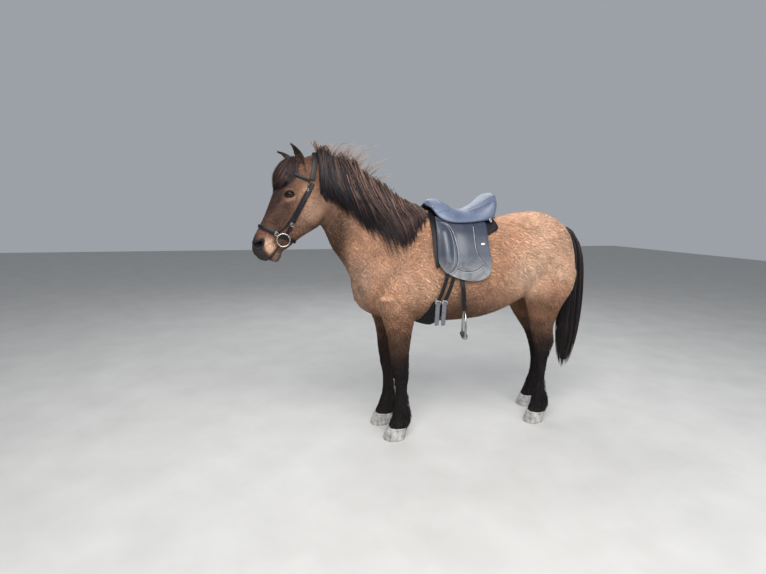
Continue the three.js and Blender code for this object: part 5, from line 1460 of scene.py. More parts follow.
def build_eye(side):
    c, out, along, up = EYES[side]
    m, n = 44, 64
    rings = []
    cols = []
    for i in range(m):
        th = math.pi * (i + 0.35) / m
        r = EYE_R - 0.1 + 0.9 * math.exp(-(th / 0.55) ** 4)
        ph = 2 * np.pi * np.arange(n) / n
        a, b, o = r * math.sin(th) * np.cos(ph), r * math.sin(th) * np.sin(ph), np.full(n, r * math.cos(th))
        rings.append(c + along * a[:, None] + up * b[:, None] + out * o[:, None])
        q = np.sqrt((a / 8.6) ** 2 + (b / 4.8) ** 2)
        q = np.where(o > 0, q, 9)
        rad = np.hypot(a, b)
        rad = np.where(o > 0, rad, 30)
        fib = 0.75 + 0.5 * value_noise(np.stack([ph * 9, 0 * ph, np.full(n, th * 3)], 1), 4)
        iris = np.array([.020, .0095, .0050])[None] * fib[:, None]
        iris = iris * np.interp(rad, [4, 13, 15.5], [0.75, 1.25, 0.5])[:, None]
        col = np.where((q < 1)[:, None], np.array([[.002, .002, .003]]), iris)
        scl = np.array([.022, .015, .013])[None]
        wgt = sr(rad, 14.5, 17.5)[:, None]
        cols.append(col * (1 - wgt) + scl * wgt)
    o = new_object("eyeball_" + ("left" if side > 0 else "right"), world(np.array(rings).reshape(-1, 3)), loft_faces(m, n), True)
    orient(o)
    at = o.data.color_attributes.new("tint", "FLOAT_COLOR", "POINT")
    C = np.ones((m * n, 4), np.float32)
    C[:, :3] = np.array(cols).reshape(-1, 3)
    at.data.foreach_set("color", C.ravel())
    return o


def lid_points(side, phi, grow=0.0, rad=0.0):
    """the edge of the opening, on a ball round the eye"""
    c, out, along, up = EYES[side]
    a = (21.6 + grow) * np.cos(phi)
    aa = np.clip(a / (21.6 + grow), -1, 1)
    top = (10.8 + grow) * np.maximum(1 - np.abs(aa) ** 2.1, 0) ** 0.80
    low = -(8.2 + grow) * np.maximum(1 - np.abs(aa) ** 1.9, 0) ** 0.90
    b = np.where(np.sin(phi) >= 0, top, low) - 0.8 * (np.sin(phi) < 0) * (1 - aa ** 4)
    R = EYE_R + rad
    o = np.sqrt(np.maximum(R * R - a * a - b * b, 4.0))
    P = c + along * a[:, None] + up * b[:, None] + out * o[:, None]
    return P, unit(P - c)


def build_lids(side):
    n = 72
    t = np.linspace(0, 2 * np.pi, n, endpoint=False)
    phi = t - 0.12 * np.sin(2 * t)
    P, R = lid_points(side, phi, 0.9, 1.5)
    c, out, along, up = EYES[side]
    T = unit(np.roll(P, -1, 0) - np.roll(P, 1, 0))
    B = unit(np.cross(R, T))
    if ((P - (c + out * EYE_R)) * B).sum() < 0:
        B = -B
    m = 12
    rings = []
    for i in range(n):
        upper = max(math.sin(phi[i]), 0)
        rr = []
        for j in range(m):
            a = 2 * math.pi * j / m
            wd, th = 3.1 + 1.3 * upper, 1.9 + 0.7 * upper
            rr.append(P[i] + B[i] * (math.cos(a) * wd + 1.2 + 0.8 * upper) + R[i] * (math.sin(a) * th + 0.2))
        rings.append(rr)
    lid = loft_object("lid", rings, closed=True)
    # lashes on the upper lid
    rg = np.random.default_rng(61)
    k, nl = 6, 64
    ph = rg.uniform(0.35, math.pi - 0.35, nl)
    Q, Rr = lid_points(side, ph, 1.2, 3.6)
    f = np.linspace(0, 1, k)[None, :, None]
    L = rg.uniform(11, 17, nl)[:, None, None]
    spread = unit(Rr * 0.9 + along * (np.cos(ph) * 0.5)[:, None] + up * 0.15)
    path = Q[:, None] + spread[:, None] * L * f + (-up * 0.55)[None, None] * L * f ** 2
    w = np.full((nl, k), 0.32) * (1 - 0.8 * np.linspace(0, 1, k)[None])
    C = np.full((nl, k, 3), 0.008)
    lash = locks("lashes_" + ("left" if side > 0 else "right"), path, w, C, region_uv(path[:, 0]), 0.9, 3, np.tile(up, (nl, k, 1)))
    return lid, lash


# ------------------------------------------------------------------ tack
def cast(field, O, D, grow=0.0, rmax=620.0):
    """distance along each ray to where the field reaches grow"""
    n = len(O)
    grow = np.broadcast_to(np.asarray(grow, float), (n,))
    r = np.zeros(n)
    on = np.ones(n, bool)
    step = 8.0
    for k in range(int(rmax / step)):
        if not on.any():
            break
        idx = np.nonzero(on)[0]
        d = evaluate(field, O[idx] + D[idx] * (r[idx] + step)[:, None]) - grow[idx]
        go = d < 0
        r[idx[go]] += step
        on[idx[~go]] = False
    a, b = r.copy(), r + step
    for _ in range(10):
        m = (a + b) / 2
        d = evaluate(field, O + D * m[:, None]) - grow
        a = np.where(d < 0, m, a)
        b = np.where(d < 0, b, m)
    return (a + b) / 2


def spline(P, n, closed=False):
    """n points on a smooth curve through P"""
    P = np.asarray(P, float)
    m = len(P)
    if closed:
        Q = np.concatenate([P[-1:], P, P[:2]])
        segs = m
    else:
        Q = np.concatenate([2 * P[:1] - P[1:2], P, 2 * P[-1:] - P[-2:-1]])
        segs = m - 1
    out = []
    for k in range(40 * segs + (0 if closed else 1)):
        t = k / 40.0
        i = min(int(t), segs - 1)
        f = t - i
        p0, p1, p2, p3 = Q[i], Q[i + 1], Q[i + 2], Q[i + 3]
        out.append(0.5 * (2 * p1 + (p2 - p0) * f + (2 * p0 - 5 * p1 + 4 * p2 - p3) * f * f + (3 * p1 - p0 - 3 * p2 + p3) * f ** 3))
    out = np.array(out)
    if closed:
        out = np.concatenate([out, out[:1]])
    d = np.r_[0, np.cumsum(np.linalg.norm(np.diff(out, axis=0), axis=1))]
    t = np.linspace(0, d[-1], n + 1)[:-1] if closed else np.linspace(0, d[-1], n)
    return np.stack([np.interp(t, d, out[:, k]) for k in range(out.shape[1])], 1)


def tangents(P, closed=False):
    if closed:
        return unit(np.roll(P, -1, 0) - np.roll(P, 1, 0))
    return unit(np.gradient(P, axis=0))


def band(name, P, N, width, thick, closed=False, across=None, crown=0.8, puff=0.0):
    """strap with rolled edges; P runs along the middle of its inner face, N points out of it"""
    T = tangents(P, closed)
    n = len(P)
    N = unit(N - T * (N * T).sum(1, keepdims=True))
    B = np.cross(T, N) if across is None else np.broadcast_to(across, P.shape)
    width = np.broadcast_to(np.asarray(width, float), (n,))
    e = min(thick * 0.48, 2.2)
    prof = []
    for cx, cy, a0 in ((1, 0, -90), (1, 1, 0)):
        for k in range(4):
            a = (a0 + 30 * k) * RAD
            prof.append((cx, math.cos(a) * e - e, cy, math.sin(a) * e + (e if cy == 0 else -e)))
    top = [(f, 0.0, 1, 0.0) for f in (0.62, 0.3, 0.0, -0.3, -0.62)]
    half = prof + top
    ring = half + [(-c, -o, cy, h) for c, o, cy, h in prof[::-1]] + [(f, 0.0, 0, 0.0) for f in (-0.5, 0.0, 0.5)]
    rings = []
    for c, o, cy, h in ring:
        w = width / 2 * c + (o if c != 0 and abs(c) == 1 else 0)
        hh = cy * thick + h
        if cy == 1:
            hh = hh + (crown + puff) * (1 - min(abs(c), 1) ** 2)
        rings.append(P + B * (w if np.ndim(w) else np.full(n, w))[:, None] + N * hh)
    rings = np.stack(rings, 1)
    return loft_object(name, rings, True, closed)


def tube_ob(name, P, r, closed=False, seg=10, flat=1.0, up=None):
    P = np.asarray(P, float)
    T = tangents(P, closed)
    n = len(P)
    r = np.broadcast_to(np.asarray(r, float), (n,))
    if up is None:
        u = np.array([0.3, 0.5, 0.81])
        U = []
        for t in T:
            u = u - t * u.dot(t)
            u = u / np.linalg.norm(u)
            U.append(u)
        U = np.array(U)
    else:
        U = unit(up - T * (up * T).sum(1, keepdims=True))
    B = np.cross(T, U)
    a = 2 * np.pi * np.arange(seg) / seg
    rings = P[:, None] + B[:, None] * (np.cos(a)[None] * r[:, None])[..., None] + U[:, None] * (np.sin(a)[None] * r[:, None] * flat)[..., None]
    return loft_object(name, rings, True, closed)


def stitch_mesh(name, runs, gap=4.6, length=3.1, r=0.55):
    """short threads along runs of (P, N)"""
    V, F = [], []
    base = np.array([[-1, 0, 0], [-0.55, 1, 0.3], [-0.55, 0, 1], [-0.55, -1, 0.3], [0.55, 1, 0.3], [0.55, 0, 1], [0.55, -1, 0.3], [1, 0, 0]], float)
    tri = [(0, 1, 2), (0, 2, 3), (0, 3, 1), (1, 4, 5), (1, 5, 2), (2, 5, 6), (2, 6, 3), (3, 6, 4), (3, 4, 1), (7, 5, 4), (7, 6, 5), (7, 4, 6)]
    for P, N in runs:
        d = np.r_[0, np.cumsum(np.linalg.norm(np.diff(P, axis=0), axis=1))]
        t = np.arange(gap / 2, d[-1] - gap / 2, gap)
        if len(t) < 1:
            continue
        Q = np.stack([np.interp(t, d, P[:, k]) for k in range(3)], 1)
        Q1 = np.stack([np.interp(t + 0.5, d, P[:, k]) for k in range(3)], 1)
        M = unit(np.stack([np.interp(t, d, N[:, k]) for k in range(3)], 1))
        T = unit(Q1 - Q)
        B = np.cross(M, T)
        for q, tt, b, m in zip(Q, T, B, M):
            k = len(V) * 8
            V.append(q + tt * (base[:, :1] * length / 2) + b * (base[:, 1:2] * r) + m * (base[:, 2:] * r * 1.2))
            F += [tuple(k + i for i in f) for f in tri]
    o = new_object(name, world(np.concatenate(V)), F, True)
    orient(o)
    return o


def join(name, obs):
    bpy.ops.object.select_all(action="DESELECT")
    for o in obs:
        o.select_set(True)
    bpy.context.view_layer.objects.active = obs[0]
    bpy.ops.object.join()
    obs[0].name = name
    obs[0].data.name = name
    return obs[0]


def ring_path(field, o, e1, e2, a0, a1, n, off, closed=False):
    t = np.linspace(a0, a1, n + 1)[:n if closed else n + 1] * RAD
    D = np.cos(t)[:, None] * e1 + np.sin(t)[:, None] * e2
    O = np.repeat(np.asarray(o, float)[None], len(t), 0)
    P = O + D * cast(field, O, D, off)[:, None]
    # taut: the strap bridges hollows
    for _ in range(3):
        if closed:
            Q = (np.roll(P, 1, 0) + np.roll(P, -1, 0)) / 2
        else:
            Q = P.copy()
            Q[1:-1] = (P[2:] + P[:-2]) / 2
        out = ((Q - P) * D).sum(1) > 0
        P = np.where(out[:, None], Q, P * 0.7 + Q * 0.3)
    across = np.cross(e1, e2)
    across = across / np.linalg.norm(across)
    T = tangents(P, closed)
    N = unit(np.cross(T, across))
    if (N * D).sum() < 0:
        N = -N
    return P, N, across


def dir_head(s, n):
    d = np.array([0.0, -CD, -SD]) * s + np.array([0.0, -SD, CD]) * n
    return d / np.linalg.norm(d)


def at_head(s, n, x=0.0):
    y, z = from_head(s, n)
    return np.array([x, y, z])


def edge_runs(P, N, width, thick, across=None, closed=False, inset=2.6):
    T = tangents(P, closed)
    N = unit(N - T * (N * T).sum(1, keepdims=True))
    B = np.cross(T, N) if across is None else np.broadcast_to(across, P.shape)
    return [(P + B * (s * (width / 2 - inset)) + N * (thick + 0.25), N) for s in (1, -1)]


def buckle(name, at, face, along, w, h, bar, prong=True):
    """frame with a bar across and a tongue; w across the strap, h along it"""
    face, along = np.asarray(face, float), np.asarray(along, float)
    side = np.cross(along, face)
    r = 0.24 * min(w, h)
    P = []
    for cx, cy, a0 in ((1, 1, 0), (-1, 1, 90), (-1, -1, 180), (1, -1, 270)):
        for k in range(5):
            a = (a0 + 22.5 * k) * RAD
            P.append((cx * (w / 2 - bar / 2 - r) + math.cos(a) * r, cy * (h / 2 - bar / 2 - r) + math.sin(a) * r))
    P = np.array([at + side * a + along * b for a, b in P])
    parts = [tube_ob(name, P, bar / 2, True, 10, 0.8, np.repeat(face[None], len(P), 0))]
    Q = np.linspace(at - side * (w / 2 - bar / 2), at + side * (w / 2 - bar / 2), 6)
    parts.append(tube_ob(name + "_bar", Q, bar * 0.38, seg=8))
    if prong:
        f = np.linspace(0, 1, 9)
        Q = at + along[None] * (f * (h / 2 - 0.3))[:, None] + face[None] * (0.5 + 1.6 * np.sin(f * np.pi))[:, None]
        parts.append(tube_ob(name + "_tongue", Q, np.linspace(bar * 0.34, bar * 0.24, 9), seg=8))
    return join(name, parts)


SADDLE_Z = 1010.0
X3 = np.array([1.0, 0.0, 0.0])


def saddle_point(y, deg, off, side=1):
    y, deg, off = np.broadcast_arrays(np.asarray(y, float), np.asarray(deg, float), np.asarray(off, float))
    sh = y.shape
    y, deg, off = y.ravel(), deg.ravel(), off.ravel()
    O = np.stack([0 * y, y, np.full(len(y), SADDLE_Z)], 1)
    D = np.stack([side * np.sin(deg * RAD), 0 * y, np.cos(deg * RAD)], 1)
    return (O + D * cast(trunk_field, O, D, off)[:, None]).reshape(*sh, 3), D.reshape(*sh, 3)


SEAT = [
  [-252, 5, 10, 1.6, 5], [-240, 19, 16.5, 1.7, 7], [-218, 27, 22, 1.8, 8], [-182, 31, 26.5, 1.9, 9], [-135, 22, 29, 2.2, 9],
  [-75, 15, 29, 2.8, 9], [-10, 22, 28, 3, 9], [50, 50, 26.5, 3, 9], [102, 80, 25.5, 3.2, 10],
  [146, 108, 25, 3.4, 11], [176, 108, 24, 3.2, 13], [193, 80, 22, 2.6, 12]]
TREE = 35.0
SEAT_F = np.array(refine(SEAT, 6))


def seat_off(y, u):
    t, edge, p, rim = [np.interp(y, SEAT_F[:, 0], SEAT_F[:, k]) for k in (1, 2, 3, 4)]
    h = rim + (t - rim * 0.2) * np.clip(1 - np.abs(u) ** p, 0, 1) ** 0.9
    # the twist in front of the rider and the bowl of the seat
    h = h - 3.0 * np.exp(-((y + 60) / 60) ** 2) * np.exp(-(u / 0.25) ** 2)
    return TREE + h, edge


def seat_y(y, u):
    # the cantle curves forward at its sides
    return y - 46 * np.abs(u) ** 2.2 * sr(y, 30, 190)


def build_seat():
    n = 56
    Y = SEAT_F[:, 0]
    u = np.linspace(-1, 1, n)
    u = np.sign(u) * np.abs(u) ** 0.85
    YY, UU = np.meshgrid(Y, u, indexing="ij")
    off, edge = seat_off(YY, UU)
    top, _ = saddle_point(seat_y(YY, UU), edge * UU, off)
    lu = np.linspace(1, -1, 20)
    YL, UL = np.meshgrid(Y, lu, indexing="ij")
    _, edge_l = seat_off(YL, UL)
    low, _ = saddle_point(seat_y(YL, UL), edge_l * UL, TREE + 0 * YL)
    # rounded rear face of the cantle and rounded front
    rings = np.concatenate([top, low], 1)
    first, last = rings[0].copy(), rings[-1].copy()
    c0, c1 = first.mean(0), last.mean(0)
    f1 = c0 + (first - c0) * 0.80
    f1[:, 1] -= 3.5
    f2 = c0 + (first - c0) * 0.4
    f2[:, 1] -= 5.5
    l1 = c1 + (last - c1) * 0.88
    l1[:, 1] += 7
    l2 = c1 + (last - c1) * 0.60
    l2[:, 1] += 11
    l3 = c1 + (last - c1) * 0.2
    l3[:, 1] += 12.5
    rings = np.concatenate([f2[None], f1[None], rings, l1[None], l2[None], l3[None]])
    return loft_object("seat_leather", rings)


def seat_curve(pts, side, n, lift=0.0):
    """curve on the seat from (u, y) points, u across from 0 to 1 at the edge"""
    Q = spline(np.array(pts, float), n)
    off, edge = seat_off(Q[:, 1], Q[:, 0])
    P, D = saddle_point(seat_y(Q[:, 1], Q[:, 0]), edge * Q[:, 0], off + lift, side)
    return P, D


FLAP = np.array([
  [21, -238, 84, 25], [34, -246, 68, 25], [48, -250, 53, 24], [62, -253, 51, 21], [74, -248, 59, 18],
  [84, -220, 54, 17], [90, -176, 36, 17], [93.5, -132, 12, 17], [95.5, -88, -18, 17]], float)
FLAP_F = np.array(refine(FLAP.tolist(), 6))


def flap_off(deg, y):
    base = np.interp(deg, FLAP_F[:, 0], FLAP_F[:, 3]) + 5
    block = 27 * np.exp(-((y + 205) / 34) ** 2) * sr(deg, 27, 42) * (1 - sr(deg, 74, 88))
    # groove along the block's welt
    wy = np.interp(deg, [25, 27.1, 32.6, 40.5, 50.8, 61, 71.3, 78.9, 85.4], [-236, -195, -171, -157, -149, -143, -145, -156, -178])
    block = block - 2.6 * np.exp(-((y - wy + 4) / 5.0) ** 2) * sr(deg, 27, 36) * (1 - sr(deg, 80, 88))
    # a soft swell between the welts and a hollow under the skirt
    swell = 4.0 * np.exp(-((y + 85) / 52) ** 2) * sr(deg, 30, 45) * (1 - sr(deg, 72, 84))
    sag = -2.0 * np.exp(-((deg - 84) / 3.0) ** 2) * np.exp(-((y + 60) / 80) ** 2)
    rim = -2.2 * np.exp(-((deg - 95.5) / 2.2) ** 2)
    return base + block + swell + sag + rim


def build_flap(side):
    n = 60
    rings = []
    u = np.linspace(0, 1, n)
    for deg, yf, yr, off in FLAP_F:
        y = lerp(yf, yr, u)
        d = np.full(n, deg)
        o = flap_off(d, y)
        # the edge is cut square with a small bevel
        e = np.minimum(u, 1 - u) * (yr - yf)
        o = o - 1.6 * np.clip(1 - e / 2.5, 0, 1)
        a, _ = saddle_point(y, d, o, side)
        b, _ = saddle_point(y[::-1], d, np.full(n, off), side)
        rings.append(np.concatenate([a, b]))
    rings = np.array(rings)
    return loft_object("flap_leather_shade_and_scuffs_" + ("left" if side > 0 else "right"), rings)


def flap_curve(pts, side, n, lift=0.0):
    Q = spline(np.array(pts, float), n)
    return saddle_point(Q[:, 1], Q[:, 0], flap_off(Q[:, 0], Q[:, 1]) + lift, side)


PANEL = np.array([
  [-268, 14, 62, 9.6], [-260, 10, 78, 10.4], [-244, 8, 78, 11.5], [-222, 8, 64, 13], [-140, 8, 66, 17], [-20, 8, 57, 17],
  [50, 8, 44, 18], [92, 8, 40, 20], [138, 9, 36, 24], [156, 12, 32, 14]], float)


def build_panel(side):
    F = np.array(refine(PANEL.tolist(), 6))
    n = 26
    rings = []
    u = np.linspace(0, 1, n)
    for y, a, b, t in F:
        deg = lerp(a, b, u)
        sag = lerp(1, 0.42, sr(u, 0.3, 1)) if b > 50 else 1.0
        bulge = (t - 8) * sag * np.clip(1 - np.abs(2 * u - 1) ** 4.5, 0, 1) ** 0.55
        o, _ = saddle_point(np.full(n, y), deg, 8.2 + bulge + 0.6, side)
        i_, _ = saddle_point(np.full(n, y), deg[::-1], np.full(n, 4.2) + 3.0 * np.abs(2 * u[::-1] - 1) ** 6, side)
        rings.append(np.concatenate([o, i_]))
    return loft_object("panel_leather_" + ("left" if side > 0 else "right"), np.array(rings))


def flank_path(side, pts, off, z_hang, n):
    hang = 0.0
    P = []
    for p in pts:
        y, z = p[0], p[1]
        tuck = p[2] if len(p) > 2 else 0
        if z >= z_hang:
            hang = cast(trunk_field, np.array([[0.0, y, z]]), X3[None], off - tuck, 420)[0]
        P.append([side * hang, y, z])
    P = np.array(P)
    Q = spline(P, n)
    T = tangents(Q)
    N = unit(np.repeat(X3[None] * side, n, 0) - T * (T[:, :1] * side))
    return P, Q, N


def rounded_tip(n, width, tip):
    """widths along a strap whose far end is cut to a point"""
    w = np.full(n, float(width))
    k = max(int(n * tip), 2)
    w[-k:] = width * np.sqrt(np.clip(1 - (np.arange(k) / (k - 0.6)) ** 2.2, 0.02, 1))
    return w


IRON = dict(x=284.0, y=-102.0, top=808.0, foot=652.0, half=61.0, bar=5.5, turn=-18.0)


def iron_place(side, u, v, z):
    k, q = math.sin(IRON["turn"] * RAD), math.cos(IRON["turn"] * RAD)
    return np.stack([side * (IRON["x"] + u * q - v * k), IRON["y"] + u * k + v * q, z + 0 * u], -1)


def build_iron(side):
    n, m = 72, 14
    H = IRON["top"] - IRON["foot"]
    a = 2 * np.pi * np.arange(n) / n
    s, c = np.sin(a), np.cos(a)
    h = np.where(s > 0, np.abs(s) ** 0.8, -np.abs(s) ** 0.35 * 0.16)
    w = np.where(s > 0, np.sign(c) * np.abs(c) ** 0.75, np.sign(c) * np.abs(c) ** 0.4)
    Q = spline(np.stack([w * IRON["half"], IRON["foot"] + H * 0.14 + h * H * 0.86], 1), 90, True)
    T = unit(np.roll(Q, -1, 0) - np.roll(Q, 1, 0))
    nu, nz = -T[:, 1], T[:, 0]
    b = IRON["bar"]
    wide = 1.15 + 1.45 * sr(Q[:, 1], IRON["foot"] + 24, IRON["foot"] + 8)
    bb = b * (1 - 0.22 * sr(Q[:, 1], IRON["foot"] + 60, IRON["top"] - 20))
    rings = []
    for j in range(m):
        t = 2 * math.pi * j / m
        rings.append(iron_place(side, Q[:, 0] + nu * math.cos(t) * bb, math.sin(t) * bb * wide, Q[:, 1] + nz * math.cos(t) * bb))
    return loft_object("stirrup_steel_" + ("left" if side > 0 else "right"), np.stack(rings, 1), True, True)


def build_tread(side):
    """rubber pad with ribs across and a chamfered rim"""
    L, W, H = 94.0, 34.0, 11.0
    xs, prof = [], []
    z0 = IRON["foot"] + 14.5 - H / 2
    stations = [(-L / 2, 0.55), (-L / 2 + 1.5, 0.85), (-L / 2 + 3, 1.0)]
    x = -L / 2 + 5
    while x < L / 2 - 6:
        stations += [(x, 1.0), (x + 0.6, 1.14), (x + 2.2, 1.14), (x + 2.8, 1.0), (x + 4.2, 0.99)]
        x += 5.3
    stations += [(L / 2 - 3, 1.0), (L / 2 - 1.5, 0.85), (L / 2, 0.55)]
    rings = []
    for x, k in stations:
        hw = W / 2 * (1 - 0.10 * (abs(x) / (L / 2)) ** 6)
        top = H * (0.86 + (k - 1.0) * 0.9) if k >= 0.9 else H * k * 0.86
        edge = min(k, 1.0)
        v = np.array([-hw, -hw * 1.0, -hw * 0.9, -hw * 0.45, 0, hw * 0.45, hw * 0.9, hw, hw, hw * 0.8, 0, -hw * 0.8]) * (0.9 + 0.1 * edge)
        z = np.array([H * 0.25, top * 0.8, top, top, top, top, top, top * 0.8, H * 0.25, 0, 0, 0])
        rings.append(iron_place(side, np.full(12, x), v, z0 + z))
    return loft_object("tread_rubber_" + ("left" if side > 0 else "right"), np.array(rings))


PIECES = []      # (object, slot, material key, replaced nodes)


def put(o, slot, mat, *nodes):
    PIECES.append((o, slot, mat, nodes))
    return o


def build_bridle():
    stitches = []
    on_head = 1.0
    o = at_head(62, -25)
    P, N, ac = ring_path(body_field, o, X3, dir_head(-0.93, 0.36), -24, 204, 110, on_head + 1.0)
    put(band("headpiece_strap", P, N, 27, 4.2, across=ac), "black_leather", "strap", "bridle_headpiece")
    stitches += edge_runs(P, N, 27, 4.2, ac)
    P, N, ac = ring_path(head_field, at_head(112, -2), X3, dir_head(0.16, 0.98), -17, 197, 100, on_head + 1.5)
    put(band("browband_strap", P, N, 17, 4, across=ac), "black_leather", "strap", "bridle_browband")
    stitches += edge_runs(P, N, 17, 4, ac)
    P, N, ac = ring_path(head_field, at_head(446, -38), X3, dir_head(0.13, 0.99), 0, 360, 120, on_head + 1.0, True)
    put(band("noseband_strap", P, N, 20, 4.4, True, ac, 1.6), "black_leather", "strap", "bridle_noseband")
    stitches += edge_runs(np.concatenate([P, P[:1]]), np.concatenate([N, N[:1]]), 20, 4.6, None)
    for side in (1, -1):
        nm = "left" if side > 0 else "right"
        for key, pts, w, th, off in (
                ("cheekpiece", [[112, -50], [128, -56], [190, -60], [260, -66], [330, -72], [385, -76], [424, -79]], 17, 4.0, 2.2),
                ("hanger", [[112, -38], [128, -39.5], [190, -43.5], [260, -49.5], [330, -54], [385, -52], [436, -33]], 12.5, 3.5, 2.4)):
            Q = spline(np.array(pts, float), 60)
            y, z = from_head(Q[:, 0], Q[:, 1])
            O = np.stack([0 * y, y, z], 1)
            D = np.repeat(X3[None] * side, len(y), 0)
            r = cast(body_field, O, D, off, 260)
            for _ in range(4):
                q = r.copy()
                q[1:-1] = (r[2:] + r[:-2]) / 2
                r = np.where(q > r, q, r * 0.8 + q * 0.2)
            P = O + D * r[:, None]
            T = tangents(P)
            N = unit(D - T * (D * T).sum(1, keepdims=True))
            put(band(key + "_strap_" + nm, P, N, w, th), "black_leather", "strap", "bridle_%s_%s" % (key, nm))
            stitches += edge_runs(P, N, w, th)
            if key == "cheekpiece":
                # keeper loops
                for f in (0.74, 0.86):
                    i = int(f * 59)
                    L = loop_round(P[i], N[i], T[i], w, th)
                    put(band("keeper_%s_%d" % (nm, int(f * 100)), L[0], L[1], 5.0, 1.6, True, L[2]), "black_leather", "strap")
                i = int(0.80 * 59)
                put(buckle("cheek_steel_" + nm, P[i] + N[i] * (th + 1.4), N[i], T[i], 25, 20, 3.2), "steel", "steel", "cheek_buckle_" + nm)
                # the turned end round the bit ring
                put(band("bit_loop_" + nm, P[-9:] + N[-9:] * (th - 0.2), N[-9:], w * 0.96, 2.6), "black_leather", "strap")
            else:
                i = 8
                put(buckle("brow_steel_" + nm, P[i] + N[i] * (th + 1.0), N[i], T[i], 17, 14, 2.4), "steel", "steel")
        # bit ring
        c = at_head(458, -78, side * 70.5)
        a = np.linspace(0, 2 * np.pi, 64, endpoint=False)
        n = np.array([math.cos(0.1), -0.06 * side * side, 0.1]) * [side, side, 1]
        n = np.array([side * 0.995, -0.05, 0.09])
        n /= np.linalg.norm(n)
        e1 = np.cross(n, [0, 0, 1.0])
        e1 /= np.linalg.norm(e1)
        e2 = np.cross(n, e1)
        P = c + np.cos(a)[:, None] * e1 * 35 + np.sin(a)[:, None] * e2 * 35
        put(tube_ob("ring_steel_" + nm, P, 3.6, True, 14), "steel", "steel", "bit_ring_" + nm)
        # square loop where the noseband meets its hanger
        hq = at_head(448, -31)
        x = cast(head_field, hq[None], (X3 * side)[None], 7.5, 200)[0]
        put(buckle("nose_steel_" + nm, hq + X3 * side * x, np.array([side, 0, 0.0]), dir_head(1, 0.0), 24, 22, 3.4, False), "steel", "steel")
    b = at_head(462, -80)
    xs = np.linspace(-59, 59, 31)
    P = np.stack([xs, b[1] + 0 * xs, b[2] + 0 * xs], 1)
    r = 5.2 + 1.2 * (np.abs(xs) / 59) ** 2
    put(tube_ob("mouth_steel", P, r, seg=16), "steel", "rubber", "bit_mouthpiece")
    put(stitch_mesh("bridle_thread", stitches, 4.4, 2.9, 0.42), "black_leather", "thread")


def loop_round(p, n, t, w, th):
    """closed path round a strap, for a keeper"""
    b = np.cross(t, n)
    a = np.linspace(0, 2 * np.pi, 28, endpoint=False)
    c, s = np.cos(a), np.sin(a)
    px = np.sign(c) * np.abs(c) ** 0.35 * (w / 2 + 0.7)
    py = np.sign(s) * np.abs(s) ** 0.5 * (th / 2 + 1.2) + th / 2 + 0.4
    P = p + b * px[:, None] + n * py[:, None]
    T = tangents(P, True)
    N = unit(np.cross(T, np.repeat(t[None], len(P), 0)))
    cen = P.mean(0)
    if (N * (P - cen)).sum() < 0:
        N = -N
    return P, N, np.repeat(t[None], len(P), 0)


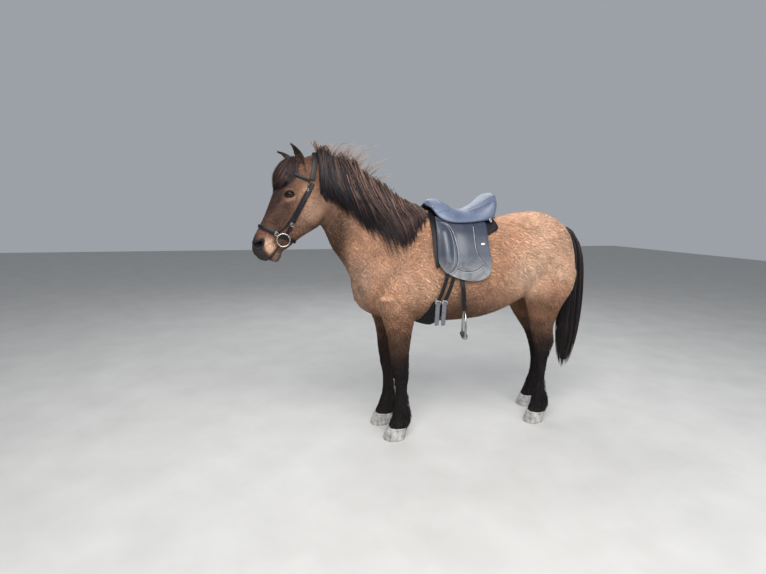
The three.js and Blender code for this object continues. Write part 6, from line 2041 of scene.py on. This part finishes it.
def build_saddle():
    st = []
    seat = put(build_seat(), "black_leather", "seat_leather_wear_and_sheen", "saddle_seat")
    # light: tubes of painted highlight beside the welts
    welts, light, edges = [], [], []
    for side in (1, -1):
        nm = "left" if side > 0 else "right"
        # edge piping of the seat and its skirt
        ys = SEAT_F[:, 0]
        _, edge = seat_off(ys, np.ones(len(ys)))
        P, D = saddle_point(seat_y(ys, np.ones(len(ys))), edge + 0.25, TREE + 3.2, side)
        edges.append(tube_ob("w", spline(P, 150), 2.6, seg=10))
        # inner line beside the piping
        P, D = seat_curve([(0.86, y) for y in (-205, -150, -80, -10, 60, 120, 160)], side, 130, 0.25)
        st.append((P, D))
        # front patch, its seam and the seams towards the cantle
        P, D = seat_curve([(0.98, -228), (0.84, -205), (0.72, -180), (0.66, -152), (0.45, -128), (0.30, -150), (0.22, -190), (0.20, -222)], side, 90, -0.35)
        welts.append(tube_ob("w", P, 1.15, seg=8))
        P2, D2 = seat_curve([(0.90, -222), (0.76, -198), (0.62, -172), (0.55, -150), (0.42, -138)], side, 70, 0.2)
        st.append((P2, D2))
        P, D = seat_curve([(0.36, -30), (0.37, 20), (0.40, 70), (0.44, 110), (0.50, 150), (0.52, 176)], side, 90, -0.3)
        welts.append(tube_ob("w", P, 1.15, seg=8))
        P, D = seat_curve([(0.53, -6), (0.58, 40), (0.64, 84), (0.68, 125), (0.70, 165)], side, 80, -0.3)
        welts.append(tube_ob("w", P, 1.1, seg=8))
        P2, D2 = seat_curve([(0.57, -4), (0.62, 40), (0.68, 84), (0.72, 125), (0.74, 160)], side, 80, 0.2)
        st.append((P2, D2))
        # stud on the pommel and ring at the back
        c, d = saddle_point(-243.0, 14.0, TREE + 12.5, side)
        a = np.linspace(0, 2 * np.pi, 24, endpoint=False)
        dd = unit(d[None])[0]
        e1 = unit(np.cross(dd, [0, 1.0, 0])[None])[0]
        e2 = np.cross(dd, e1)
        rings = [c + dd * h + (np.cos(a)[:, None] * e1 + np.sin(a)[:, None] * e2) * r for h, r in ((-4, 6.2), (0.2, 6.4), (1.6, 5.9), (2.6, 4.4), (3.1, 2.2), (3.2, 0.5))]
        put(loft_object("stud_" + nm, rings), "steel", "steel")
        c, d = saddle_point(106.0, 27.6, TREE + 8.0, side)
        dd = unit(d[None])[0]
        put(buckle("dee_" + nm, c, dd, unit(np.array([[0, 0.35, -0.94]]))[0], 30, 25, 3.6, False), "steel", "plate")
        # flap
        put(build_flap(side), "black_leather", "flap_leather_shade_and_scuffs", "saddle_flap_" + nm)
        knee = [(25.0, -236), (27.1, -195), (32.6, -171), (40.5, -157), (50.8, -149), (61.0, -143), (71.3, -145), (78.9, -156), (85.0, -178), (87.6, -200)]
        knee2 = [(26.6, -209), (30.7, -182), (37.9, -170), (46.6, -164), (55.7, -160), (65.9, -161), (74.9, -168), (82.0, -186)]
        rear = [(25.4, -8), (32.9, -11), (45.3, -25), (57.9, -29), (67.8, -17), (76.5, 12), (83.2, 47)]
        low = [(81.6, -151), (84.3, -117), (85.1, -73), (82.9, -28), (78.2, 5)]
        P, D = flap_curve(knee, side, 120, -0.1)
        welts.append(tube_ob("w", P, 1.9, seg=10))
        P, D = flap_curve([(a + 0.3, b + 5.0) for a, b in knee[1:]], side, 110, 0.5)
        # lighter tube beside the welt: a painted highlight along the raised welt
        light.append(tube_ob("w", P, 2.0, seg=8))
        P, D = flap_curve([(a + 0.4, b + 11) for a, b in knee[1:]], side, 110, 0.2)
        st.append((P, D))
        P, D = flap_curve(knee2, side, 100, -0.1)
        light.append(tube_ob("w", P, 1.5, seg=8))
        P, D = flap_curve(rear, side, 110, -0.1)
        welts.append(tube_ob("w", P, 1.7, seg=10))
        P, D = flap_curve([(a, b - 5.0) for a, b in rear[1:]], side, 100, 0.6)
        light.append(tube_ob("w", P, 2.1, seg=8))
        P, D = flap_curve([(a, b - 11) for a, b in rear[1:]], side, 100, 0.2)
        st.append((P, D))
        P, D = flap_curve(low, side, 80, -0.2)
        welts.append(tube_ob("w", P, 1.5, seg=8))
        P, D = flap_curve([(a + 1.1, b) for a, b in low], side, 80, 0.3)
        light.append(tube_ob("w", P, 1.7, seg=8))
        # piping round the free edge
        E = [(d, yf + 1.0) for d, yf in FLAP_F[6:, :2]] + [(96.0, -70), (96.1, -45)] + [(d, yr - 1.0) for d, yr in FLAP_F[::-1][:-4, [0, 2]]]
        Q = spline(np.array(E), 260)
        P, D = saddle_point(Q[:, 1], np.minimum(Q[:, 0], 95.9), flap_off(Q[:, 0], Q[:, 1]) - 1.6, side)
        edges.append(tube_ob("w", spline(P, 240), 2.1, seg=8))
        # a plain oval plate where a badge would be
        c, d = saddle_point(15.0, 54.7, flap_off(54.7, 15.0) + 0.2, side)
        dd = d / np.linalg.norm(d)
        e1 = unit(np.cross(dd, [0, 1.0, 0.2])[None])[0]
        e2 = np.cross(dd, e1)
        rings = [c + dd * h + (np.cos(a)[:, None] * e1 * 0.55 + np.sin(a)[:, None] * e2) * r for h, r in ((-2, 13.6), (0.6, 13.8), (1.8, 12.8), (2.3, 9.6), (2.4, 0.6))]
        put(loft_object("plate_" + nm, rings), "steel", "plate")
        # panel
        put(build_panel(side), "black_leather", "dark_leather", "saddle_panel_" + nm)
        # billets, buckles
        for dy, which in ((0, "front"), (38, "rear")):
            pts = [(-190 + dy, 1052, 7), (-198 + dy, 1020, 7), (-207 + dy, 985, 4), (-226 + dy, 925), (-247 + dy, 850), (-252 + dy, 790), (-255 + dy, 716)]
            K, Q, N = flank_path(side, pts, 15, 850, 110)
            name = "billet_strap_%s_%s" % (which, nm)
            put(band(name, Q, N, rounded_tip(110, 23, 0.05), 4), "black_leather", "strap", "billet_%s_%s" % (which, nm))
            st += edge_runs(Q[:-4], N[:-4], 23, 4)
            # punched holes
            holes = []
            T = tangents(Q)
            for f in (0.28, 0.36, 0.44, 0.52, 0.84, 0.91):
                i = int(f * 109)
                cc = Q[i] + N[i] * 4.7
                b = np.cross(T[i], N[i])
                rr = [cc + N[i] * h + (np.cos(a)[:, None] * T[i] + np.sin(a)[:, None] * b) * r for h, r in ((-1.0, 2.6), (0.12, 2.6), (0.18, 2.1), (0.05, 0.4))]
                holes.append(loft_object("h", rr))
            put(join("holes_%s_%s" % (which, nm), holes), "black_leather", "hole")
            # girth buckle and the girth's own end below it
            i = int(np.argmin(np.linalg.norm(Q - K[4], axis=1)))
            put(buckle("girth_steel_%s_%s" % (which, nm), Q[i] + N[i] * 5.4 + np.array([0, 0, 2.0]), N[i], -T[i] * -1.0, 33, 26, 4), "steel", "plate", "girth_buckle_%s_%s" % (which, nm))
            j0, j1 = i - 2, min(i + 44, 109)
            put(band("girth_end_%s_%s" % (which, nm), Q[j0:j1] + N[j0:j1] * 4.4, N[j0:j1], rounded_tip(j1 - j0, 27, 0.08), 5.0, crown=1.6), "girth_web", "grey_web")
            st += edge_runs(Q[j0:j1 - 3] + N[j0:j1 - 3] * 4.4, N[j0:j1 - 3], 27, 5.2)
        # stirrup leather: two layers
        K, Q, N = flank_path(side, [(-114, 1010, 10), (-113, 975, 9.5), (-111, 938), (-106, 880), (-102, 818), (-102, 803)], 17, 930, 90)
        put(band("stirrup_strap_inner_" + nm, Q, N, 27, 2.7), "black_leather", "strap", "stirrup_leather_" + nm)
        put(band("stirrup_strap_outer_" + nm, Q + N * 2.9, N, 27, 2.7), "black_leather", "strap")
        st += edge_runs(Q, N, 27, 5.7)
        put(build_iron(side), "steel", "steel", "stirrup_iron_" + nm)
        put(build_tread(side), "tread_rubber", "rubber", "stirrup_tread_" + nm)
    o = np.array([0.0, -195, 950])
    e2 = np.array([0, -0.3, -0.954])
    P, N, ac = ring_path(trunk_field, o, X3, e2 / np.linalg.norm(e2), 27, 153, 120, 1.5)
    put(band("girth_web_band", P, N, 92, 9.0, across=ac, crown=2.0), "girth_web", "web", "girth")
    for k in (-30, -10, 10, 30):
        st.append((P + ac * k + N * (9.0 + 0.4 + 2.0 * (1 - (k / 46) ** 2)), N))
    put(join("welt_dark", welts), "black_leather", "dark_leather")
    # the light tubes are painted highlights on the welts
    put(join("welt_painted_highlight", light), "black_leather", "welt_highlight_paint")
    put(join("edge_piping", edges), "black_leather", "flap_leather_shade_and_scuffs")
    put(stitch_mesh("saddle_thread", st, 4.8, 3.2, 0.45), "black_leather", "thread")


# ------------------------------------------------------------------ materials
# heights between which the flaps turn grey, partly scuffing and partly a painted highlight, in metres
FLAP_GREY_TOP, FLAP_GREY_LOW = 1.13 + SHIFT[2], 1.01 + SHIFT[2]


class Mat:
    """a node material on one principled shader"""

    def __init__(self, name):
        self.m = bpy.data.materials.new(name)
        self.m.use_nodes = True
        self.t = self.m.node_tree
        self.p = next(n for n in self.t.nodes if n.type == "BSDF_PRINCIPLED")
        self.co = self.t.nodes.new("ShaderNodeTexCoord").outputs["Object"]

    def set(self, **kw):
        for k, v in kw.items():
            self.p.inputs[k.replace("_", " ")].default_value = v
        return self

    def noise(self, scale, detail=4.0, rough=0.55, stretch=None, distort=0.0):
        src = self.co
        if stretch is not None:
            mp = self.t.nodes.new("ShaderNodeMapping")
            mp.inputs["Scale"].default_value = stretch
            self.t.links.new(src, mp.inputs["Vector"])
            src = mp.outputs["Vector"]
        n = self.t.nodes.new("ShaderNodeTexNoise")
        n.inputs["Scale"].default_value = scale
        n.inputs["Detail"].default_value = detail
        n.inputs["Roughness"].default_value = rough
        n.inputs["Distortion"].default_value = distort
        self.t.links.new(src, n.inputs["Vector"])
        return n.outputs["Fac"]

    def voronoi(self, scale, feature="F1"):
        n = self.t.nodes.new("ShaderNodeTexVoronoi")
        n.feature = feature
        n.inputs["Scale"].default_value = scale
        self.t.links.new(self.co, n.inputs["Vector"])
        return n.outputs["Distance"]

    def wave(self, scale, direction="Z", distort=1.0, detail=2.0):
        n = self.t.nodes.new("ShaderNodeTexWave")
        n.bands_direction = direction
        n.inputs["Scale"].default_value = scale
        n.inputs["Distortion"].default_value = distort
        n.inputs["Detail"].default_value = detail
        self.t.links.new(self.co, n.inputs["Vector"])
        return n.outputs["Fac"]

    def span(self, src, a, b, lo=0.0, hi=1.0):
        n = self.t.nodes.new("ShaderNodeMapRange")
        n.inputs["From Min"].default_value = a
        n.inputs["From Max"].default_value = b
        n.inputs["To Min"].default_value = lo
        n.inputs["To Max"].default_value = hi
        self.t.links.new(src, n.inputs["Value"])
        return n.outputs["Result"]

    def blend(self, fac, a, b, kind="MIX"):
        n = self.t.nodes.new("ShaderNodeMix")
        n.data_type = "RGBA"
        n.blend_type = kind
        for s, v in (("Factor", fac), ("A", a), ("B", b)):
            sock = next(i for i in n.inputs if i.name == s and i.enabled)
            if isinstance(v, (int, float)):
                sock.default_value = v
            elif isinstance(v, (tuple, list)):
                sock.default_value = (*v, 1.0)[:4]
            else:
                self.t.links.new(v, sock)
        return next(o for o in n.outputs if o.enabled)

    def height(self, top, low):
        """0 at the height top, 1 at the height low"""
        n = self.t.nodes.new("ShaderNodeSeparateXYZ")
        self.t.links.new(self.co, n.inputs["Vector"])
        return self.span(n.outputs["Z"], top, low)

    def scaled(self, a, b):
        n = self.t.nodes.new("ShaderNodeMath")
        n.operation = "MULTIPLY"
        self.t.links.new(a, n.inputs[0])
        self.t.links.new(b, n.inputs[1])
        return n.outputs["Value"]

    def tint(self, name="tint"):
        n = self.t.nodes.new("ShaderNodeAttribute")
        n.attribute_name = name
        return n.outputs["Color"]

    def scale(self, col, fac):
        n = self.t.nodes.new("ShaderNodeVectorMath")
        n.operation = "SCALE"
        self.t.links.new(col, n.inputs[0])
        if isinstance(fac, (int, float)):
            n.inputs["Scale"].default_value = fac
        else:
            self.t.links.new(fac, n.inputs["Scale"])
        return n.outputs["Vector"]

    def colour(self, src):
        if isinstance(src, (tuple, list)):
            self.p.inputs["Base Color"].default_value = (*src, 1.0)[:4]
        else:
            self.t.links.new(src, self.p.inputs["Base Color"])
        return self

    def rough(self, src):
        self.t.links.new(src, self.p.inputs["Roughness"])
        return self

    def bump(self, src, strength, dist):
        n = self.t.nodes.new("ShaderNodeBump")
        n.inputs["Strength"].default_value = strength
        n.inputs["Distance"].default_value = dist
        self.t.links.new(src, n.inputs["Height"])
        cur = self.p.inputs["Normal"]
        if cur.is_linked:
            self.t.links.new(cur.links[0].from_socket, n.inputs["Normal"])
            self.t.links.remove(cur.links[0])
        self.t.links.new(n.outputs["Normal"], cur)
        return self


def make_materials():
    M = {}
    m = Mat("skin")
    v = m.noise(900, 3, 0.6)
    m.colour(m.scale(m.tint(), m.span(v, 0.3, 0.7, 0.82, 1.12)))
    m.rough(m.span(m.noise(260, 2), 0.3, 0.7, 0.55, 0.75))
    m.bump(m.noise(700, 3, 0.6), 0.35, 0.0008)
    m.bump(m.voronoi(420), 0.2, 0.0006)
    m.set(Specular_IOR_Level=0.22)
    M["skin"] = m.m

    m = Mat("coat")
    v = m.noise(620, 2, 0.6)
    w = m.noise(46, 2, 0.5)
    m.colour(m.scale(m.tint(), m.span(v, 0.3, 0.7, 0.84, 1.14)))
    m.rough(m.span(w, 0.3, 0.7, 0.50, 0.68))
    m.bump(m.noise(1500, 2, 0.6), 0.3, 0.0004)
    m.set(Specular_IOR_Level=0.16)
    M["coat"] = m.m

    m = Mat("hair")
    v = m.noise(500, 2, 0.6)
    m.colour(m.scale(m.tint(), m.span(v, 0.3, 0.7, 0.8, 1.2)))
    m.rough(m.span(m.noise(60, 2), 0.3, 0.7, 0.36, 0.52))
    m.bump(m.noise(1800, 2, 0.6), 0.3, 0.0003)
    m.set(Specular_IOR_Level=0.26)
    M["hair"] = m.m

    m = Mat("hair_core")
    v = m.noise(140, 4, 0.6, (1.0, 1.0, 0.25))
    m.colour(m.blend(m.span(v, 0.35, 0.7), (.006, .005, .006), (.022, .016, .016)))
    m.rough(m.span(v, 0.3, 0.7, 0.55, 0.7))
    m.bump(v, 0.8, 0.003)
    M["core"] = m.m

    m = Mat("horn")
    rings = m.wave(11, "Z", 3.5, 3)
    v = m.noise(42, 5, 0.65, (1, 1, 0.35))
    base = m.blend(m.span(v, 0.32, 0.68), (.150, .135, .120), (.52, .51, .50))
    m.colour(m.blend(m.span(rings, 0.2, 0.9, 0.0, 0.18), base, (.56, .54, .51)))
    m.rough(m.span(v, 0.3, 0.7, 0.42, 0.62))
    m.bump(rings, 0.12, 0.0010)
    m.bump(m.noise(300, 3, 0.6, (1, 1, 0.12)), 0.3, 0.0006)
    M["horn"] = m.m

    m = Mat("eye")
    m.colour(m.tint())
    m.rough(m.span(m.noise(50, 2), 0.3, 0.7, 0.05, 0.09))
    m.bump(m.noise(90, 2), 0.02, 0.0003)
    m.set(Specular_IOR_Level=0.22, Coat_Weight=0.12, Coat_Roughness=0.02, Coat_IOR=1.38, IOR=1.38)
    M["eye"] = m.m

    # seat leather: its blue-grey base colour is a painted reflection of the sky on black leather; the lighter patches
    # are wear
    m = Mat("seat_leather_wear_and_sheen")
    soft = m.noise(9, 4, 0.55)
    wear = m.noise(28, 5, 0.6)
    c = m.blend(m.span(soft, 0.3, 0.72), (.060, .080, .132), (.098, .126, .196))
    c = m.blend(m.span(wear, 0.56, 0.78, 0.0, 0.45), c, (.150, .165, .195))
    m.colour(c)
    m.rough(m.span(wear, 0.3, 0.75, 0.42, 0.58))
    m.bump(m.voronoi(900), 0.10, 0.0004)
    m.bump(m.noise(500, 3, 0.6), 0.10, 0.0005)
    m.bump(m.noise(40, 3, 0.6, (1, 1, 0.5), 0.6), 0.12, 0.0016)
    m.set(Specular_IOR_Level=0.62, Coat_Weight=0.12, Coat_Roughness=0.28)
    M["seat_leather_wear_and_sheen"] = m.m

    # flap leather: a darker copy of the seat leather, painted shade on the hanging flaps, with a bluish painted
    # reflection of the sky
    m = Mat("flap_leather_shade_and_scuffs")
    soft = m.noise(7, 4, 0.55)
    wear = m.noise(26, 5, 0.6)
    c = m.blend(m.span(soft, 0.3, 0.72), (.017, .023, .039), (.034, .045, .072))
    c = m.blend(m.span(wear, 0.56, 0.78, 0.0, 0.45), c, (.070, .080, .102))
    # paler grey towards the foot: partly scuffing, partly a painted highlight where the curved lower flap catches the
    # sky; the roughness does not change with height
    low = m.height(FLAP_GREY_TOP, FLAP_GREY_LOW)
    c = m.blend(m.scaled(low, m.span(wear, 0.30, 0.62, 0.30, 1.0)), c, (.240, .245, .250))
    m.colour(c)
    m.rough(m.span(wear, 0.3, 0.75, 0.36, 0.50))
    m.bump(m.voronoi(900), 0.10, 0.0004)
    m.bump(m.noise(500, 3, 0.6), 0.10, 0.0005)
    m.bump(m.noise(40, 3, 0.6, (1, 1, 0.5), 0.6), 0.12, 0.0016)
    m.set(Specular_IOR_Level=0.52, Coat_Weight=0.24, Coat_Roughness=0.20)
    M["flap_leather_shade_and_scuffs"] = m.m

    # painted highlight along the welts, in a light grey
    m = Mat("welt_highlight_paint")
    wear = m.noise(60, 4, 0.6)
    m.colour(m.blend(m.span(wear, 0.35, 0.7), (.160, .180, .220), (.380, .400, .430)))
    m.rough(m.span(wear, 0.3, 0.75, 0.32, 0.5))
    m.bump(m.voronoi(800), 0.15, 0.0004)
    m.set(Specular_IOR_Level=0.6)
    M["welt_highlight_paint"] = m.m

    m = Mat("dark_leather")
    wear = m.noise(22, 4, 0.6)
    m.colour(m.blend(m.span(wear, 0.35, 0.75), (.0030, .0031, .0040), (.0110, .0115, .0140)))
    m.rough(m.span(wear, 0.3, 0.75, 0.40, 0.58))
    m.bump(m.voronoi(620), 0.25, 0.0006)
    m.bump(m.noise(60, 3, 0.6), 0.15, 0.0012)
    m.set(Specular_IOR_Level=0.25)
    M["dark_leather"] = m.m

    m = Mat("strap_leather")
    wear = m.noise(70, 5, 0.62)
    c = m.blend(m.span(wear, 0.35, 0.75), (.0030, .0030, .0040), (.0105, .0110, .0135))
    m.colour(m.blend(m.span(m.noise(210, 2), 0.62, 0.8, 0, 0.5), c, (.024, .024, .026)))
    m.rough(m.span(wear, 0.3, 0.75, 0.34, 0.55))
    m.bump(m.voronoi(1000), 0.2, 0.0004)
    m.bump(m.noise(120, 3, 0.6), 0.15, 0.0008)
    m.set(Specular_IOR_Level=0.24)
    M["strap"] = m.m

    m = Mat("web")
    a = m.wave(330, "DIAGONAL", 0.6, 2)
    b = m.wave(200, "Z", 0.3, 1)
    wear = m.noise(40, 3, 0.6)
    c = m.blend(m.span(a, 0.2, 0.8), (.0045, .0045, .0055), (.017, .018, .022))
    m.colour(m.blend(m.span(wear, 0.5, 0.8, 0, 0.4), c, (.040, .040, .042)))
    m.rough(m.span(wear, 0.3, 0.7, 0.75, 0.92))
    m.bump(a, 0.6, 0.0009)
    m.bump(b, 0.35, 0.0007)
    m.set(Specular_IOR_Level=0.15)
    M["web"] = m.m

    m = Mat("grey_web")
    a = m.wave(330, "DIAGONAL", 0.6, 2)
    wear = m.noise(40, 3, 0.6)
    c = m.blend(m.span(a, 0.2, 0.8), (.062, .065, .076), (.190, .200, .228))
    m.colour(m.blend(m.span(wear, 0.5, 0.8, 0, 0.4), c, (.070, .074, .086)))
    m.rough(m.span(wear, 0.3, 0.7, 0.75, 0.92))
    m.bump(a, 0.6, 0.0009)
    m.set(Specular_IOR_Level=0.2)
    M["grey_web"] = m.m

    m = Mat("steel")
    sc = m.noise(140, 4, 0.65, (1, 1, 5))
    m.colour(m.blend(m.span(sc, 0.3, 0.75), (.30, .285, .26), (.50, .48, .45)))
    m.rough(m.span(sc, 0.3, 0.75, 0.20, 0.38))
    m.bump(sc, 0.06, 0.0004)
    m.set(Metallic=1.0)
    M["steel"] = m.m

    m = Mat("plate")
    sc = m.noise(240, 3, 0.6)
    m.colour(m.blend(m.span(sc, 0.3, 0.75), (.70, .69, .67), (.88, .87, .85)))
    m.rough(m.span(sc, 0.3, 0.75, 0.30, 0.46))
    m.bump(sc, 0.08, 0.0004)
    m.set(Metallic=0.75)
    M["plate"] = m.m

    m = Mat("rubber")
    v = m.noise(90, 4, 0.6)
    m.colour(m.blend(m.span(v, 0.35, 0.75), (.018, .018, .020), (.062, .060, .058)))
    m.rough(m.span(v, 0.3, 0.7, 0.72, 0.9))
    m.bump(m.noise(800, 3, 0.6), 0.3, 0.0005)
    M["rubber"] = m.m

    m = Mat("thread")
    v = m.noise(500, 2)
    m.colour(m.blend(m.span(v, 0.35, 0.7), (.050, .052, .062), (.130, .135, .150)))
    m.rough(m.span(v, 0.3, 0.7, 0.55, 0.7))
    m.bump(v, 0.4, 0.0003)
    M["thread"] = m.m

    m = Mat("hole")
    v = m.noise(300, 2)
    m.colour(m.blend(m.span(v, 0.35, 0.7), (.003, .003, .003), (.008, .008, .009)))
    m.rough(m.span(v, 0.3, 0.7, 0.7, 0.9))
    M["hole"] = m.m

    m = Mat("floor")
    v = m.noise(3.0, 5, 0.6)
    m.colour(m.blend(m.span(v, 0.3, 0.7), (.47, .465, .45), (.53, .525, .51)))
    m.rough(m.span(v, 0.3, 0.7, 0.75, 0.85))
    M["floor"] = m.m
    return M


def tint_mesh(o, P, N):
    """colour over the skin itself"""
    me = o.data
    at = me.color_attributes.new("tint", "FLOAT_COLOR", "POINT")
    C = np.ones((len(P), 4), np.float32)
    C[:, :3] = markings(P, N)
    at.data.foreach_set("color", C.ravel())


# ------------------------------------------------------------------ putting it together
def main():
    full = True
    # skin
    me, co = build_skin()
    me.calc_loop_triangles()
    tris = np.zeros(len(me.loop_triangles) * 3, np.int32)
    me.loop_triangles.foreach_get("vertices", tris)
    tris = tris.reshape(-1, 3)
    nr = np.zeros(len(me.vertices) * 3)
    me.vertices.foreach_get("normal", nr)
    nr = nr.reshape(-1, 3)
    me.vertices.foreach_set("co", world(co).astype(np.float32).ravel())
    me.polygons.foreach_set("use_smooth", np.ones(len(me.polygons), bool))
    me.update()
    skin = bpy.data.objects.new("skin", me)
    bpy.context.scene.collection.objects.link(skin)
    tint_mesh(skin, co, nr)
    flesh_nodes = [k for k in NODES if k in ("head", "neck", "trunk", "ear_left", "ear_right") or "_leg_" in k]
    # ears
    parts = [skin]
    for side in (1, -1):
        R = ear_rings(side)
        o = loft_object("ear_skin", R)
        P = R.reshape(-1, 3)
        n = np.zeros(len(P) * 3)
        o.data.vertices.foreach_get("normal", n)
        n = n.reshape(-1, 3)
        at = o.data.color_attributes.new("tint", "FLOAT_COLOR", "POINT")
        C = np.ones((len(P), 4), np.float32)
        C[:, :3] = ear_colour(side, P)
        at.data.foreach_set("color", C.ravel())
        parts.append(o)
        lid, lash = build_lids(side)
        at = lid.data.color_attributes.new("tint", "FLOAT_COLOR", "POINT")
        C = np.ones((len(lid.data.vertices), 4), np.float32)
        C[:, :3] = (.012, .009, .009)
        at.data.foreach_set("color", C.ravel())
        parts.append(lid)
        put(lash, "long_hair", "hair")
        eye = build_eye(side)
        put(eye, "eye", "eye", "eye_left" if side > 0 else "eye_right")
    skin = join("skin", parts)
    put(skin, "coat_tan", "skin", *flesh_nodes)
    for o in coat_pieces(me, co, nr, tris):
        put(o, "coat_tan", "coat")
    for o in ear_tufts():
        put(o, "coat_brown", "coat")
    a, b, c = build_mane()
    for o in a:
        put(o, "long_hair", "hair", "mane")
    put(b, "long_hair", "core", "mane")
    for o in c:
        put(o, "long_hair", "hair")
    a, b = build_forelock()
    put(a, "long_hair", "hair", "forelock")
    put(b, "long_hair", "core", "forelock")
    a, b = build_tail()
    put(a, "long_hair", "hair", "tail")
    put(b, "long_hair", "core", "tail")
    put(build_feather(), "coat_black", "hair")
    for name, t in LIMBS.items():
        o = build_hoof(name + "_hoof_horn", t, 27 if name.endswith("fore") else 25)
        put(o, "hoof_horn", "horn", name + "_hoof")
    build_bridle()
    build_saddle()

    M = make_materials()
    for o, slot, key, nodes in PIECES:
        o.data.materials.clear()
        o.data.materials.append(M[key])
        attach(o, "root")
        if nodes:
            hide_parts(*nodes)
    stage(M)


def ear_colour(side, P):
    b, axis, L, op, wide = ear_frame(side)
    Q = P - b
    u = (Q @ axis) / L
    w, d, hollow, bow = [np.interp(u, [e[0] for e in EAR], [e[k] for e in EAR]) for k in (1, 2, 3, 4)]
    front = (Q @ op + bow) / np.maximum(d, 1)
    across = np.abs(Q @ wide) / np.maximum(w, 1)
    c = np.repeat(np.array([[.110, .062, .042]]), len(P), 0)
    c = mix(c, [.034, .021, .018], sr(u, 0.35, 0.8))
    c = mix(c, [.200, .114, .073], 0.8 * sr(u, 0.30, 0.0) * (front < 0.3))
    inner = sr(across, 0.9, 0.55) * (front > -0.35) * sr(hollow, 0.2, 0.7)
    c = mix(c, [.040, .026, .022], 0.9 * inner)
    c = mix(c, [.028, .018, .016], 0.8 * sr(across, 0.75, 0.98) * sr(u, 0.2, 0.5))
    return c


def ear_tufts():
    """short hair on the ears, longer within"""
    out = []
    roots, Ns, Ts, Ls, Ws, lifts, cols = [], [], [], [], [], [], []
    for side in (1, -1):
        rg = np.random.default_rng(70 + side)
        b, axis, L, op, wide = ear_frame(side)
        R = ear_rings(side, 40, 6)
        m, n, _ = R.shape
        k = 2600
        i, j = rg.integers(0, m - 1, k), rg.integers(0, n, k)
        fi, fj = rg.random((k, 1)), rg.random((k, 1))
        A, B_, C_, D_ = R[i, j], R[i + 1, j], R[i, (j + 1) % n], R[i + 1, (j + 1) % n]
        P = (A * (1 - fi) + B_ * fi) * (1 - fj) + (C_ * (1 - fi) + D_ * fi) * fj
        N = unit(np.cross(C_ - A, B_ - A))
        cen = (R.mean(1))[i]
        outw = ((P - cen) * N).sum(1)
        # the hollow face looks along op, the rest away from the axis
        a = 2 * np.pi * (j + fj[:, 0]) / n
        face = np.where(np.sin(a) > 0.15, (N @ op), outw)
        N = np.where((face < 0)[:, None], -N, N)
        T = unit(axis[None] - N * (N @ axis)[:, None])
        inside = (np.sin(a) > 0.15) & (np.abs(np.cos(a)) < 0.86)
        u = ((P - b) @ axis) / L
        keep = u > -0.12
        ln = np.where(inside, rg.uniform(11, 20, k), rg.uniform(6, 9.5, k))
        wd = np.where(inside, rg.uniform(1.1, 1.7, k), rg.uniform(1.6, 2.3, k))
        lf = np.where(inside, rg.uniform(2, 6.0, k), rg.uniform(0.6, 1.6, k))
        col = ear_colour(side, P)
        col = np.where(inside[:, None], col * 0.55 + np.array([.075, .052, .042]) * 0.45, col) * rg.uniform(0.8, 1.25, (k, 1))
        for lst, v in ((roots, P), (Ns, N), (Ts, T), (Ls, ln), (Ws, wd), (lifts, lf), (cols, col)):
            lst.append(v[keep])
    P, N, T, Ln, Wd, Lf, Co = [np.concatenate(v) for v in (roots, Ns, Ts, Ls, Ws, lifts, cols)]
    rg = np.random.default_rng(77)
    uv = np.stack([0.90 + 0.08 * (P[:, 0] + 110) / 220, 0.02 + 0.30 * np.clip((P[:, 2] - 1560) / 170, 0, 1)], 1)
    out.append(tuft_mesh("coat_ears", P, T, N, Ln, Wd, Lf, Co, Co * 1.15, uv, rg.normal(0, 0.12, len(P)), sink=0.6))
    return out


def stage(M):
    sc = bpy.context.scene
    # floor
    bm = bmesh.new()
    bmesh.ops.create_grid(bm, x_segments=12, y_segments=12, size=14)
    me = bpy.data.meshes.new("floor")
    for v in bm.verts:
        v.co.z = -0.0008
    bm.to_mesh(me)
    bm.free()
    o = bpy.data.objects.new("floor", me)
    sc.collection.objects.link(o)
    o.data.materials.append(M["floor"])
    # camera
    psi, pitch, roll = 17 * RAD, 9 * RAD, 0.7 * RAD
    f0 = np.array([-math.cos(psi), math.sin(psi), 0])
    up = np.array([0, 0, 1.0])
    r0 = np.cross(f0, up)
    f = f0 * math.cos(pitch) - up * math.sin(pitch)
    u = np.cross(r0, f)
    r = r0 * math.cos(roll) + u * math.sin(roll)
    u2 = -r0 * math.sin(roll) + u * math.cos(roll)
    cam = bpy.data.objects.new("camera", bpy.data.cameras.new("camera"))
    sc.collection.objects.link(cam)
    C = np.array([2.800, -1.366, 1.38]) + SHIFT
    cam.matrix_world = Matrix([[r[i], u2[i], -f[i], C[i]] for i in range(3)] + [[0, 0, 0, 1]])
    cam.data.sensor_width = 36.0
    cam.data.lens = 490.0 * 36.0 / 766.0
    cam.data.clip_end = 100
    sc.camera = cam
    # light: soft and high, a little from the front left
    def area(name, loc, target, size, power, col=(1, 1, 1)):
        L = bpy.data.lights.new(name, "AREA")
        L.shape = "RECTANGLE"
        L.size, L.size_y = size
        L.energy = power
        L.color = col
        ob = bpy.data.objects.new(name, L)
        sc.collection.objects.link(ob)
        ob.location = loc
        ob.rotation_euler = (Vector(target) - Vector(loc)).to_track_quat("-Z", "Y").to_euler()
    area("key", (3.0, -0.9, 3.9), (0, -0.1, 1.0), (3.4, 3.4), 300, (1.0, 0.985, 0.97))
    area("fill", (3.6, 2.6, 2.6), (0, 0.2, 0.9), (2.6, 2.6), 60, (0.95, 0.97, 1.0))
    area("back", (-2.8, 0.6, 3.8), (0, 0, 1.0), (3.0, 3.0), 80, (0.97, 0.98, 1.0))
    w = bpy.data.worlds.new("world")
    w.use_nodes = True
    bg = next(n for n in w.node_tree.nodes if n.type == "BACKGROUND")
    bg.inputs["Color"].default_value = (0.80, 0.85, 0.92, 1)
    bg.inputs["Strength"].default_value = 0.42
    sc.world = w
    sc.view_settings.view_transform = "Standard"


main()
